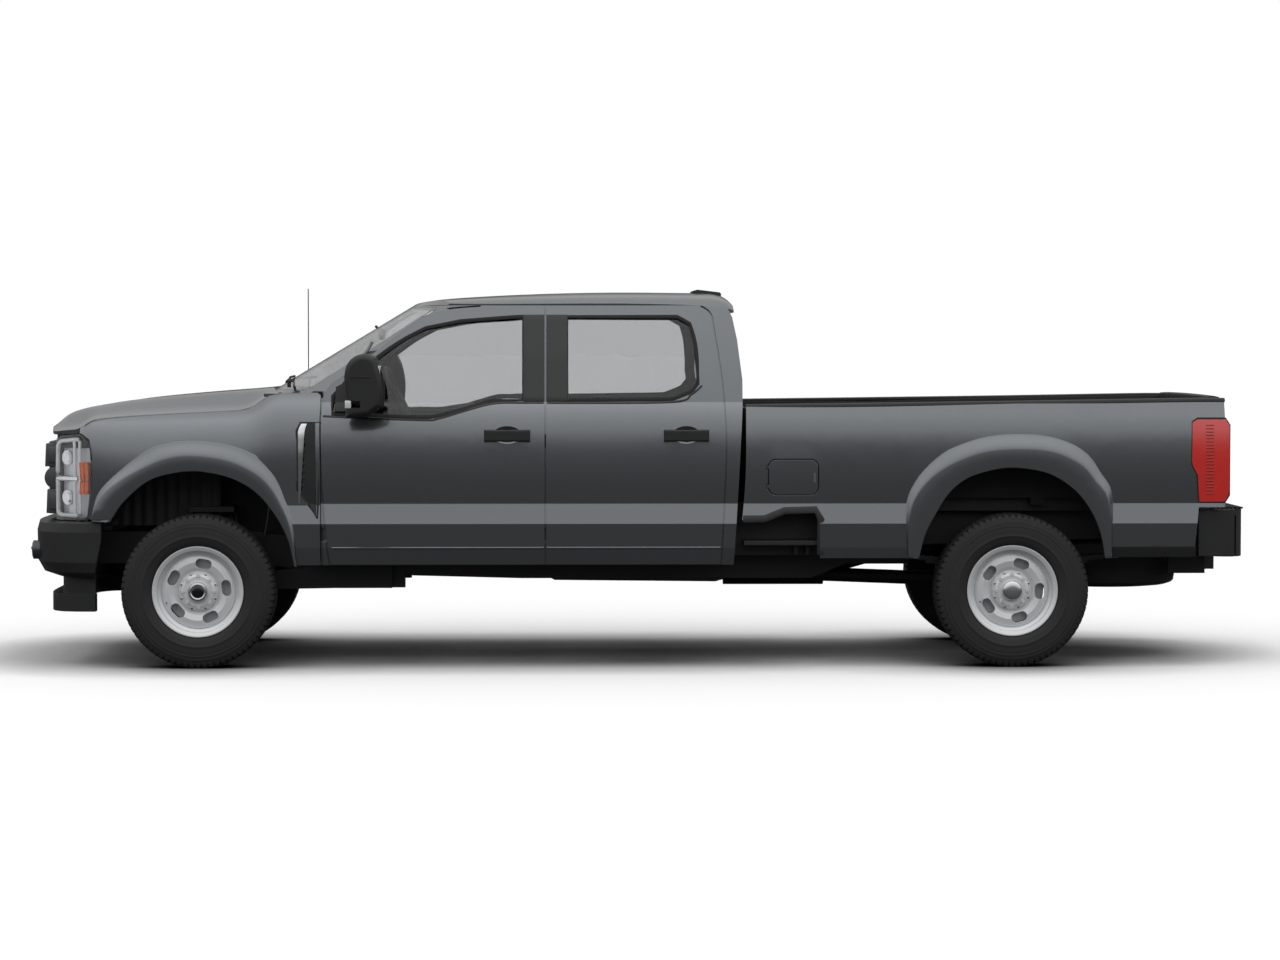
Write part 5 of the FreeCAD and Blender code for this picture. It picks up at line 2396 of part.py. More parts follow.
def fender_liner(fender):
    """Splash liner above the -Y front wheel, bent from many narrow flats."""
    arch = smooth(side_points(FRONT_ARCH_SHARES)).discretize(LINER_FACETS)
    outer = moved_out(arch, SHEET + LINER_DEPTH)
    inner = moved_out(arch, SHEET)
    liner = across(loop(outer + list(reversed(inner))), -LINER_SPAN[1], -LINER_SPAN[0])
    low = up(LINER_FOOT_SHARE)
    box = liner.BoundBox
    return largest(liner.common(block(box.XMin, box.XMax, -HALF_WIDTH, 0, low, HEIGHT)).cut(fender))


STOP_LAMP_SHARES = ((0.6100, 0.9860), (0.6120, 1.0040), (0.6180, 1.0075), (0.6470, 1.0000), (0.6480, 0.9780))
STOP_LAMP_HALF = 190.0


def stop_lamp():
    """Third brake lamp in its hooded housing at the roof's rear edge."""
    whole = across(loop(side_points(STOP_LAMP_SHARES)), -STOP_LAMP_HALF, STOP_LAMP_HALF)
    return whole.cut(roof_panel())


ANTENNA_SHARES = (0.1050, 1.0170)
ANTENNA_PLACE = 888.0
ANTENNA_RADIUS = 3.0
ANTENNA_BASE = 16.0
ANTENNA_CONE_SHARE = 1.6


def antenna(fender):
    """Mast on the right cowl, its base shaped to the fender below."""
    x = along(ANTENNA_SHARES[0])
    top = up(EDGE_LINE_SHARES[-1][1])
    foot = rod(ANTENNA_BASE, Point(x, ANTENNA_PLACE, top - ANTENNA_BASE * 2), Point(x, ANTENNA_PLACE, top))
    base = Part.makeCone(ANTENNA_BASE, ANTENNA_RADIUS, ANTENNA_BASE * ANTENNA_CONE_SHARE,
                         Point(x, ANTENNA_PLACE, top))
    mast = rod(ANTENNA_RADIUS, Point(x, ANTENNA_PLACE, top), Point(x, ANTENNA_PLACE, up(ANTENNA_SHARES[1])))
    whole = fused([foot, base, mast])
    near = fender.common(block(x - OVERRUN, x + OVERRUN, ANTENNA_PLACE - OVERRUN, ANTENNA_PLACE + OVERRUN,
                               0, HEIGHT))
    cut = whole.cut(near.translated(Point(0, 0, FIT))).cut(near)
    return max(cut.Solids, key=lambda solid: solid.BoundBox.ZMax)


def front_body():
    """Everything ahead of the cab."""
    fender = front_fender()
    save("front_fenders", Part.makeCompound([fender, mirrored(fender)]))
    vent = fender_vent()
    save("fender_vents", Part.makeCompound([vent, mirrored(vent)]))
    save("hood", hood())
    save("grille", grille())
    save("headlamps", headlamps())
    save("front_bumper", front_bumper())
    save("radiator_support", radiator_support())
    liner = fender_liner(fender)
    save("fender_liners", Part.makeCompound([liner, mirrored(liner)]))
    save("antenna", antenna(mirrored(fender)))


def bed():
    """The pickup bed and all that belongs to it."""
    save("bed_box", bed_box())
    left = bed_side()
    save("bed_sides", Part.makeCompound([fuel_cup(left), mirrored(left)]))
    lamp = taillamp()
    save("taillamps", Part.makeCompound([lamp, mirrored(lamp)]))
    save("tailgate", tailgate())
    save("fuel_door", fuel_door())
    save("rear_bumper", rear_bumper())
    step = bed_step()
    save("bed_steps", Part.makeCompound([step, mirrored(step)]))


def cabin():
    """Furniture inside the cab."""
    save("dashboard", dashboard())
    save("seats", seats())
    save("steering_wheel", steering_wheel())
    save("stop_lamp", stop_lamp())


chassis()
cab()
doors()
front_body()
bed()
cabin()
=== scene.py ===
"""Looks of a crew-cab, long-bed pickup truck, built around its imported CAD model.

The truck faces -X, its driver sits on the -Y side and +Z is up. All sizes are
in metres. A class stands for each sub-assembly and one frozen dataclass for
each finish.
"""
import json
import logging
import math
from dataclasses import dataclass, field
from enum import Enum
from typing import Callable, Sequence

import bmesh
import bpy
from mathutils import Matrix, Vector


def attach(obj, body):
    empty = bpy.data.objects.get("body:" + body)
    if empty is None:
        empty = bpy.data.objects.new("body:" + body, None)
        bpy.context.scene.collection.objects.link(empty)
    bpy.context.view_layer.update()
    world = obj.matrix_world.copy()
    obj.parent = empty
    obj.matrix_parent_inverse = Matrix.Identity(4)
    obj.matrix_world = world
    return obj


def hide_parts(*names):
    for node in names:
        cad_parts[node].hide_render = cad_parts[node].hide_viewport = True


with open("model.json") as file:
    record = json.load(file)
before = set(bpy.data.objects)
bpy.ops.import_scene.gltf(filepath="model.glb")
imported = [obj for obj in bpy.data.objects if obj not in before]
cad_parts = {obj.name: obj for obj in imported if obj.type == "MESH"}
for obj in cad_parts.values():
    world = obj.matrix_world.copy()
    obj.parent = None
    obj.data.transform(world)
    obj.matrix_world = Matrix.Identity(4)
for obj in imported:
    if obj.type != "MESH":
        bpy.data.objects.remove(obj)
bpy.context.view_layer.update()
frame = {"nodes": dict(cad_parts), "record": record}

log = logging.getLogger("pickup")

WHEELBASE = 4.470
HEIGHT = 2.070
HALF_WIDTH = 1.016
FRONT_AXLE_X = -2.400
TYRE_RADIUS = 0.421
MILLIMETRE = 0.001
HARD_ANGLE = math.radians(32)
AXIS_RADIUS = 0.0004
CURVE_STEPS = 12
MIRROR = Matrix.Scale(-1, 4, (0, 1, 0))

Point = tuple[float, float, float]
Spot = tuple[float, float]
Line = tuple[Spot, ...]


class Place(Enum):
    """A choice among places, written in small letters in the names of pieces."""

    def __str__(self) -> str:
        """Return the name as pieces and CAD nodes have it."""
        return self.name.lower()


class Side(Place):
    """The two sides of the truck, with the sign of Y on each."""

    LEFT = -1
    RIGHT = 1


class End(Place):
    """The two axles, with the place of each along the truck."""

    FRONT = FRONT_AXLE_X
    REAR = FRONT_AXLE_X + WHEELBASE


TRACKS: dict[End, float] = {End.FRONT: 1.735, End.REAR: 1.707}

# Reach of the cab's side, as shares of the half width, by height as shares of the roof height
CAB_SECTION: Line = (
    (0.2734, 0.9626), (0.3092, 0.9803), (0.3198, 0.9852), (0.3831, 0.9902), (0.4362, 0.9734),
    (0.5072, 0.9774), (0.5700, 0.9754), (0.6232, 0.9685), (0.6618, 0.9547), (0.6884, 0.9350),
    (0.7043, 0.9154), (0.8300, 0.8600), (0.9610, 0.7860))
BED_SECTION: Line = CAB_SECTION[:9] + ((0.6884, 0.9380), (0.7120, 0.9240))
# Edge and ridge of the hood in the side view, and how it rises from one to the other across the nose
HOOD_EDGE: Line = (
    (-0.1960, 0.6000), (-0.1900, 0.6090), (-0.1814, 0.6180), (-0.1680, 0.6260), (-0.1483, 0.6345),
    (-0.1295, 0.6570), (-0.0971, 0.6662), (-0.0481, 0.6729), (0.0011, 0.6783), (0.0557, 0.6850))
HOOD_RIDGE: Line = (
    (-0.1960, 0.6120), (-0.1900, 0.6340), (-0.1814, 0.6527), (-0.1680, 0.6730), (-0.1483, 0.6865),
    (-0.1295, 0.6940))
HOOD_RISE: Line = (
    (0.0, 0.92), (0.44, 1.0), (0.47, 0.985), (0.56, 0.78), (0.68, 0.34), (0.78, 0.10), (0.848, 0.0))


def along(share: float) -> float:
    """Place rearwards of the front axle, as a share of the wheelbase."""
    return FRONT_AXLE_X + WHEELBASE * share


def up(share: float) -> float:
    """Height above the ground, as a share of the roof height."""
    return HEIGHT * share


def out(share: float) -> float:
    """Distance from the middle plane, as a share of the half width."""
    return HALF_WIDTH * share


def even(start: float, stop: float, parts: int) -> list[float]:
    """Evenly spaced values from start to stop."""
    return [start + (stop - start) * step / parts for step in range(parts + 1)]


def turns(count: int, first: float = 0.0) -> list[float]:
    """Even angles round a circle, the first one a share of a step on."""
    return [2 * math.pi * (step + first) / count for step in range(count)]


def wheel_centre(end: End, side: Side) -> Point:
    """Middle of a wheel."""
    return end.value, side.value * TRACKS[end] / 2, TYRE_RADIUS


def across_table(table: Sequence[Spot], place: float) -> float:
    """Read a two-column table, straight between its rows and level beyond them.

    Args:
        table: Pairs of place and value.
        place: Place to read it at.

    Returns:
        The value there.
    """
    rows = sorted(table)
    if place <= rows[0][0]:
        return rows[0][1]
    for (x0, y0), (x1, y1) in zip(rows, rows[1:]):
        if place <= x1:
            return y0 + (y1 - y0) * (place - x0) / max(x1 - x0, 1e-9)
    return rows[-1][1]


def at_height(line: Sequence[Spot], z: float) -> float:
    """Place along a rising side-view line at a height."""
    return across_table([(height, x) for x, height in line], z)


def cab_side(z: float) -> float:
    """Reach of the cab's side at a height."""
    return out(across_table(CAB_SECTION, z / HEIGHT))


def bed_side(z: float) -> float:
    """Reach of the bed's side at a height."""
    return out(across_table(BED_SECTION, z / HEIGHT))


def from_shares(*pairs: Spot) -> list[Spot]:
    """Side-view points from shares of the wheelbase and of the roof height."""
    return [(along(x), up(z)) for x, z in pairs]


def from_millimetres(*pairs: Spot) -> list[Spot]:
    """Side-view points from millimetres behind the front axle and above the ground."""
    return [(FRONT_AXLE_X + x * MILLIMETRE, z * MILLIMETRE) for x, z in pairs]


def smooth_run(points: Sequence[Spot], steps: int = 6) -> list[Spot]:
    """Smooth curve through side-view points.

    Args:
        points: Points that the curve goes through.
        steps: Number of parts between two points.

    Returns:
        The points of the curve.
    """
    if len(points) < 3:
        return list(points)
    ends = [points[0], *points, points[-1]]
    curve = []
    for spots in zip(ends, ends[1:], ends[2:], ends[3:]):
        for t in even(0.0, 1.0, steps)[:-1]:
            curve.append(tuple(
                0.5 * (2 * b + (c - a) * t + (2 * a - 5 * b + 4 * c - d) * t * t
                       + (3 * b - a - 3 * c + d) * t ** 3) for a, b, c, d in zip(*spots)))
    return curve + [points[-1]]


def resampled(points: Sequence[Spot], steps: int) -> list[Spot]:
    """Space points evenly along the smooth curve through side-view points.

    Args:
        points: Points that the curve goes through.
        steps: Number of parts of the curve.

    Returns:
        The points between and at the ends of the parts.
    """
    curve = smooth_run(points, CURVE_STEPS)
    lengths = [0.0]
    for (x0, z0), (x1, z1) in zip(curve, curve[1:]):
        lengths.append(lengths[-1] + math.hypot(x1 - x0, z1 - z0))
    columns = [list(zip(lengths, column)) for column in zip(*curve)]
    return [(across_table(columns[0], place), across_table(columns[1], place))
            for place in even(0.0, lengths[-1], steps)]


def linear(hex_colour: str) -> tuple[float, float, float, float]:
    """Turn an sRGB hex colour into linear light.

    Args:
        hex_colour: A hash sign and six hex digits.

    Returns:
        Linear red, green and blue, and an alpha of 1.
    """
    parts = [int(hex_colour[start:start + 2], 16) / 255 for start in (1, 3, 5)]
    red, green, blue = [v / 12.92 if v <= 0.04045 else ((v + 0.055) / 1.055) ** 2.4 for v in parts]
    return red, green, blue, 1.0


def add(tree: bpy.types.NodeTree, kind: str, settings: dict | None = None,
        links: dict | None = None) -> bpy.types.Node:
    """Add one node with its settings and its incoming links.

    Args:
        tree: Tree that gets the node.
        kind: Node type name.
        settings: Values by socket name or number, or by attribute name where no socket has it.
        links: Output sockets of other nodes by the input they feed.

    Returns:
        The new node.
    """
    made = tree.nodes.new(kind)
    for key, value in (settings or {}).items():
        if isinstance(key, str) and key not in made.inputs:
            setattr(made, key, value)
    for key, value in (settings or {}).items():
        if isinstance(key, int) or key in made.inputs:
            made.inputs[key].default_value = value
    for key, socket in (links or {}).items():
        tree.links.new(socket, made.inputs[key])
    return made


@dataclass(frozen=True)
class Finish:
    """One surface finish: an even shader with a grain that breaks up its gloss.

    The grain is a noise of a real size that moves the roughness and the
    normal a little; the mottle is a slower change of colour.
    """

    name: str
    slot: str
    colour: str
    roughness: float
    metallic: float = 0.0
    coat: float = 0.0
    coat_roughness: float = 0.03
    sheen: float = 0.0
    grain: float = 0.002
    grain_depth: float = 0.0
    gloss_change: float = 0.06
    mottle: str = ""
    mottle_size: float = 0.15
    edge_radius: float = 0.0

    def material(self) -> bpy.types.Material:
        """Return the material of this finish, made on its first use."""
        made = bpy.data.materials.get(self.name)
        if made is None:
            made = bpy.data.materials.new(self.name)
            made.use_nodes = True
            tree = made.node_tree
            shader = tree.nodes["Principled BSDF"]
            for socket, value in (("Base Color", linear(self.colour)), ("Metallic", self.metallic),
                                  ("Roughness", self.roughness), ("Coat Weight", self.coat),
                                  ("Coat Roughness", self.coat_roughness), ("Sheen Weight", self.sheen)):
                shader.inputs[socket].default_value = value
            self.dress(tree, shader, add(tree, "ShaderNodeTexCoord").outputs["Object"])
        return made

    def dress(self, tree: bpy.types.NodeTree, shader: bpy.types.Node, place: bpy.types.NodeSocket) -> None:
        """Add grain, mottle and softened edges.

        Args:
            tree: Tree of the material.
            shader: Its shader.
            place: Its object coordinates.
        """
        fine = add(tree, "ShaderNodeTexNoise", {"Scale": 1 / self.grain, "Detail": 2.0, "Roughness": 0.6},
                   {"Vector": place})
        gloss = add(tree, "ShaderNodeMapRange", {"To Min": self.roughness - self.gloss_change,
                                                 "To Max": self.roughness + self.gloss_change},
                    {"Value": fine.outputs[0]})
        tree.links.new(gloss.outputs[0], shader.inputs["Roughness"])
        if self.mottle:
            slow = add(tree, "ShaderNodeTexNoise", {"Scale": 1 / self.mottle_size, "Detail": 3.0},
                       {"Vector": place})
            blend = add(tree, "ShaderNodeMix", {"data_type": "RGBA", 6: linear(self.colour),
                                                7: linear(self.mottle)}, {0: slow.outputs[0]})
            tree.links.new(blend.outputs[2], shader.inputs["Base Color"])
        normal = {}
        if self.edge_radius:
            edge = add(tree, "ShaderNodeBevel", {"samples": 4, "Radius": self.edge_radius})
            normal = {"Normal": edge.outputs[0]}
        if self.grain_depth:
            bump = add(tree, "ShaderNodeBump", {"Strength": 1.0, "Distance": self.grain_depth},
                       {"Height": fine.outputs[0], **normal})
            normal = {"Normal": bump.outputs[0]}
        for key, socket in normal.items():
            tree.links.new(socket, shader.inputs[key])


@dataclass(frozen=True)
class MetallicPaint(Finish):
    """Basecoat with aluminium flake under clearcoat.

    The flake turns light up where a panel leans back and leaves it dark where
    it stands upright, and the clearcoat adds a thin sharp reflection.
    """

    flake: float = 0.0009
    flake_tones: tuple[float, float] = (0.82, 1.18)

    def dress(self, tree: bpy.types.NodeTree, shader: bpy.types.Node, place: bpy.types.NodeSocket) -> None:
        """Add the flakes, a cell noise that changes the tone of the base.

        Args:
            tree: Tree of the material.
            shader: Its shader.
            place: Its object coordinates.
        """
        super().dress(tree, shader, place)
        cells = add(tree, "ShaderNodeTexVoronoi", {"Scale": 1 / self.flake}, {"Vector": place})
        low, high = self.flake_tones
        tone = add(tree, "ShaderNodeMapRange", {"To Min": low, "To Max": high},
                   {"Value": cells.outputs["Color"]})
        tint = add(tree, "ShaderNodeMix", {"data_type": "RGBA", "blend_type": "MULTIPLY", 0: 1.0,
                                           6: linear(self.colour)}, {7: tone.outputs[0]})
        tree.links.new(tint.outputs[2], shader.inputs["Base Color"])


@dataclass(frozen=True)
class Glazing(Finish):
    """Clear or tinted glass and clear moulded lenses.

    Light passes with the tint of the colour, and a sharp reflection lies on
    the face.
    """

    ior: float = 1.45
    clear: float = 1.0

    def dress(self, tree: bpy.types.NodeTree, shader: bpy.types.Node, place: bpy.types.NodeSocket) -> None:
        """Let light through and haze the face a little.

        Args:
            tree: Tree of the material.
            shader: Its shader.
            place: Its object coordinates.
        """
        shader.inputs["IOR"].default_value = self.ior
        shader.inputs["Transmission Weight"].default_value = self.clear
        haze = add(tree, "ShaderNodeTexNoise", {"Scale": 1 / self.grain, "Detail": 2.0}, {"Vector": place})
        gloss = add(tree, "ShaderNodeMapRange", {"To Min": self.roughness,
                                                 "To Max": self.roughness + self.gloss_change},
                    {"Value": haze.outputs[0]})
        tree.links.new(gloss.outputs[0], shader.inputs["Roughness"])


# Light from a bright sky turns up in the flakes of a panel that leans back; the upright doors stay dark.
# The flakes are drawn coarser than real ones, so that they show
PAINT = MetallicPaint("Basecoat_clearcoat_carbonised_grey", "body_paint", "#6b6f73", 0.23, metallic=0.85,
                      coat=1.0, gloss_change=0.02, edge_radius=0.004)
# Moulded rubber: dull, a little browned and greyed by use
RUBBER = Finish("Tyre_rubber_moulded", "tyre", "#1e1e1f", 0.72, grain=0.0025, grain_depth=0.0002,
                mottle="#262626")
# Sprayed enamel over pressed steel: soft bright faces with fine metal flake
WHEEL_PAINT = Finish("Silver_enamel_on_pressed_steel", "wheel_steel", "#dfe1e3", 0.38, metallic=0.25,
                     coat=0.4, grain=0.001, edge_radius=0.005)
# Polished hub cap metal: sharper and brighter than the wheel's enamel
WHEEL_BRIGHT = Finish("Stainless_steel_brushed", "wheel_steel", "#c9cbcd", 0.22, metallic=1.0, grain=0.0012)
# Waxed frame steel: black, uneven, with a low greasy shine
CHASSIS = Finish("Black_wax_on_chassis_steel", "chassis_black", "#171718", 0.5, grain=0.006,
                 grain_depth=0.0006, mottle="#1f1f20", edge_radius=0.004)
# Bare castings: rough grey iron with a brown bloom
CAST = Finish("Cast_iron_bare", "cast_metal", "#3a3a3b", 0.6, metallic=0.6, grain=0.003, grain_depth=0.0006,
              mottle="#2b2a29")
# Rolled aluminium: bright and slightly streaked
ALUMINIUM = Finish("Aluminium_mill", "aluminium", "#8d8f91", 0.35, metallic=1.0, grain=0.002)
# Chromed plastic: mirror-like, with hardly any haze
CHROME = Finish("Chrome_plated_plastic", "aluminium", "#d4d6d8", 0.08, metallic=1.0, gloss_change=0.02,
                grain=0.004)
# Grained polypropylene: black with a soft even sheen on its edges
PLASTIC = Finish("Polypropylene_grained_black", "black_plastic", "#1b1c1d", 0.48, grain=0.0012,
                 grain_depth=0.00008, mottle="#1f2021", edge_radius=0.006)
# Polished mouldings: black with a clear reflection
PLASTIC_GLOSS = Finish("ABS_polished_black", "black_plastic", "#141415", 0.16, gloss_change=0.03, grain=0.003)
# Satin film on the door pillars: dark grey rather than black, with a broad sheen
PILLAR_BLACK = Finish("Satin_film_black", "black_plastic", "#2a2b2c", 0.36, grain=0.002)
# Window seals: matt rubber that takes no reflection
SEAL = Finish("EPDM_rubber_seal", "black_plastic", "#141414", 0.68, grain=0.0015, grain_depth=0.00006)
# Grille moulding: dark grey, satin, lit on its edges
GRILLE_PLASTIC = Finish("ABS_dark_grey_satin", "grille_plastic", "#46474a", 0.38, grain=0.0015,
                        edge_radius=0.005)
# Screen behind the grille: nearly black
MESH_BLACK = Finish("Moulded_mesh_black", "black_plastic", "#0e0e0f", 0.6, grain=0.002)
# Laminated and tempered glass: a faint grey tint
GLASS = Glazing("Safety_glass_tinted", "window_glass", "#cfd0d1", 0.0, gloss_change=0.01)
# Clear lens moulding over the lamp
LENS = Glazing("Polycarbonate_lens_clear", "lamp_lens", "#f4f5f6", 0.0, gloss_change=0.01)
# White diffusing lens of the small lamps
LENS_WHITE = Finish("Acrylic_lens_white", "lamp_lens", "#d4d6d8", 0.14, coat=1.0, grain=0.003)
# Milky light guides behind the headlamp lens
LIGHT_GUIDE = Finish("Acrylic_light_guide_white", "lamp_lens", "#e4e6e8", 0.20, coat=0.6, grain=0.002)
# Amber marker lens
AMBER = Finish("Acrylic_lens_amber", "lamp_lens", "#d8641c", 0.15, coat=1.0, grain=0.003)
# Black lamp housing with a metallised sheen
LAMP_HOUSING = Finish("Metallised_lamp_housing", "black_plastic", "#4a4c4f", 0.26, metallic=0.6, grain=0.003)
# White metallised reflector seen through the clear lens
LAMP_REFLECTOR = Finish("Metallised_lamp_reflector", "lamp_lens", "#d9dcde", 0.30, metallic=0.2, grain=0.003)
# Red moulded lens, saturated and glossy
RED_LENS = Finish("Acrylic_lens_red", "tail_lens", "#e0322b", 0.12, coat=1.0, grain=0.004, mottle="#cc2a25",
                  mottle_size=0.05)
# Deeper red of the lens flutes
RED_DARK = Finish("Acrylic_lens_deep_red", "tail_lens", "#8f1714", 0.14, coat=1.0, grain=0.003)
# Blank number plate
PLATE_WHITE = Finish("Painted_plate_blank", "black_plastic", "#c9cacb", 0.45, grain=0.002)
# Silvered glass of the door mirrors
MIRROR_GLASS = Finish("Silvered_mirror_glass", "window_glass", "#dfe1e2", 0.03, metallic=1.0,
                      gloss_change=0.01)
# Grained cabin mouldings: matt dark grey
CABIN = Finish("Soft_touch_plastic_dark_grey", "cabin_plastic", "#3a3b3e", 0.6, grain=0.0015,
               grain_depth=0.0001)
# Lighter grey of the grab handles
CABIN_LIGHT = Finish("Moulded_plastic_light_grey", "cabin_plastic", "#8f9092", 0.5, grain=0.0015)
# Woven cloth with a soft sheen at grazing angles
CLOTH = Finish("Woven_seat_cloth", "seat_cloth", "#45464a", 0.85, sheen=0.3, grain=0.0012, grain_depth=0.0002)
# Sprayed bed coating: coarse pebbled black
LINER = Finish("Sprayed_bed_coating", "bed_liner", "#1f2021", 0.75, grain=0.003, grain_depth=0.0008,
               mottle="#262728")

SLOT_FINISHES: dict[str, Finish] = {finish.slot: finish for finish in (
    RUBBER, WHEEL_PAINT, CHASSIS, CAST, ALUMINIUM, PAINT, PLASTIC, GRILLE_PLASTIC, GLASS, LENS, RED_LENS,
    CABIN, CLOTH, LINER)}
NODE_FINISHES: dict[str, Finish] = {"stop_lamp": PILLAR_BLACK}


def dress_cad_nodes() -> None:
    """Give every carried-over CAD node the finish of its slot."""
    for part in frame["record"]["subparts"]:
        finish = NODE_FINISHES.get(part["node"], SLOT_FINISHES[part["material_slot"]])
        for slot in frame["nodes"][part["node"]].material_slots:
            slot.material = finish.material()
        log.info("dressed %s with %s", part["node"], finish.name)


@dataclass
class Form:
    """Mesh gathered from simple shapes, which then becomes one piece.

    A moulding's section has its shoulder at one share of its rise and its
    crown at one share of its half width.
    """

    name: str
    mesh: bmesh.types.BMesh = field(default_factory=bmesh.new)
    shoulder: float = 0.35
    crown: float = 0.55

    def skin(self, rows: Sequence[Sequence[Point]], looped: bool = False) -> "Form":
        """Join closed rows of points with faces.

        Args:
            rows: Rows with the same number of points each.
            looped: Whether the last row joins the first one; otherwise both ends are closed.

        Returns:
            The form.
        """
        made = [[self.mesh.verts.new(point) for point in row] for row in rows]
        for near, far in zip(made, made[1:] + made[:1] if looped else made[1:]):
            for here in range(len(near)):
                after = (here + 1) % len(near)
                self.mesh.faces.new((near[here], near[after], far[after], far[here]))
        if not looped:
            self.mesh.faces.new(made[0][::-1])
            self.mesh.faces.new(made[-1])
        return self

    def block(self, low: Point, high: Point) -> "Form":
        """Add a box between two corners."""
        (x0, y0, z0), (x1, y1, z1) = low, high
        return self.skin([[(x, y0, z0), (x, y1, z0), (x, y1, z1), (x, y0, z1)] for x in (x0, x1)])

    def prism(self, outline: Sequence[Spot], start: float, end: float) -> "Form":
        """Add a side-view outline drawn out between two places across the truck."""
        return self.skin([[(x, y, z) for x, z in outline] for y in (start, end)])

    def tube(self, line: Sequence[Point], radius: float, sides: int = 12) -> "Form":
        """Add a round bar along a line.

        Args:
            line: Points of its middle line.
            radius: Its radius.
            sides: Number of flats round it.

        Returns:
            The form.
        """
        points = [Vector(point) for point in line]
        rows = []
        for before, here, after in zip(points[:1] + points, points, points[1:] + points[-1:]):
            basis = (after - before).to_track_quat("Z", "Y").to_matrix()
            rows.append([here + basis @ Vector((math.cos(turn), math.sin(turn), 0)) * radius
                         for turn in turns(sides)])
        return self.skin(rows)

    def lathe(self, profile: Sequence[Spot], centre: Point, outward: float, steps: int = 96) -> "Form":
        """Turn a closed profile about a wheel's axle.

        Args:
            profile: Pairs of reach outwards and radius.
            centre: Middle of the wheel.
            outward: Sign of the outward way.
            steps: Number of copies of the profile round the axle.

        Returns:
            The form.
        """
        x, y, z = centre
        return self.skin([[(x + radius * math.cos(turn), y + outward * reach, z + radius * math.sin(turn))
                           for reach, radius in profile] for turn in turns(steps)], looped=True)

    def strip(self, path: Sequence[Spot], half: float, rise: float, sink: float,
              surface: Callable[[float], float], closed: bool = False) -> "Form":
        """Lay a rounded moulding along a path on the left body side.

        Args:
            path: Side-view points of its middle line.
            half: Half its width.
            rise: How far it stands out of the body.
            sink: How far it goes into the body.
            surface: Reach of the body side at a height.
            closed: Whether the path joins up.

        Returns:
            The form.
        """
        near, low = half * self.crown, rise * self.shoulder
        section = ((-half, -sink), (-half, low), (-near, rise), (near, rise), (half, low), (half, -sink))
        befores = [path[-1] if closed else path[0], *path]
        afters = [*path[1:], path[0] if closed else path[-1]]
        rows = []
        for before, (x, z), after in zip(befores, path, afters):
            way = Vector((after[0] - before[0], after[1] - before[1])).normalized()
            spots = [(x - way.y * offset, z + way.x * offset, proud) for offset, proud in section]
            rows.append([(px, -(surface(pz) + proud), pz) for px, pz, proud in spots])
        return self.skin(rows, looped=closed)

    def patch(self, fore: Sequence[Spot], aft: Sequence[Spot], rise: float, sink: float,
              surface: Callable[[float], float], steps: int = 16) -> "Form":
        """Lay a plate on the left body side between two rising lines.

        Args:
            fore: Points up its front edge.
            aft: Points up its rear edge, over the same heights.
            rise: How far it stands out of the body.
            sink: How far it goes into the body.
            surface: Reach of the body side at a height.
            steps: Number of levels less one.

        Returns:
            The form.
        """
        rows = []
        for z in even(fore[0][1], fore[-1][1], steps):
            x0, x1 = at_height(fore, z), at_height(aft, z)
            outer, inner = -(surface(z) + rise), -(surface(z) - sink)
            rows.append([(x0, inner, z), (x0, outer, z), (x1, outer, z), (x1, inner, z)])
        return self.skin(rows)

    def soften(self, radius: float, segments: int = 2) -> "Form":
        """Round every hard edge.

        Args:
            radius: Radius of the rounding.
            segments: Number of flats across it.

        Returns:
            The form.
        """
        bmesh.ops.recalc_face_normals(self.mesh, faces=self.mesh.faces[:])
        hard = [edge for edge in self.mesh.edges if edge.is_manifold and edge.calc_face_angle() > HARD_ANGLE]
        bmesh.ops.bevel(self.mesh, geom=hard, offset=radius, segments=segments, profile=0.5,
                        affect="EDGES", clamp_overlap=True)
        return self

    def flip(self, side: Side) -> "Form":
        """Mirror the form onto its side of the truck.

        Args:
            side: The side.

        Returns:
            The form.
        """
        if side is Side.RIGHT:
            bmesh.ops.transform(self.mesh, matrix=MIRROR, verts=self.mesh.verts)
        return self

    def double(self) -> "Form":
        """Add a mirrored copy on the other side of the truck.

        Returns:
            The form.
        """
        mesh = self.mesh
        copy = bmesh.ops.duplicate(mesh, geom=mesh.verts[:] + mesh.edges[:] + mesh.faces[:])
        verts = [item for item in copy["geom"] if isinstance(item, bmesh.types.BMVert)]
        bmesh.ops.transform(mesh, matrix=MIRROR, verts=verts)
        return self

    def data(self) -> bpy.types.Mesh:
        """Return the finished mesh with its faces outwards and its shading smooth."""
        bmesh.ops.recalc_face_normals(self.mesh, faces=self.mesh.faces[:])
        made = bpy.data.meshes.new(self.name)
        self.mesh.to_mesh(made)
        self.mesh.free()
        made.shade_smooth()
        made.set_sharp_from_angle(angle=HARD_ANGLE)
        return made

    def piece(self, finish: Finish, body: str = "body", replaces: Sequence[str] = ()) -> bpy.types.Object:
        """Put the form into the scene as one piece.

        Args:
            finish: Its finish.
            body: CAD body it rides on.
            replaces: CAD nodes it stands for.

        Returns:
            The new object.
        """
        data = self.data()
        data.materials.append(finish.material())
        return place_piece(data, self.name, body, replaces)


def place_piece(data: bpy.types.Mesh, name: str, body: str,
                replaces: Sequence[str] = ()) -> bpy.types.Object:
    """Link a mesh as a piece.

    Args:
        data: The mesh.
        name: Name of the piece.
        body: CAD body it rides on.
        replaces: CAD nodes it stands for.

    Returns:
        The new object.
    """
    made = bpy.data.objects.new(name, data)
    bpy.context.scene.collection.objects.link(made)
    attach(made, body)
    if replaces:
        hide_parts(*replaces)
    log.info("%s: %d faces on %s", name, len(data.polygons), body)
    return made


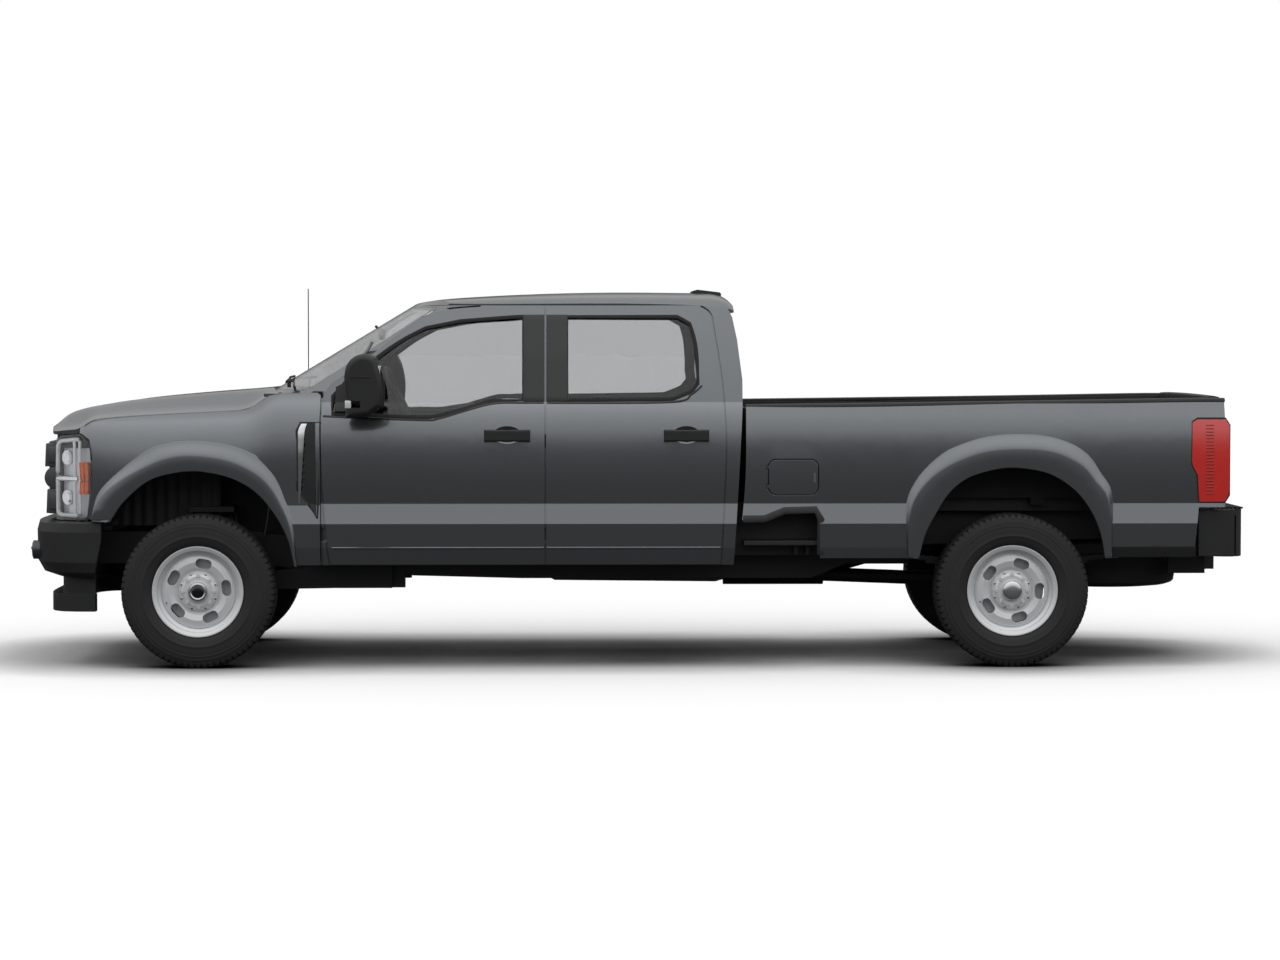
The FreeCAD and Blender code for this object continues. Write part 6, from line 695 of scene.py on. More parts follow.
@dataclass
class Repeater:
    """Geometry Nodes tree that sets a small shape, turned its own way, at every point of a mesh."""

    tree: bpy.types.NodeTree = field(init=False)

    def __post_init__(self) -> None:
        """Build the tree with its named inputs."""
        self.tree = tree = bpy.data.node_groups.new("repeat_on_points", "GeometryNodeTree")
        face = tree.interface
        face.new_socket("Geometry", in_out="OUTPUT", socket_type="NodeSocketGeometry")
        for name, kind in (("Geometry", "NodeSocketGeometry"), ("Shape", "NodeSocketObject"),
                           ("Finish", "NodeSocketMaterial")):
            face.new_socket(name, in_out="INPUT", socket_type=kind)
        start = add(tree, "NodeGroupInput")
        points = add(tree, "GeometryNodeMeshToPoints", {}, {"Mesh": start.outputs["Geometry"]})
        shape = add(tree, "GeometryNodeObjectInfo", {}, {"Object": start.outputs["Shape"]})
        turn = add(tree, "GeometryNodeInputNamedAttribute", {"data_type": "FLOAT_VECTOR", "Name": "turn"})
        euler = add(tree, "FunctionNodeEulerToRotation", {}, {0: turn.outputs["Attribute"]})
        copies = add(tree, "GeometryNodeInstanceOnPoints", {},
                     {"Points": points.outputs[0], "Instance": shape.outputs["Geometry"],
                      "Rotation": euler.outputs[0]})
        real = add(tree, "GeometryNodeRealizeInstances", {}, {0: copies.outputs[0]})
        finish = add(tree, "GeometryNodeSetMaterial", {},
                     {"Geometry": real.outputs[0], "Material": start.outputs["Finish"]})
        add(tree, "NodeGroupOutput", {}, {0: finish.outputs[0]})

    def run(self, form: Form, places: Sequence[tuple[Point, Point]], finish: Finish,
            body: str = "body") -> bpy.types.Object:
        """Copy a form to places and make one piece of them.

        Args:
            form: The small shape, about the origin.
            places: Place and turn (radians about X, Y, Z) of each copy.
            finish: Finish of the copies.
            body: CAD body they ride on.

        Returns:
            The piece with all copies.
        """
        shape = bpy.data.objects.new(form.name + "_shape", form.data())
        spots = bpy.data.meshes.new(form.name)
        spots.from_pydata([place for place, turn in places], [], [])
        attribute = spots.attributes.new("turn", "FLOAT_VECTOR", "POINT")
        attribute.data.foreach_set("vector", [value for place, turn in places for value in turn])
        holder = bpy.data.objects.new(form.name, spots)
        bpy.context.scene.collection.objects.link(holder)
        steps = holder.modifiers.new("repeat", "NODES")
        steps.node_group = self.tree
        values = {"Shape": shape, "Finish": finish.material()}
        for item in self.tree.interface.items_tree:
            if item.in_out == "INPUT" and item.name in values:
                steps[item.identifier] = values[item.name]
        seen = holder.evaluated_get(bpy.context.evaluated_depsgraph_get())
        data = bpy.data.meshes.new_from_object(seen)
        bpy.data.objects.remove(holder)
        bpy.data.objects.remove(shape)
        return place_piece(data, form.name, body)


@dataclass
class Wheel:
    """Road wheel: moulded tyre, hub cap, cover notches and valve on the CAD rim."""

    end: End
    side: Side
    repeater: Repeater
    tyre_steps: int = 144
    cap_steps: int = 64
    pitches: int = 72
    block_half: float = 0.01425
    block_foot: float = 0.4065
    block_top: float = 0.4210
    block_draft: float = 0.0015
    block_round: float = 0.0009
    # How far a block's inner and outer edge lead, as shares of its half length, for each rib outwards
    block_leans: tuple[float, float] = (0.5, -0.2)
    # Reach of each rib's edges; reach and radius round the shoulder lug and the carcass
    ribs: Line = ((-0.016, 0.016), (0.022, 0.050), (0.056, 0.092))
    lug: Line = ((0.092, 0.4065), (0.092, 0.4205), (0.1135, 0.4160), (0.1195, 0.4075), (0.1250, 0.3910),
                 (0.1155, 0.3900))
    lug_width: float = 0.86
    carcass: Line = (
        (0.1066, 0.2340), (0.1066, 0.2515), (0.1180, 0.2560), (0.1235, 0.2640), (0.1285, 0.2730),
        (0.1325, 0.2860), (0.1352, 0.2990), (0.1367, 0.3010), (0.1370, 0.3060), (0.1360, 0.3080),
        (0.1366, 0.3220), (0.1358, 0.3380), (0.1342, 0.3500), (0.1352, 0.3515), (0.1350, 0.3575),
        (0.1330, 0.3590), (0.1312, 0.3690), (0.1318, 0.3705), (0.1302, 0.3790), (0.1275, 0.3810),
        (0.1240, 0.3920), (0.1180, 0.4030), (0.1080, 0.4095), (0.0690, 0.4125))
    cap_ring: Line = ((0.104, 0.0341), (0.114, 0.0363), (0.117, 0.0407), (0.115, 0.05115), (0.106, 0.055))
    cap_centre: Line = ((0.104, AXIS_RADIUS), (0.104, 0.033), (0.112, 0.033), (0.115, 0.0275),
                        (0.1165, 0.0165), (0.1165, AXIS_RADIUS))
    cap_centre_steps: int = 48
    dome_steps: int = 8
    dome_foot: float = 0.104
    dome_edge: float = 0.106
    dome_radius: float = 0.055
    dome_rise: float = 0.016
    dome_fullness: float = 0.6
    notch: Point = (0.0075, 0.004, 0.007)
    notch_round: float = 0.002
    notch_count: int = 8
    notch_ring: float = 0.0985
    notch_face: float = 0.0745
    valve_turn: float = math.radians(200)
    valve_ring: float = 0.196
    valve_reach: float = 0.052
    valve_lean: float = 0.35
    # Start, end and radius of the valve's stem and cap
    valve_parts: tuple[Point, ...] = ((-0.004, 0.022, 0.0045), (0.0215, 0.034, 0.0036))

    def __post_init__(self) -> None:
        """Set the wheel's name, CAD body and middle."""
        self.name = f"{self.end}_{self.side}"
        self.body = "wheel_" + self.name
        self.centre = wheel_centre(self.end, self.side)

    def tyre(self) -> None:
        """Turn the carcass and set the tread blocks round it."""
        inner = [(-reach, radius) for reach, radius in reversed(self.carcass)]
        carcass = Form("Tyre_carcass_" + self.name)
        carcass.lathe([*self.carcass, *inner], self.centre, self.side.value, self.tyre_steps)
        carcass.piece(RUBBER, self.body, ["tyre_" + self.name])
        pitch = Form("Tread_blocks_" + self.name)
        for index, (start, stop) in enumerate(self.ribs):
            near, far = [self.block_half * lean * index for lean in self.block_leans]
            for way in (-1, 1) if index else (1,):
                rows = []
                for z, half in ((self.block_foot, self.block_half),
                                (self.block_top, self.block_half - self.block_draft)):
                    rows.append([(near - half, way * start, z), (near + half, way * start, z),
                                 (far + half, way * stop, z), (far - half, way * stop, z)])
                pitch.skin(rows)
        half = self.block_half * self.lug_width
        for way in (-1, 1):
            pitch.skin([[(x, way * reach, z) for reach, z in self.lug] for x in (-half, half)])
        places = [(self.centre, (0.0, turn, 0.0)) for turn in turns(self.pitches)]
        self.repeater.run(pitch.soften(self.block_round, 1), places, RUBBER, self.body)

    def cap(self) -> None:
        """Turn the hub cap: a bright ring round a dark centre in front, a plain dome at the rear."""
        ring = Form("Hub_cap_ring_" + self.name)
        way = self.side.value
        if self.end is End.FRONT:
            ring.lathe(self.cap_ring, self.centre, way, self.cap_steps)
            middle = Form("Hub_cap_centre_" + self.name)
            middle.lathe(self.cap_centre, self.centre, way, self.cap_centre_steps)
            middle.piece(PLASTIC_GLOSS, self.body)
        else:
            dome = [(self.dome_foot, AXIS_RADIUS), (self.dome_foot, self.dome_radius)]
            for turn in even(0.0, math.pi / 2, self.dome_steps)[1:]:
                radius = self.dome_radius * math.cos(turn) ** self.dome_fullness
                dome.append((self.dome_edge + self.dome_rise * math.sin(turn), max(radius, AXIS_RADIUS)))
            ring.lathe(dome, self.centre, way, self.cap_steps)
        ring.piece(WHEEL_BRIGHT, self.body)

    def fittings(self) -> None:
        """Set the cover's notches and the valve."""
        (x, y, z), way = self.centre, self.side.value
        width, depth, height = self.notch
        notch = Form("Hub_cover_notches_" + self.name)
        notch.block((-width, -depth, self.notch_ring - height), (width, depth, self.notch_ring + height))
        places = [((x, y + way * self.notch_face, z), (0.0, turn, 0.0))
                  for turn in turns(self.notch_count, 0.5)]
        self.repeater.run(notch.soften(self.notch_round), places, WHEEL_BRIGHT, self.body)
        cos, sin = math.cos(self.valve_turn), math.sin(self.valve_turn)
        foot = Vector((x + self.valve_ring * cos, y + way * self.valve_reach, z + self.valve_ring * sin))
        stem = Vector((-cos * self.valve_lean, way, -sin * self.valve_lean)).normalized()
        valve = Form("Tyre_valve_" + self.name)
        for start, stop, radius in self.valve_parts:
            valve.tube([foot + stem * start, foot + stem * stop], radius)
        valve.piece(SEAL, self.body)

    def build(self) -> None:
        """Build the wheel's pieces."""
        self.tyre()
        self.cap()
        self.fittings()


@dataclass
class SideGlass:
    """Seals, belt mouldings, lock, sill creases and pillar plates of the doors."""

    # Half width, rise and sink of a strip; rise and sink of a plate
    seal: Point = (0.011, 0.0025, 0.012)
    belt: Point = (0.006, 0.004, 0.006)
    windows: tuple = (
        (((0.1651, 0.7198),),
         ((0.1801, 0.7580), (0.2110, 0.8092), (0.2477, 0.8671), (0.2783, 0.9024)),
         ((0.3213, 0.9203), (0.3823, 0.9300), (0.3993, 0.9314)),
         ((0.3993, 0.7101),),
         ((0.3577, 0.7072), (0.2975, 0.6705), (0.2718, 0.6647)),
         ((0.1642, 0.6739),)),
        (((0.4519, 0.9314),), ((0.5884, 0.9314),),
         ((0.6040, 0.9130), (0.6103, 0.8599), (0.6134, 0.7536)),
         ((0.6051, 0.7319), (0.5817, 0.7121)),
         ((0.4519, 0.7092),)))
    belts: tuple[Line, Line] = (
        ((0.1535, 0.6680), (0.2718, 0.6575), (0.2975, 0.6630), (0.3577, 0.6995), (0.3993, 0.7030),
         (0.4236, 0.7030)),
        ((0.4274, 0.7030), (0.4519, 0.7025), (0.5817, 0.7050), (0.6051, 0.7250), (0.6180, 0.7480)))
    plates: Line = ((0.3985, 0.4243), (0.4267, 0.4527))
    plate_heights: Spot = (0.7060, 0.9365)
    plate: Spot = (0.0035, 0.004)
    plate_round: float = 0.0012
    creases: Line = ((0.1640, 0.4238), (0.4272, 0.6400))
    crease_height: float = 0.3190
    crease: Point = (0.0065, 0.0045, 0.004)
    lock: Spot = (-0.616, 1.278)
    lock_reaches: Spot = (0.020, 0.0335)
    lock_radius: float = 0.0085
    lock_flats: int = 20

    def build(self, side: Side) -> None:
        """Build the trim of one side.

        Args:
            side: Side of the truck.
        """
        for end, window, belt in zip(End, self.windows, self.belts):
            body = f"door_{end}_{side}"
            loop = [spot for run in window for spot in smooth_run(from_shares(*run))]
            seal = Form(f"Window_seal_{end}_{side}").strip(loop, *self.seal, cab_side, closed=True)
            seal.flip(side).piece(SEAL, body)
            run = smooth_run(from_shares(*belt))
            moulding = Form(f"Belt_moulding_{end}_{side}").strip(run, *self.belt, cab_side)
            moulding.flip(side).piece(PLASTIC_GLOSS, body)
        x, z = self.lock
        barrel = [(x, -(cab_side(z) + reach), z) for reach in self.lock_reaches]
        lock = Form(f"Door_lock_{side}").tube(barrel, self.lock_radius, self.lock_flats)
        lock.flip(side).piece(CHROME, f"door_front_{side}")
        for end, crease_ends, plate_ends in zip(End, self.creases, self.plates):
            body = f"door_{end}_{side}"
            run = from_shares(*[(place, self.crease_height) for place in crease_ends])
            crease = Form(f"Sill_crease_{end}_{side}").strip(run, *self.crease, cab_side)
            crease.flip(side).piece(PAINT, body)
            edges = [from_shares(*[(place, height) for height in self.plate_heights]) for place in plate_ends]
            plate = Form(f"Pillar_plate_{end}_{side}").patch(*edges, *self.plate, cab_side)
            plate.flip(side).soften(self.plate_round).piece(PILLAR_BLACK, body)


@dataclass
class Headlamp:
    """Lamp unit behind its clear lens: housing, light frame, bar lamp and marker."""

    plan: Line = ((-0.1880, 0.665), (-0.1810, 0.740), (-0.1700, 0.800), (-0.1520, 0.860), (-0.1280, 0.905))
    top: Line = ((-0.1900, 0.5940), (-0.1800, 0.6040), (-0.1729, 0.6150), (-0.1440, 0.6190),
                 (-0.1342, 0.6043), (-0.1304, 0.5900))
    rear: Line = ((-0.1371, 0.3894), (-0.1320, 0.4454), (-0.1304, 0.5647), (-0.1342, 0.6043))
    low: float = 0.3905
    front: float = -0.1790
    slope_step: float = 0.002
    levels: int = 14
    columns: int = 18
    housing_depths: Spot = (0.050, 0.060)
    housing_margin: float = 0.006
    lens_depths: Spot = (0.0, 0.003)
    rim: Line = ((-0.1790, 0.3935), (-0.1600, 0.3935), (-0.1392, 0.3945), (-0.1345, 0.4300),
                 (-0.1322, 0.5000), (-0.1318, 0.5600), (-0.1350, 0.6000), (-0.1440, 0.6140),
                 (-0.1700, 0.6100), (-0.1790, 0.5920))
    # Depth behind the lens face and radius of each bar
    rim_bar: Spot = (0.012, 0.009)
    guide_bar: Spot = (0.016, 0.0125)
    guide_rung: Spot = (0.020, 0.0095)
    lamp_bar: Spot = (0.020, 0.016)
    marker_bar: Spot = (0.018, 0.0170)
    guide: Line = ((-0.1500, 0.4030), (-0.1640, 0.4030), (-0.1780, 0.4080), (-0.1800, 0.4500),
                   (-0.1800, 0.5500), (-0.1770, 0.5960), (-0.1640, 0.6030), (-0.1480, 0.6060))
    rungs: Spot = (-0.1560, -0.1480)
    rung_heights: Point = (0.4080, 0.5000, 0.6020)
    lamp_line: Line = ((-0.1790, 0.5010), (-0.1700, 0.5010), (-0.1500, 0.5010))
    bowl_place: float = -0.1690
    bowl_heights: Spot = (0.4500, 0.5560)
    bowl_depths: Spot = (0.050, 0.022)
    # Start and end, as shares of the way to the tip, and radius of each projector's parts
    bowl_parts: tuple[Point, Point] = ((0.0, 0.7, 0.040), (0.6, 1.0, 0.030))
    bowl_flats: int = 28
    markers: Spot = (-0.1392, -0.1450)
    marker_bend: float = 0.0008
    marker_heights: Point = (0.4600, 0.5000, 0.5440)
    # Foot, top and front of the end blocks, in millimetres, with the rear they share
    wing_levels: tuple[Point, Point] = ((841, 975, -860), (1100, 1228, -866))
    wing_back: float = -778
    wing_lean: float = 6
    core_inset: float = 22
    core_back: float = -775
    bulge_middle: Spot = (-812, 1038)
    bulge_radii: Spot = (58, 62)
    bulge_levels: Spot = (975, 1100)
    bulge_steps: int = 12
    wing_inside: float = -0.655
    wing_outside: float = -0.735
    core_outside: float = -0.742
    bulge_outside: float = -0.732
    wing_round: float = 0.004

    def point(self, place: float, z: float, depth: float) -> Point:
        """Point behind the lens face.

        Args:
            place: Share of the wheelbase along the truck.
            z: Height.
            depth: Distance behind the face.

        Returns:
            The point, on the left side.
        """
        reach, fore, aft = [out(across_table(self.plan, place + step))
                            for step in (0.0, -self.slope_step, self.slope_step)]
        way = Vector((WHEELBASE * self.slope_step * 2, fore - aft)).normalized()
        return along(place) - way.y * depth, -(reach - way.x * depth), z

    def shell(self, form: Form, depths: Spot, margin: float) -> Form:
        """Add a skin of even depth behind the lens face, trimmed to the lamp's outline.

        Args:
            form: Form that gets the skin.
            depths: Depth of its outer and of its inner face.
            margin: How far it stays inside the outline.

        Returns:
            The form.
        """
        rows = []
        low = up(self.low) + margin
        for height in even(0.0, 1.0, self.levels):
            spots = []
            for share in even(0.0, 1.0, self.columns):
                guess = self.front + (self.rear[1][0] - self.front) * share
                z = low + (up(across_table(self.top, guess)) - margin - low) * height
                rear = at_height(self.rear, z / HEIGHT) - margin / WHEELBASE
                spots.append((self.front + (rear - self.front) * share, z))
            outer, inner = [[self.point(place, z, depth) for place, z in spots] for depth in depths]
            rows.append(outer + inner[::-1])
        return form.skin(rows)

    def bar(self, form: Form, places: Sequence[Spot], size: Spot, flats: int = 12) -> Form:
        """Add a round bar behind the lens face.

        Args:
            form: Form that gets the bar.
            places: Pairs of place and height share along it.
            size: Its depth behind the face and its radius.
            flats: Number of flats round it.

        Returns:
            The form.
        """
        depth, radius = size
        line = [self.point(place, up(height), depth) for place, height in smooth_run(places)]
        return form.tube(line, radius, flats)

    def lights(self) -> None:
        """Build the light frame, the bar lamp, the projectors and the amber marker."""
        guide = self.bar(Form("Headlamp_light_frame"), self.guide, self.guide_bar)
        for place in self.rungs:
            self.bar(guide, [(place, height) for height in self.rung_heights], self.guide_rung)
        guide.double().piece(LIGHT_GUIDE)
        self.bar(Form("Headlamp_bar_lamp"), self.lamp_line, self.lamp_bar, 14).double().piece(CHROME)
        bowl = Form("Headlamp_projectors")
        for height in self.bowl_heights:
            back, tip = [Vector(self.point(self.bowl_place, up(height), depth)) for depth in self.bowl_depths]
            for start, stop, radius in self.bowl_parts:
                bowl.tube([back.lerp(tip, start), back.lerp(tip, stop)], radius, self.bowl_flats)
        bowl.double().piece(CHROME)
        marker = Form("Headlamp_amber_marker")
        for place in self.markers:
            places = (place, place + self.marker_bend, place)
            self.bar(marker, list(zip(places, self.marker_heights)), self.marker_bar)
        marker.double().piece(AMBER)

    def end_blocks(self) -> None:
        """Build the blocks that end the grille's bars beside the lamps."""
        wing = Form("Grille_end_blocks")
        for low, high, front in self.wing_levels:
            face = from_millimetres((front, low), (self.wing_back, low), (self.wing_back, high),
                                    (front + self.wing_lean, high))
            wing.prism(face, self.wing_inside, self.wing_outside)
            front, low, high = front + self.core_inset, low + self.core_inset, high - self.core_inset
            core = from_millimetres((front, low), (self.core_back, low), (self.core_back, high),
                                    (front, high))
            wing.prism(core, self.wing_inside, self.core_outside)
        (x, z), (long, tall), (low, high) = self.bulge_middle, self.bulge_radii, self.bulge_levels
        bulge = [(x - long * math.cos(turn), z + tall * math.sin(turn))
                 for turn in even(-math.pi / 2, math.pi / 2, self.bulge_steps)]
        wing.prism(from_millimetres(*bulge, (self.wing_back, high), (self.wing_back, low)),
                   self.wing_inside, self.bulge_outside)
        wing.double().soften(self.wing_round).piece(GRILLE_PLASTIC)

    def build(self) -> None:
        """Build both lamps and the blocks beside them."""
        housing = self.shell(Form("Headlamp_housing"), self.housing_depths, self.housing_margin)
        housing.double().piece(LAMP_REFLECTOR, replaces=["headlamps"])
        self.bar(Form("Headlamp_rim"), self.rim, self.rim_bar, 10).double().piece(PLASTIC)
        self.lights()
        self.end_blocks()
        self.shell(Form("Headlamp_lens"), self.lens_depths, 0.0).double().piece(LENS)


@dataclass
class Nose:
    """Grille bar, studs, frames and screen, closing panel, blank plate, fog lamps and wipers."""

    bar_half: float = 0.648
    bar_height: float = 1.040
    bar_radius: float = 0.050
    bar_taper: float = 0.12
    bar_fullness: float = 0.85
    bar_x: float = -3.272
    bar_back: Spot = (0.030, 0.060)
    sweep: float = 0.050
    bar_steps: int = 24
    arc_steps: int = 16
    studs: int = 9
    stud_spread: float = 0.92
    stud_foot: float = -0.011
    stud_steps: int = 20
    stud: Line = ((0.0, 0.0003), (0.0, 0.013), (0.010, 0.011), (0.013, 0.006), (0.0135, 0.0003))
    frames: tuple[tuple[str, float, float], ...] = (("low", 0.846, 0.972), ("high", 1.108, 1.226))
    frame_x: float = -3.264
    frame_sweep: float = 0.052
    frame_half: float = 0.655
    frame_section: Line = ((0.0, -0.011), (-0.018, -0.006), (-0.018, 0.006), (0.0, 0.011), (0.03, 0.011),
                           (0.03, -0.011))
    screen_x: float = -3.205
    screen_sweep: float = 0.045
    screen_half: float = 0.60
    screen_steps: int = 20
    screen_section: Line = ((0.0, 0.86), (0.0, 1.215), (0.004, 1.215), (0.004, 0.86))
    panel_plan: Line = ((-0.1905, 0.0), (-0.1890, 0.40), (-0.1830, 0.60), (-0.1760, 0.72), (-0.1620, 0.80),
                        (-0.1440, 0.855))
    panel_foot: float = 1.205
    panel_depth: float = 0.05
    panel_gap: Spot = (0.004, 0.017)
    plate: tuple[Point, Point] = ((-3.374, -0.160, 0.560), (-3.366, 0.160, 0.675))
    plate_round: float = 0.003
    # Middle of a fog lamp; start, end and radius of its housing and glass
    fog_lamp: Point = (-3.318, 0.735, 0.640)
    fog_housing: Point = (0.03, -0.012, 0.052)
    fog_glass: Point = (-0.010, -0.016, 0.045)
    fog_flats: int = 32
    wipers: tuple[tuple[Point, Point], ...] = (((-1.925, -0.62, 1.565), (-1.940, -0.05, 1.592)),
                                               ((-1.985, -0.02, 1.560), (-1.870, 0.56, 1.592)))
    wiper_bow: Point = (-0.010, 0.0, 0.010)
    wiper_bends: Point = (0.5, 0.5, 0.6)
    wiper_radius: float = 0.007
    spindle: tuple[Point, ...] = ((0.0, 0.0, -0.03), (0.0, 0.0, 0.0), (0.01, 0.02, 0.01))
    spindle_radius: float = 0.011

    def bowed(self, form: Form, section: Sequence[Spot], x: float, sweep: float, half: float,
              parts: int) -> None:
        """Skin a section that runs across the nose and sweeps back at its ends.

        Args:
            form: Form that gets the skin.
            section: Pairs of place behind the front and height.
            x: Place of the front in the middle plane.
            sweep: How far the ends lie behind it.
            half: Half the length across.
            parts: Number of parts across.
        """
        form.skin([[(x + sweep * share * share + back, half * share, z) for back, z in section]
                   for share in even(-1.0, 1.0, parts)])

    def grille(self, repeater: Repeater) -> None:
        """Build the bulging middle bar with its studs, the frames and the screen.

        Args:
            repeater: What sets the studs.
        """
        front, back = self.bar_back
        rows = []
        for share in even(-1.0, 1.0, self.bar_steps):
            size = self.bar_radius * (1 - self.bar_taper * share * share)
            x = self.bar_x + self.sweep * share * share
            section = [(x + front - size * math.cos(turn) * self.bar_fullness, size * math.sin(turn))
                       for turn in even(-math.pi / 2, math.pi / 2, self.arc_steps)]
            section += [(x + back, size), (x + back, -size)]
            rows.append([(place, self.bar_half * share, self.bar_height + z) for place, z in section])
        Form("Grille_middle_bar").skin(rows).piece(GRILLE_PLASTIC)
        stud = Form("Grille_studs").lathe(self.stud, (0, 0, 0), 1, self.stud_steps)
        places = [((self.bar_x + self.sweep * share * share + self.stud_foot, self.bar_half * share,
                    self.bar_height), (0.0, 0.0, math.pi / 2))
                  for share in even(-self.stud_spread, self.stud_spread, self.studs - 1)]
        repeater.run(stud, places, CHROME)
        for name, low, high in self.frames:
            surround = Form("Grille_frame_" + name)
            for middle in (low, high):
                section = [(back, middle + z) for back, z in self.frame_section]
                self.bowed(surround, section, self.frame_x, self.frame_sweep, self.frame_half,
                           self.bar_steps)
            surround.piece(GRILLE_PLASTIC)
        screen = Form("Grille_backing_screen")
        self.bowed(screen, self.screen_section, self.screen_x, self.screen_sweep, self.screen_half,
                   self.screen_steps)
        screen.piece(MESH_BLACK)

    def closing_panel(self) -> None:
        """Build the dark panel that closes the nose between hood, grille and lamps."""
        rows = []
        setback, gap = self.panel_gap
        left = [(place, -share) for place, share in self.panel_plan[:0:-1]]
        for place, share in (*left, *self.panel_plan):
            x, y = along(place) + setback, out(share)
            edge, ridge = across_table(HOOD_EDGE, place), across_table(HOOD_RIDGE, place)
            top = up(edge + (ridge - edge) * across_table(HOOD_RISE, abs(share))) - gap
            rows.append([(x, y, self.panel_foot), (x + self.panel_depth, y, self.panel_foot),
                         (x + self.panel_depth, y, top), (x, y, top)])
        Form("Nose_closing_panel").skin(rows).piece(PLASTIC)

    def bumper(self) -> None:
        """Build the blank plate and the fog lamps."""
        Form("Number_plate_blank").block(*self.plate).soften(self.plate_round).piece(PLATE_WHITE)
        x, y, z = self.fog_lamp
        for side in Side:
            for name, (start, stop, radius), finish in (("Fog_lamp_", self.fog_housing, LAMP_HOUSING),
                                                        ("Fog_lamp_glass_", self.fog_glass, LENS)):
                line = [(x + start, side.value * y, z), (x + stop, side.value * y, z)]
                Form(f"{name}{side}").tube(line, radius, self.fog_flats).piece(finish)

    def wiper_arms(self) -> None:
        """Build the wipers and their spindles."""
        blade = Form("Wipers")
        for start, end in self.wipers:
            foot, tip = Vector(start), Vector(end)
            half, low, high = self.wiper_bends
            middle = foot.lerp(tip, half) + Vector(self.wiper_bow)
            line = [foot, foot.lerp(middle, low), middle, middle.lerp(tip, high), tip]
            blade.tube(line, self.wiper_radius, 8)
            blade.tube([foot + Vector(offset) for offset in self.spindle], self.spindle_radius, 10)
        blade.piece(SEAL)

    def build(self, repeater: Repeater) -> None:
        """Build the nose's pieces.

        Args:
            repeater: What sets the studs.
        """
        self.grille(repeater)
        self.closing_panel()
        self.bumper()
        self.wiper_arms()


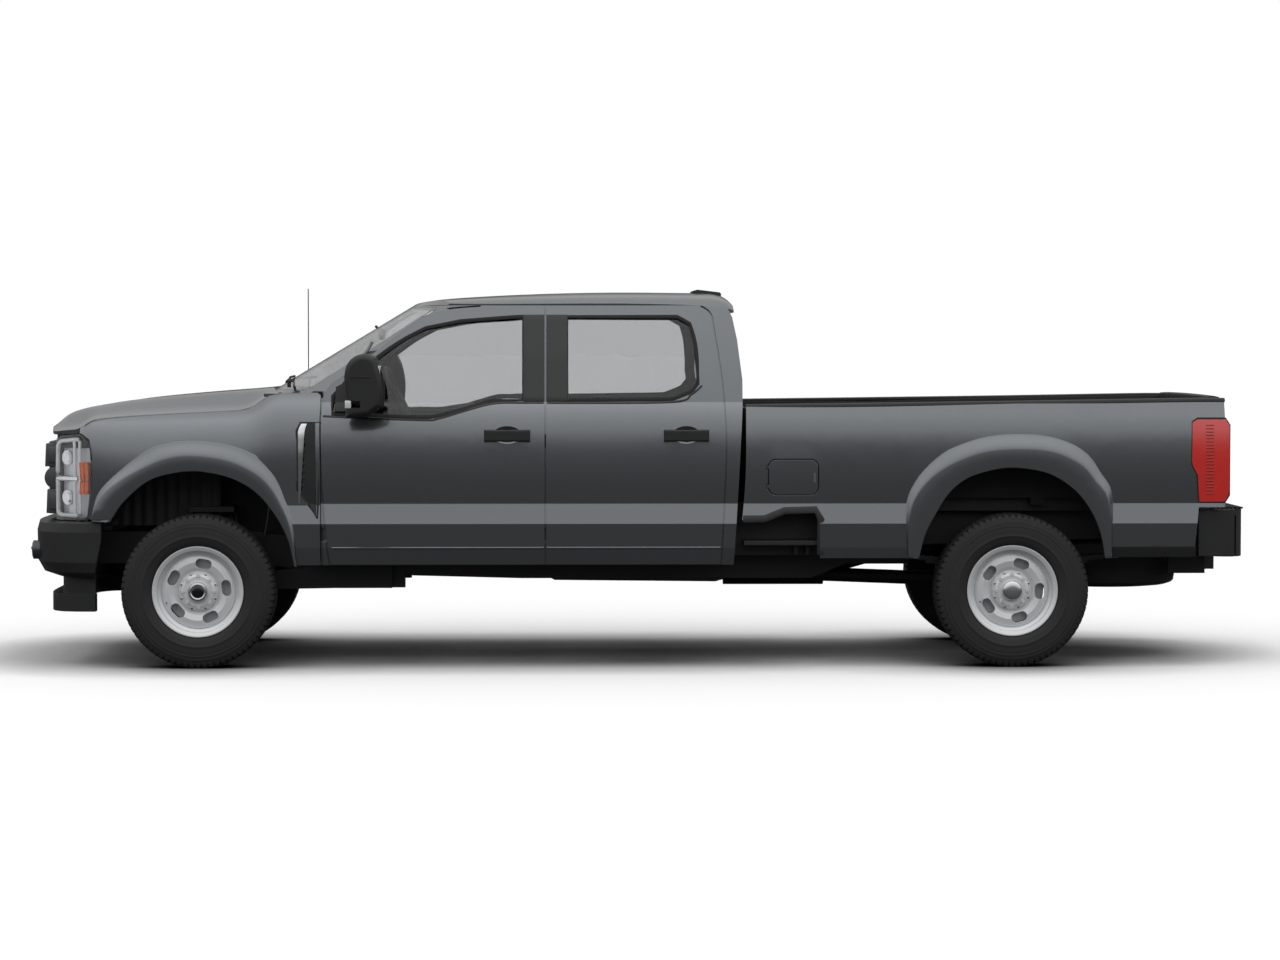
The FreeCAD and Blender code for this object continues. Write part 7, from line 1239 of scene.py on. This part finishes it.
@dataclass
class Flanks:
    """Details on both body sides: flares, vents, mirrors, rail caps and lower trim."""

    flares: tuple[Line, Line] = (
        ((-0.1290, 0.3950), (-0.1150, 0.4600), (-0.0810, 0.5130), (-0.0380, 0.5540), (0.0, 0.5618),
         (0.0456, 0.5430), (0.0828, 0.4942), (0.1051, 0.4188), (0.1160, 0.3450), (0.1205, 0.2780)),
        ((0.8705, 0.2950), (0.8720, 0.3800), (0.8785, 0.4459), (0.8969, 0.4986), (0.9215, 0.5357),
         (0.9582, 0.5676), (0.9951, 0.5783), (1.0443, 0.5725), (1.0812, 0.5382), (1.0998, 0.4932),
         (1.1146, 0.4454), (1.1210, 0.2950)))
    arches: tuple[Line, Line] = (
        ((-0.1062, 0.3950), (-0.0870, 0.4478), (-0.0566, 0.5005), (-0.0199, 0.5213), (0.0040, 0.5227),
         (0.0409, 0.5058), (0.0714, 0.4686), (0.0955, 0.4077), (0.1112, 0.3415), (0.1180, 0.2780)),
        ((0.8840, 0.2950), (0.8908, 0.3531), (0.9031, 0.4063), (0.9215, 0.4671), (0.9459, 0.5068),
         (0.9828, 0.5290), (1.0074, 0.5304), (1.0441, 0.5145), (1.0749, 0.4720), (1.0960, 0.4135),
         (1.1074, 0.3527), (1.1120, 0.2950)))
    arch_steps: int = 48
    swell: float = 0.100
    swell_steps: int = 8
    swell_foot: float = 0.002
    fade: float = 3.0
    lip: float = 1.0170
    # Shares of the way from crease to edge along and down, and how far it stands out past the lip
    lip_section: tuple[Point, ...] = ((0.5, 0.5, 0.001), (1.0, 1.0, 0.0), (1.02, 1.0, -0.004),
                                      (1.0, 1.0, -0.030), (0.0, 0.0, -0.035))
    # Half width, rise and sink of a strip; rise and sink of a plate
    blade: Spot = (0.006, 0.004)
    blade_round: float = 0.0015
    blade_steps: int = 20
    rim: Point = (0.005, 0.003, 0.006)
    notch_strip: Point = (0.020, 0.004, 0.016)
    tail: Spot = (0.006, 0.010)
    fuel_strip: Point = (0.006, 0.0012, 0.002)
    vent_fore: Line = ((553, 905), (551, 1308), (569, 1342))
    vent_aft: Line = ((562, 905), (588, 1308), (600, 1342))
    vent_rim: Line = ((542, 1306), (563, 1347), (673, 1350), (656, 823), (605, 900), (546, 982))
    mirrors: tuple[Line, Line] = (((-1.300, 1.490), (-1.075, 1.660)), ((-1.300, 1.428), (-1.075, 1.480)))
    mirror_faces: Spot = (-1.394, -1.389)
    mirror_round: float = 0.002
    marker: tuple[Point, Point] = ((-1.570, -1.338, 1.432), (-1.485, -1.327, 1.474))
    marker_round: float = 0.003
    seam_radius: float = 0.0035
    cap_seam: tuple[Point, ...] = ((-1.576, -1.300, 1.600), (-1.540, -1.339, 1.600), (-1.440, -1.339, 1.598),
                                   (-1.392, -1.320, 1.596))
    rail: Line = ((3000, 1433), (3844, 1443), (4668, 1454), (5438, 1467), (5640, 1467))
    rail_section: Line = ((-0.845, -0.004), (-0.845, 0.010), (-0.875, 0.013), (-0.931, 0.013),
                          (-0.941, 0.009), (-0.9455, 0.0), (-0.9455, -0.009), (-0.939, -0.009),
                          (-0.939, -0.004))
    notch: Line = ((2985, 818), (3105, 820), (3213, 864), (3384, 869), (3412, 816), (3412, 622))
    well_round: float = 0.002
    well: tuple[Point, Point] = ((0.515, -0.765, 0.605), (1.015, -0.760, 0.900))
    tail_fore: Line = ((4985, 606), (4972, 640), (4966, 668))
    tail_aft: Line = ((5474, 672), (5476, 684), (5478, 696))
    fuel_notch: Line = ((3378, 1020), (3378, 1070))

    def arch(self, end: End, side: Side) -> None:
        """Build the pressed flare over a wheel: a swell that rises to a crease, then an upright face.

        Args:
            end: Axle.
            side: Side of the truck.
        """
        index, surface = (0, cab_side) if end is End.FRONT else (1, bed_side)
        crease, edge = [resampled(from_shares(*lines[index]), self.arch_steps)
                        for lines in (self.flares, self.arches)]
        rows = []
        for step, ((x0, z0), (x1, z1)) in enumerate(zip(crease, edge)):
            nearer = min(step, self.arch_steps - step)
            reach = self.swell * min(1.0, self.fade * nearer / self.arch_steps)
            way = Vector((x0 - x1, z0 - z1)).normalized() * reach
            row = []
            for share in even(0.0, 1.0, self.swell_steps):
                x, z = x0 + way.x * (1 - share), z0 + way.y * (1 - share)
                body = surface(z) - self.swell_foot
                row.append((x, -(body + (self.lip - body) * share * share * (3 - 2 * share)), z))
            rows.append(row + [(x0 + (x1 - x0) * back, -self.lip - proud, z0 + (z1 - z0) * down)
                               for back, down, proud in self.lip_section])
        Form(f"Wheel_arch_{end}_{side}").skin(rows).flip(side).piece(PAINT)

    def vent(self, side: Side) -> None:
        """Build the bright blade that tapers down in front of the fender vent, and the vent's rim.

        Args:
            side: Side of the truck.
        """
        edges = from_millimetres(*self.vent_fore), from_millimetres(*self.vent_aft)
        blade = Form(f"Vent_blade_{side}").patch(*edges, *self.blade, cab_side, self.blade_steps)
        blade.flip(side).soften(self.blade_round).piece(CHROME)
        line = from_millimetres(*self.vent_rim)
        rim = Form(f"Vent_surround_{side}").strip(line, *self.rim, cab_side, closed=True)
        rim.flip(side).piece(PLASTIC_GLOSS)

    def mirror(self, side: Side) -> None:
        """Build the mirror's glass, its side marker and its cap seam.

        Args:
            side: Side of the truck.
        """
        body = f"door_front_{side}"
        front, back = self.mirror_faces
        glass = Form(f"Mirror_glass_{side}")
        for low, high in self.mirrors:
            glass.block((front, *low), (back, *high))
        glass.flip(side).soften(self.mirror_round).piece(MIRROR_GLASS, body)
        marker = Form(f"Mirror_marker_{side}").block(*self.marker).flip(side)
        marker.soften(self.marker_round).piece(LENS_WHITE, body)
        seam = Form(f"Mirror_cap_seam_{side}").tube(self.cap_seam, self.seam_radius, 8)
        seam.flip(side).piece(SEAL, body)

    def rail_cap(self, side: Side) -> None:
        """Build the moulded cap on the bed's top edge."""
        rows = [[(x, y, z + rise) for y, rise in self.rail_section]
                for x, z in smooth_run(from_millimetres(*self.rail))]
        Form(f"Bed_rail_cap_{side}").skin(rows).flip(side).piece(PLASTIC)

    def lower_trim(self, side: Side) -> None:
        """Build the step notch's surround and well and the moulding behind the rear wheel.

        Args:
            side: Side of the truck.
        """
        notch = Form(f"Step_notch_surround_{side}")
        notch.strip(from_millimetres(*self.notch), *self.notch_strip, bed_side).flip(side).piece(PLASTIC)
        well = Form(f"Step_well_{side}").block(*self.well).flip(side)
        well.soften(self.well_round, 1).piece(CHASSIS)
        edges = from_millimetres(*self.tail_fore), from_millimetres(*self.tail_aft)
        Form(f"Lower_moulding_{side}").patch(*edges, *self.tail, bed_side).flip(side).piece(PLASTIC)

    def build(self) -> None:
        """Build the details of both sides."""
        for side in Side:
            for end in End:
                self.arch(end, side)
            self.vent(side)
            self.mirror(side)
            self.rail_cap(side)
            self.lower_trim(side)
        notch = Form("Fuel_door_notch")
        notch.strip(from_millimetres(*self.fuel_notch), *self.fuel_strip, bed_side)
        notch.piece(CHROME, "fuel_door")


@dataclass
class BedEnd:
    """Tail-lamp seals and flutes, tailgate cap, handle and pressings, bumper treads and stop-lamp lens."""

    lamp: Line = ((1.2206, 0.6512), (1.2268, 0.6609), (1.2617, 0.6609), (1.2664, 0.6435), (1.2658, 0.4570),
                  (1.2609, 0.4386), (1.2286, 0.4386), (1.2260, 0.5106), (1.2197, 0.5372))
    seal: Point = (0.005, 0.0015, 0.004)
    flute: Point = (0.022, 0.0022, 0.0030)
    flute_round: float = 0.0015
    flutes: int = 22
    flute_place: float = 1.2420
    flute_heights: Spot = (0.955, 1.330)
    flute_proud: float = 0.0006
    gate_half: float = 0.770
    gate_rear: float = 3.2375
    gate_top: float = 1.480
    gate_crown: float = 0.004
    gate_steps: int = 24
    # Place behind the gate, height above its top and share of the crown, round the cap's section
    cap: tuple[Point, ...] = ((-0.070, 0.001, 0), (-0.066, 0.006, 1), (-0.02, 0.008, 1), (0.003, 0.002, 1),
                              (0.003, -0.016, 0), (-0.004, -0.016, 0), (-0.004, 0.001, 0))
    # Front, rear, half width, foot, top and rounding, behind the gate's rear face
    handle: tuple[tuple[float, ...], ...] = ((-0.004, 0.006, 0.125, 1.330, 1.395, 0.006, 3),
                                             (0.004, 0.0105, 0.095, 1.350, 1.378, 0.003, 2))
    pressings: tuple[tuple[str, float, float], ...] = (("upper", 1.215, 1.300), ("lower", 0.990, 1.195))
    pressing: Point = (-0.003, 0.0035, 0.700)
    pressing_round: float = 0.0035
    tread_x: float = 3.185
    tread_pitch: float = 0.026
    tread_width: float = 0.012
    tread_count: int = 7
    tread_heights: Spot = (0.868, 0.8775)
    tread_round: float = 0.002
    side_pad: Spot = (-0.900, -0.420)
    middle_pad: Spot = (-0.330, 0.330)
    lens_round: float = 0.003
    lens: tuple[Point, Point] = ((0.4925, -0.150, 2.050), (0.5005, 0.150, 2.066))

    def tail_lamps(self, repeater: Repeater) -> None:
        """Build the gap seals and the flutes.

        Args:
            repeater: What sets the flutes.
        """
        for side in Side:
            seal = Form(f"Tail_lamp_seal_{side}")
            seal.strip(from_shares(*self.lamp), *self.seal, bed_side, closed=True)
            seal.flip(side).piece(SEAL)
        x, y, z = self.flute
        for side in Side:
            flute = Form(f"Tail_lamp_flutes_{side}").block((-x, -y, -z), (x, y, z))
            places = [((along(self.flute_place), side.value * (bed_side(height) + self.flute_proud), height),
                       (0.0, 0.0, 0.0)) for height in even(*self.flute_heights, self.flutes - 1)]
            repeater.run(flute.soften(self.flute_round), places, RED_DARK)

    def gate(self) -> None:
        """Build the tailgate's top cap, its handle and its pressed panels."""
        x, top = self.gate_rear, self.gate_top
        rows = []
        for share in even(-1.0, 1.0, self.gate_steps):
            lift = self.gate_crown * (1 - share ** 2)
            rows.append([(x + back, self.gate_half * share, top + rise + lift * crown)
                         for back, rise, crown in self.cap])
        Form("Tailgate_top_cap").skin(rows).piece(PLASTIC, "tailgate")
        handle = Form("Tailgate_handle")
        for front, rear, half, foot, head, radius, segments in self.handle:
            handle.block((x + front, -half, foot), (x + rear, half, head)).soften(radius, segments)
        handle.piece(PLASTIC_GLOSS, "tailgate")
        front, rear, half = self.pressing
        for name, low, high in self.pressings:
            rib = Form("Tailgate_pressing_" + name).block((x + front, -half, low), (x + rear, half, high))
            rib.soften(self.pressing_round, 3).piece(PAINT, "tailgate")

    def tread(self, name: str, ends: Spot, side: Side = Side.LEFT) -> None:
        """Build one pad of tread bars on the rear bumper.

        Args:
            name: Name of the piece.
            ends: Places across the truck of the bars' two ends.
            side: Side of the truck.
        """
        pad = Form(name)
        (start, end), (low, high) = ends, self.tread_heights
        for step in range(self.tread_count):
            x = self.tread_x + self.tread_pitch * step
            pad.block((x, start, low), (x + self.tread_width, end, high))
        pad.flip(side).soften(self.tread_round, 1).piece(PLASTIC)

    def build(self, repeater: Repeater) -> None:
        """Build the bed end's pieces.

        Args:
            repeater: What sets the flutes.
        """
        self.tail_lamps(repeater)
        self.gate()
        for side in Side:
            self.tread(f"Rear_bumper_tread_{side}", self.side_pad, side)
        self.tread("Rear_bumper_middle_tread", self.middle_pad)
        Form("Stop_lamp_lens").block(*self.lens).soften(self.lens_round).piece(RED_LENS)


@dataclass
class Seating:
    """Padded seats: sewn cushions swelled by pressure over firm bases."""

    cushion: Line = ((0.272, 0.4455), (0.270, 0.4700), (0.273, 0.4960), (0.290, 0.5070), (0.330, 0.4990),
                     (0.368, 0.4890), (0.383, 0.4700), (0.384, 0.4380), (0.330, 0.4400))
    backrest: Line = ((0.366, 0.4580), (0.380, 0.4560), (0.395, 0.4580), (0.414, 0.5800), (0.432, 0.7050),
                      (0.425, 0.7240), (0.406, 0.7180), (0.386, 0.5900))
    headrest: Line = ((0.4175, 0.7410), (0.4330, 0.7370), (0.4425, 0.8030), (0.4350, 0.8140),
                      (0.4225, 0.8090))
    plinth: Line = ((0.291, 0.3620), (0.291, 0.4460), (0.374, 0.4400), (0.374, 0.3620))
    rows: tuple[tuple[str, float, float], ...] = (("front", 0.0, 0.190), ("rear", 0.205, 0.004))
    outside: float = 0.680
    plinth_ends: Spot = (1.02, 0.98)
    plinth_round: float = 0.012
    head_half: float = 0.122
    keep: float = 0.94
    crown: float = 0.16
    crown_power: int = 7
    rings: int = 20
    held: float = 0.5
    frames: int = 12
    pressure: float = 3.0
    stiffness: float = 60
    bending: float = 2
    cover_mass: float = 0.4

    def pad(self, name: str, outline: Sequence[Spot], start: float, end: float, shift: float) -> None:
        """Build one cushion, add it as a piece and let it swell.

        Args:
            name: Name of the piece.
            outline: Its side section, as shares.
            start: Reach of its inner end.
            end: Reach of its outer end.
            shift: How far it stands behind the front row, as a share.
        """
        closed = [(x + shift, z) for x, z in (*outline, outline[0])]
        section = smooth_run(from_shares(*closed), 4)[:-1]
        middle_x, middle_z = [sum(values) / len(section) for values in zip(*section)]
        rows = []
        for share in even(-1.0, 1.0, self.rings):
            size = self.keep * (1 - abs(share) ** self.crown_power * self.crown)
            y = (start + end) / 2 + (end - start) / 2 * self.keep * share
            rows.append([(middle_x + (x - middle_x) * size, y, middle_z + (z - middle_z) * size)
                         for x, z in section])
        made = Form(name).skin(rows).piece(CLOTH, "body", ["seats"])
        self.swell(made, middle_z)

    def swell(self, made: bpy.types.Object, middle: float) -> None:
        """Let the cover swell under pressure with its underside held.

        Args:
            made: The cushion.
            middle: Height of its middle.
        """
        group = made.vertex_groups.new(name="held")
        low = min(vertex.co.z for vertex in made.data.vertices)
        floor = low + (middle - low) * self.held
        group.add([vertex.index for vertex in made.data.vertices if vertex.co.z < floor], 1.0, "REPLACE")
        cover = made.modifiers.new("cover", "CLOTH")
        for name, value in {"quality": 6, "mass": self.cover_mass, "tension_stiffness": self.stiffness,
                            "compression_stiffness": self.stiffness, "bending_stiffness": self.bending,
                            "use_pressure": True, "uniform_pressure_force": self.pressure,
                            "vertex_group_mass": "held"}.items():
            setattr(cover.settings, name, value)
        cover.settings.effector_weights.gravity = 0
        cover.point_cache.frame_start = 1
        cover.point_cache.frame_end = self.frames
        scene = bpy.context.scene
        for moment in range(1, self.frames + 1):
            scene.frame_set(moment)
        seen = made.evaluated_get(bpy.context.evaluated_depsgraph_get())
        swollen = bpy.data.meshes.new_from_object(seen)
        made.modifiers.clear()
        made.vertex_groups.clear()
        made.data = swollen
        scene.frame_set(1)

    def build(self) -> None:
        """Build both rows."""
        for row, shift, inner in self.rows:
            for side in Side:
                name = f"{row}_{side}"
                start, end = side.value * inner, side.value * self.outside
                self.pad("Cushion_" + name, self.cushion, start, end, shift)
                self.pad("Backrest_" + name, self.backrest, start, end, shift)
                low, high = [(start + end) / 2 + way * self.head_half for way in (-1, 1)]
                self.pad("Headrest_" + name, self.headrest, low, high, shift)
                outline = from_shares(*[(x + shift, z) for x, z in self.plinth])
                near, far = self.plinth_ends
                plinth = Form("Cushion_plinth_" + name).prism(outline, start * near, end * far)
                plinth.soften(self.plinth_round, 3).piece(CABIN, "body", ["seats"])


@dataclass
class Cabin:
    """Instrument hood, centre screen, grab handles and inner mirror."""

    hood: Line = ((-1.545, 1.400), (-1.440, 1.400), (-1.445, 1.435), (-1.520, 1.444), (-1.548, 1.430))
    hood_ends: Spot = (-0.60, -0.26)
    screen: tuple[Point, Point] = ((-1.452, -0.140, 1.290), (-1.442, 0.140, 1.430))
    hood_round: float = 0.008
    screen_round: float = 0.004
    mirror_round: float = 0.010
    grip_radius: float = 0.010
    arm_radius: float = 0.008
    grip: tuple[Point, ...] = ((-1.600, -0.790, 1.610), (-1.575, -0.765, 1.640), (-1.480, -0.742, 1.745),
                               (-1.455, -0.748, 1.790))
    mirror: tuple[Point, Point] = ((-1.455, -0.125, 1.800), (-1.430, 0.125, 1.865))
    mirror_arm: tuple[Point, Point] = ((-1.450, 0.0, 1.850), (-1.480, 0.0, 1.880))

    def build(self) -> None:
        """Build the cabin's pieces."""
        Form("Instrument_hood").prism(self.hood, *self.hood_ends).soften(self.hood_round, 3).piece(CABIN)
        Form("Centre_screen").block(*self.screen).soften(self.screen_round).piece(PLASTIC_GLOSS)
        for side in Side:
            Form(f"Grab_handle_{side}").tube(self.grip, self.grip_radius).flip(side).piece(CABIN_LIGHT)
        head = Form("Inner_mirror").block(*self.mirror).soften(self.mirror_round, 3)
        head.tube(self.mirror_arm, self.arm_radius, 10).piece(CABIN)


@dataclass
class Underbody:
    """Brake discs and hoses, inner wings and rear shields seen through the arches."""

    disc_faces: Line = ((-0.030, -0.040), (-0.046, -0.056))
    disc_radii: Spot = (0.100, 0.178)
    disc_steps: int = 72
    hose_radius: float = 0.0055
    hose: tuple[Point, ...] = ((-2.120, -0.470, 0.640), (-2.080, -0.480, 0.700), (-2.060, -0.485, 0.800),
                               (-2.050, -0.490, 0.900))
    wing_ends: Spot = (-2.960, -2.320)
    wing_steps: int = 40
    wing_rib: float = 0.004
    wing_section: Line = ((-0.500, 0.760), (-0.500, 1.190), (-0.496, 1.190), (-0.496, 0.760))
    shield_round: float = 0.002
    shields: tuple[tuple[Point, Point], ...] = (((1.580, -0.565, 0.840), (2.580, -0.560, 0.925)),
                                                ((1.080, -0.420, 0.535), (1.540, -0.415, 0.660)))

    def brakes(self) -> None:
        """Build a vented disc behind each wheel."""
        hub, rim = self.disc_radii
        for end in End:
            for side in Side:
                disc = Form(f"Brake_disc_{end}_{side}")
                for near, far in self.disc_faces:
                    profile = ((near, hub), (near, rim), (far, rim), (far, hub))
                    disc.lathe(profile, wheel_centre(end, side), side.value, self.disc_steps)
                disc.piece(CAST, f"wheel_{end}_{side}")

    def panels(self) -> None:
        """Build the ribbed panels that close the front arches, and the shields over the rear axle."""
        for side in Side:
            rows = []
            for step, x in enumerate(even(*self.wing_ends, self.wing_steps)):
                bow = self.wing_rib * math.cos(step * math.pi / 2)
                rows.append([(x, y + bow, z) for y, z in self.wing_section])
            Form(f"Inner_wing_{side}").skin(rows).flip(side).piece(CHASSIS)
            shield = Form(f"Rear_shields_{side}")
            for low, high in self.shields:
                shield.block(low, high)
            shield.flip(side).soften(self.shield_round, 1).piece(CHASSIS)

    def build(self) -> None:
        """Build the underbody's pieces."""
        self.brakes()
        for side in Side:
            Form(f"Brake_hose_{side}").tube(self.hose, self.hose_radius, 8).flip(side).piece(ALUMINIUM)
        self.panels()


@dataclass
class Studio:
    """Camera, sky and floor."""

    eye: Point = (-0.354, -20.075, 1.794)
    yaw: float = 1.1234
    pitch: float = 2.2842
    focal_pixels: float = 3488.8
    picture_width: int = 1280
    sensor: float = 36.0
    floor_half: float = 400.0
    shoulder_height: float = 0.26
    zenith_start: float = 0.30
    far_band: Spot = (-0.2, 0.8)
    speck_scale: float = 0.4
    speck_tones: Spot = (0.985, 1.0)
    # Samples of the ambient occlusion that paints the floor's shadow
    shadow_samples: int = 16
    horizon: float = 0.11
    shoulder: float = 0.95
    zenith: float = 1.55
    far_side: float = 0.45
    ground: float = 0.10
    # Reach and strength of the ambient occlusion that darkens the floor's colour near the body: a painted
    # shadow
    shadow_reach: float = 0.75
    shadow_depth: float = 2.2

    def camera(self) -> None:
        """Put up the camera at the photograph's place."""
        data = bpy.data.cameras.new("camera")
        data.sensor_width = self.sensor
        data.lens = self.focal_pixels * self.sensor / self.picture_width
        data.clip_end = self.floor_half * 4
        eye = bpy.data.objects.new("camera", data)
        bpy.context.scene.collection.objects.link(eye)
        eye.location = self.eye
        eye.rotation_euler = (math.radians(90 - self.pitch), 0, math.radians(-self.yaw))
        bpy.context.scene.camera = eye

    def swap(self, tree: bpy.types.NodeTree, lit: bpy.types.Node, seen: bpy.types.Node, end: str) -> None:
        """Finish a tree that shows one shader to the lens, also through glass, and another one to the light.

        Args:
            tree: The tree.
            lit: Shader that lights the body.
            seen: Shader that the lens sees.
            end: Node type name of the tree's output.
        """
        path = add(tree, "ShaderNodeLightPath")
        choice = add(tree, "ShaderNodeMath", {"operation": "MAXIMUM"},
                     {0: path.outputs["Is Camera Ray"], 1: path.outputs["Is Transmission Ray"]})
        mix = add(tree, "ShaderNodeMixShader", {},
                  {0: choice.outputs[0], 1: lit.outputs[0], 2: seen.outputs[0]})
        add(tree, end, {}, {"Surface": mix.outputs[0]})

    def sky(self) -> None:
        """Light from all round: dim at the horizon and bright overhead, white where the lens sees it."""
        world = bpy.data.worlds.new("studio")
        bpy.context.scene.world = world
        world.use_nodes = True
        tree = world.node_tree
        tree.nodes.clear()
        place = add(tree, "ShaderNodeTexCoord")
        way = add(tree, "ShaderNodeSeparateXYZ", {}, {0: place.outputs["Generated"]})
        low = add(tree, "ShaderNodeMapRange", {"interpolation_type": "SMOOTHSTEP", "From Min": 0.0,
                                               "From Max": self.shoulder_height,
                                               "To Min": self.horizon, "To Max": self.shoulder},
                  {"Value": way.outputs["Z"]})
        high = add(tree, "ShaderNodeMapRange", {"From Min": self.zenith_start, "From Max": 1.0, "To Min": 0.0,
                                                "To Max": self.zenith - self.shoulder},
                   {"Value": way.outputs["Z"]})
        total = add(tree, "ShaderNodeMath", {"operation": "ADD"}, {0: low.outputs[0], 1: high.outputs[0]})
        near, back = self.far_band
        far = add(tree, "ShaderNodeMapRange", {"From Min": near, "From Max": back, "To Min": 1.0,
                                               "To Max": self.far_side}, {"Value": way.outputs["Y"]})
        level = add(tree, "ShaderNodeMath", {"operation": "MULTIPLY"},
                    {0: total.outputs[0], 1: far.outputs[0]})
        light = add(tree, "ShaderNodeBackground", {"Color": (1, 1, 1, 1)}, {"Strength": level.outputs[0]})
        white = add(tree, "ShaderNodeBackground", {"Color": (1, 1, 1, 1), "Strength": 1.0})
        self.swap(tree, light, white, "ShaderNodeOutputWorld")

    def floor(self) -> None:
        """Lay the floor: pale where the lens sees it, dim where it would light the body from below. Ambient
        occlusion darkens its pale colour near the body: a painted shadow under the truck.
        """
        mesh = bpy.data.meshes.new("floor")
        half = self.floor_half
        mesh.from_pydata([(-half, -half, 0), (half, -half, 0), (half, half, 0), (-half, half, 0)], [],
                         [(0, 1, 2, 3)])
        floor = bpy.data.objects.new("floor", mesh)
        bpy.context.scene.collection.objects.link(floor)
        material = bpy.data.materials.new("Painted_studio_floor")
        material.use_nodes = True
        tree = material.node_tree
        tree.nodes.clear()
        low, high = self.speck_tones
        speck = add(tree, "ShaderNodeTexNoise", {"Scale": self.speck_scale, "Detail": 2.0})
        tone = add(tree, "ShaderNodeMapRange", {"To Min": low, "To Max": high}, {"Value": speck.outputs[0]})
        # Painted shadow: ambient occlusion darkens the floor's colour under and beside the truck
        painted_shadow = add(tree, "ShaderNodeAmbientOcclusion", {"samples": self.shadow_samples,
                                                        "Distance": self.shadow_reach})
        deep = add(tree, "ShaderNodeMath", {"operation": "POWER", 1: self.shadow_depth},
                   {0: painted_shadow.outputs["AO"]})
        shade = add(tree, "ShaderNodeMath", {"operation": "MULTIPLY"},
                    {0: tone.outputs[0], 1: deep.outputs[0]})
        pale = add(tree, "ShaderNodeBsdfDiffuse", {}, {"Color": shade.outputs[0]})
        dim = add(tree, "ShaderNodeBsdfDiffuse", {"Color": (self.ground, self.ground, self.ground, 1)})
        self.swap(tree, dim, pale, "ShaderNodeOutputMaterial")
        mesh.materials.append(material)

    def build(self) -> None:
        """Set up the whole studio."""
        bpy.context.scene.view_settings.view_transform = "Standard"
        self.camera()
        self.sky()
        self.floor()


def main() -> None:
    """Build every sub-assembly in order."""
    logging.basicConfig(level=logging.INFO, format="%(name)s: %(message)s")
    dress_cad_nodes()
    repeater = Repeater()
    for end in End:
        for side in Side:
            Wheel(end, side, repeater).build()
    for side in Side:
        SideGlass().build(side)
    Headlamp().build()
    Nose().build(repeater)
    Flanks().build()
    BedEnd().build(repeater)
    Seating().build()
    Cabin().build()
    Underbody().build()
    Studio().build()


if __name__ == "__main__":
    main()
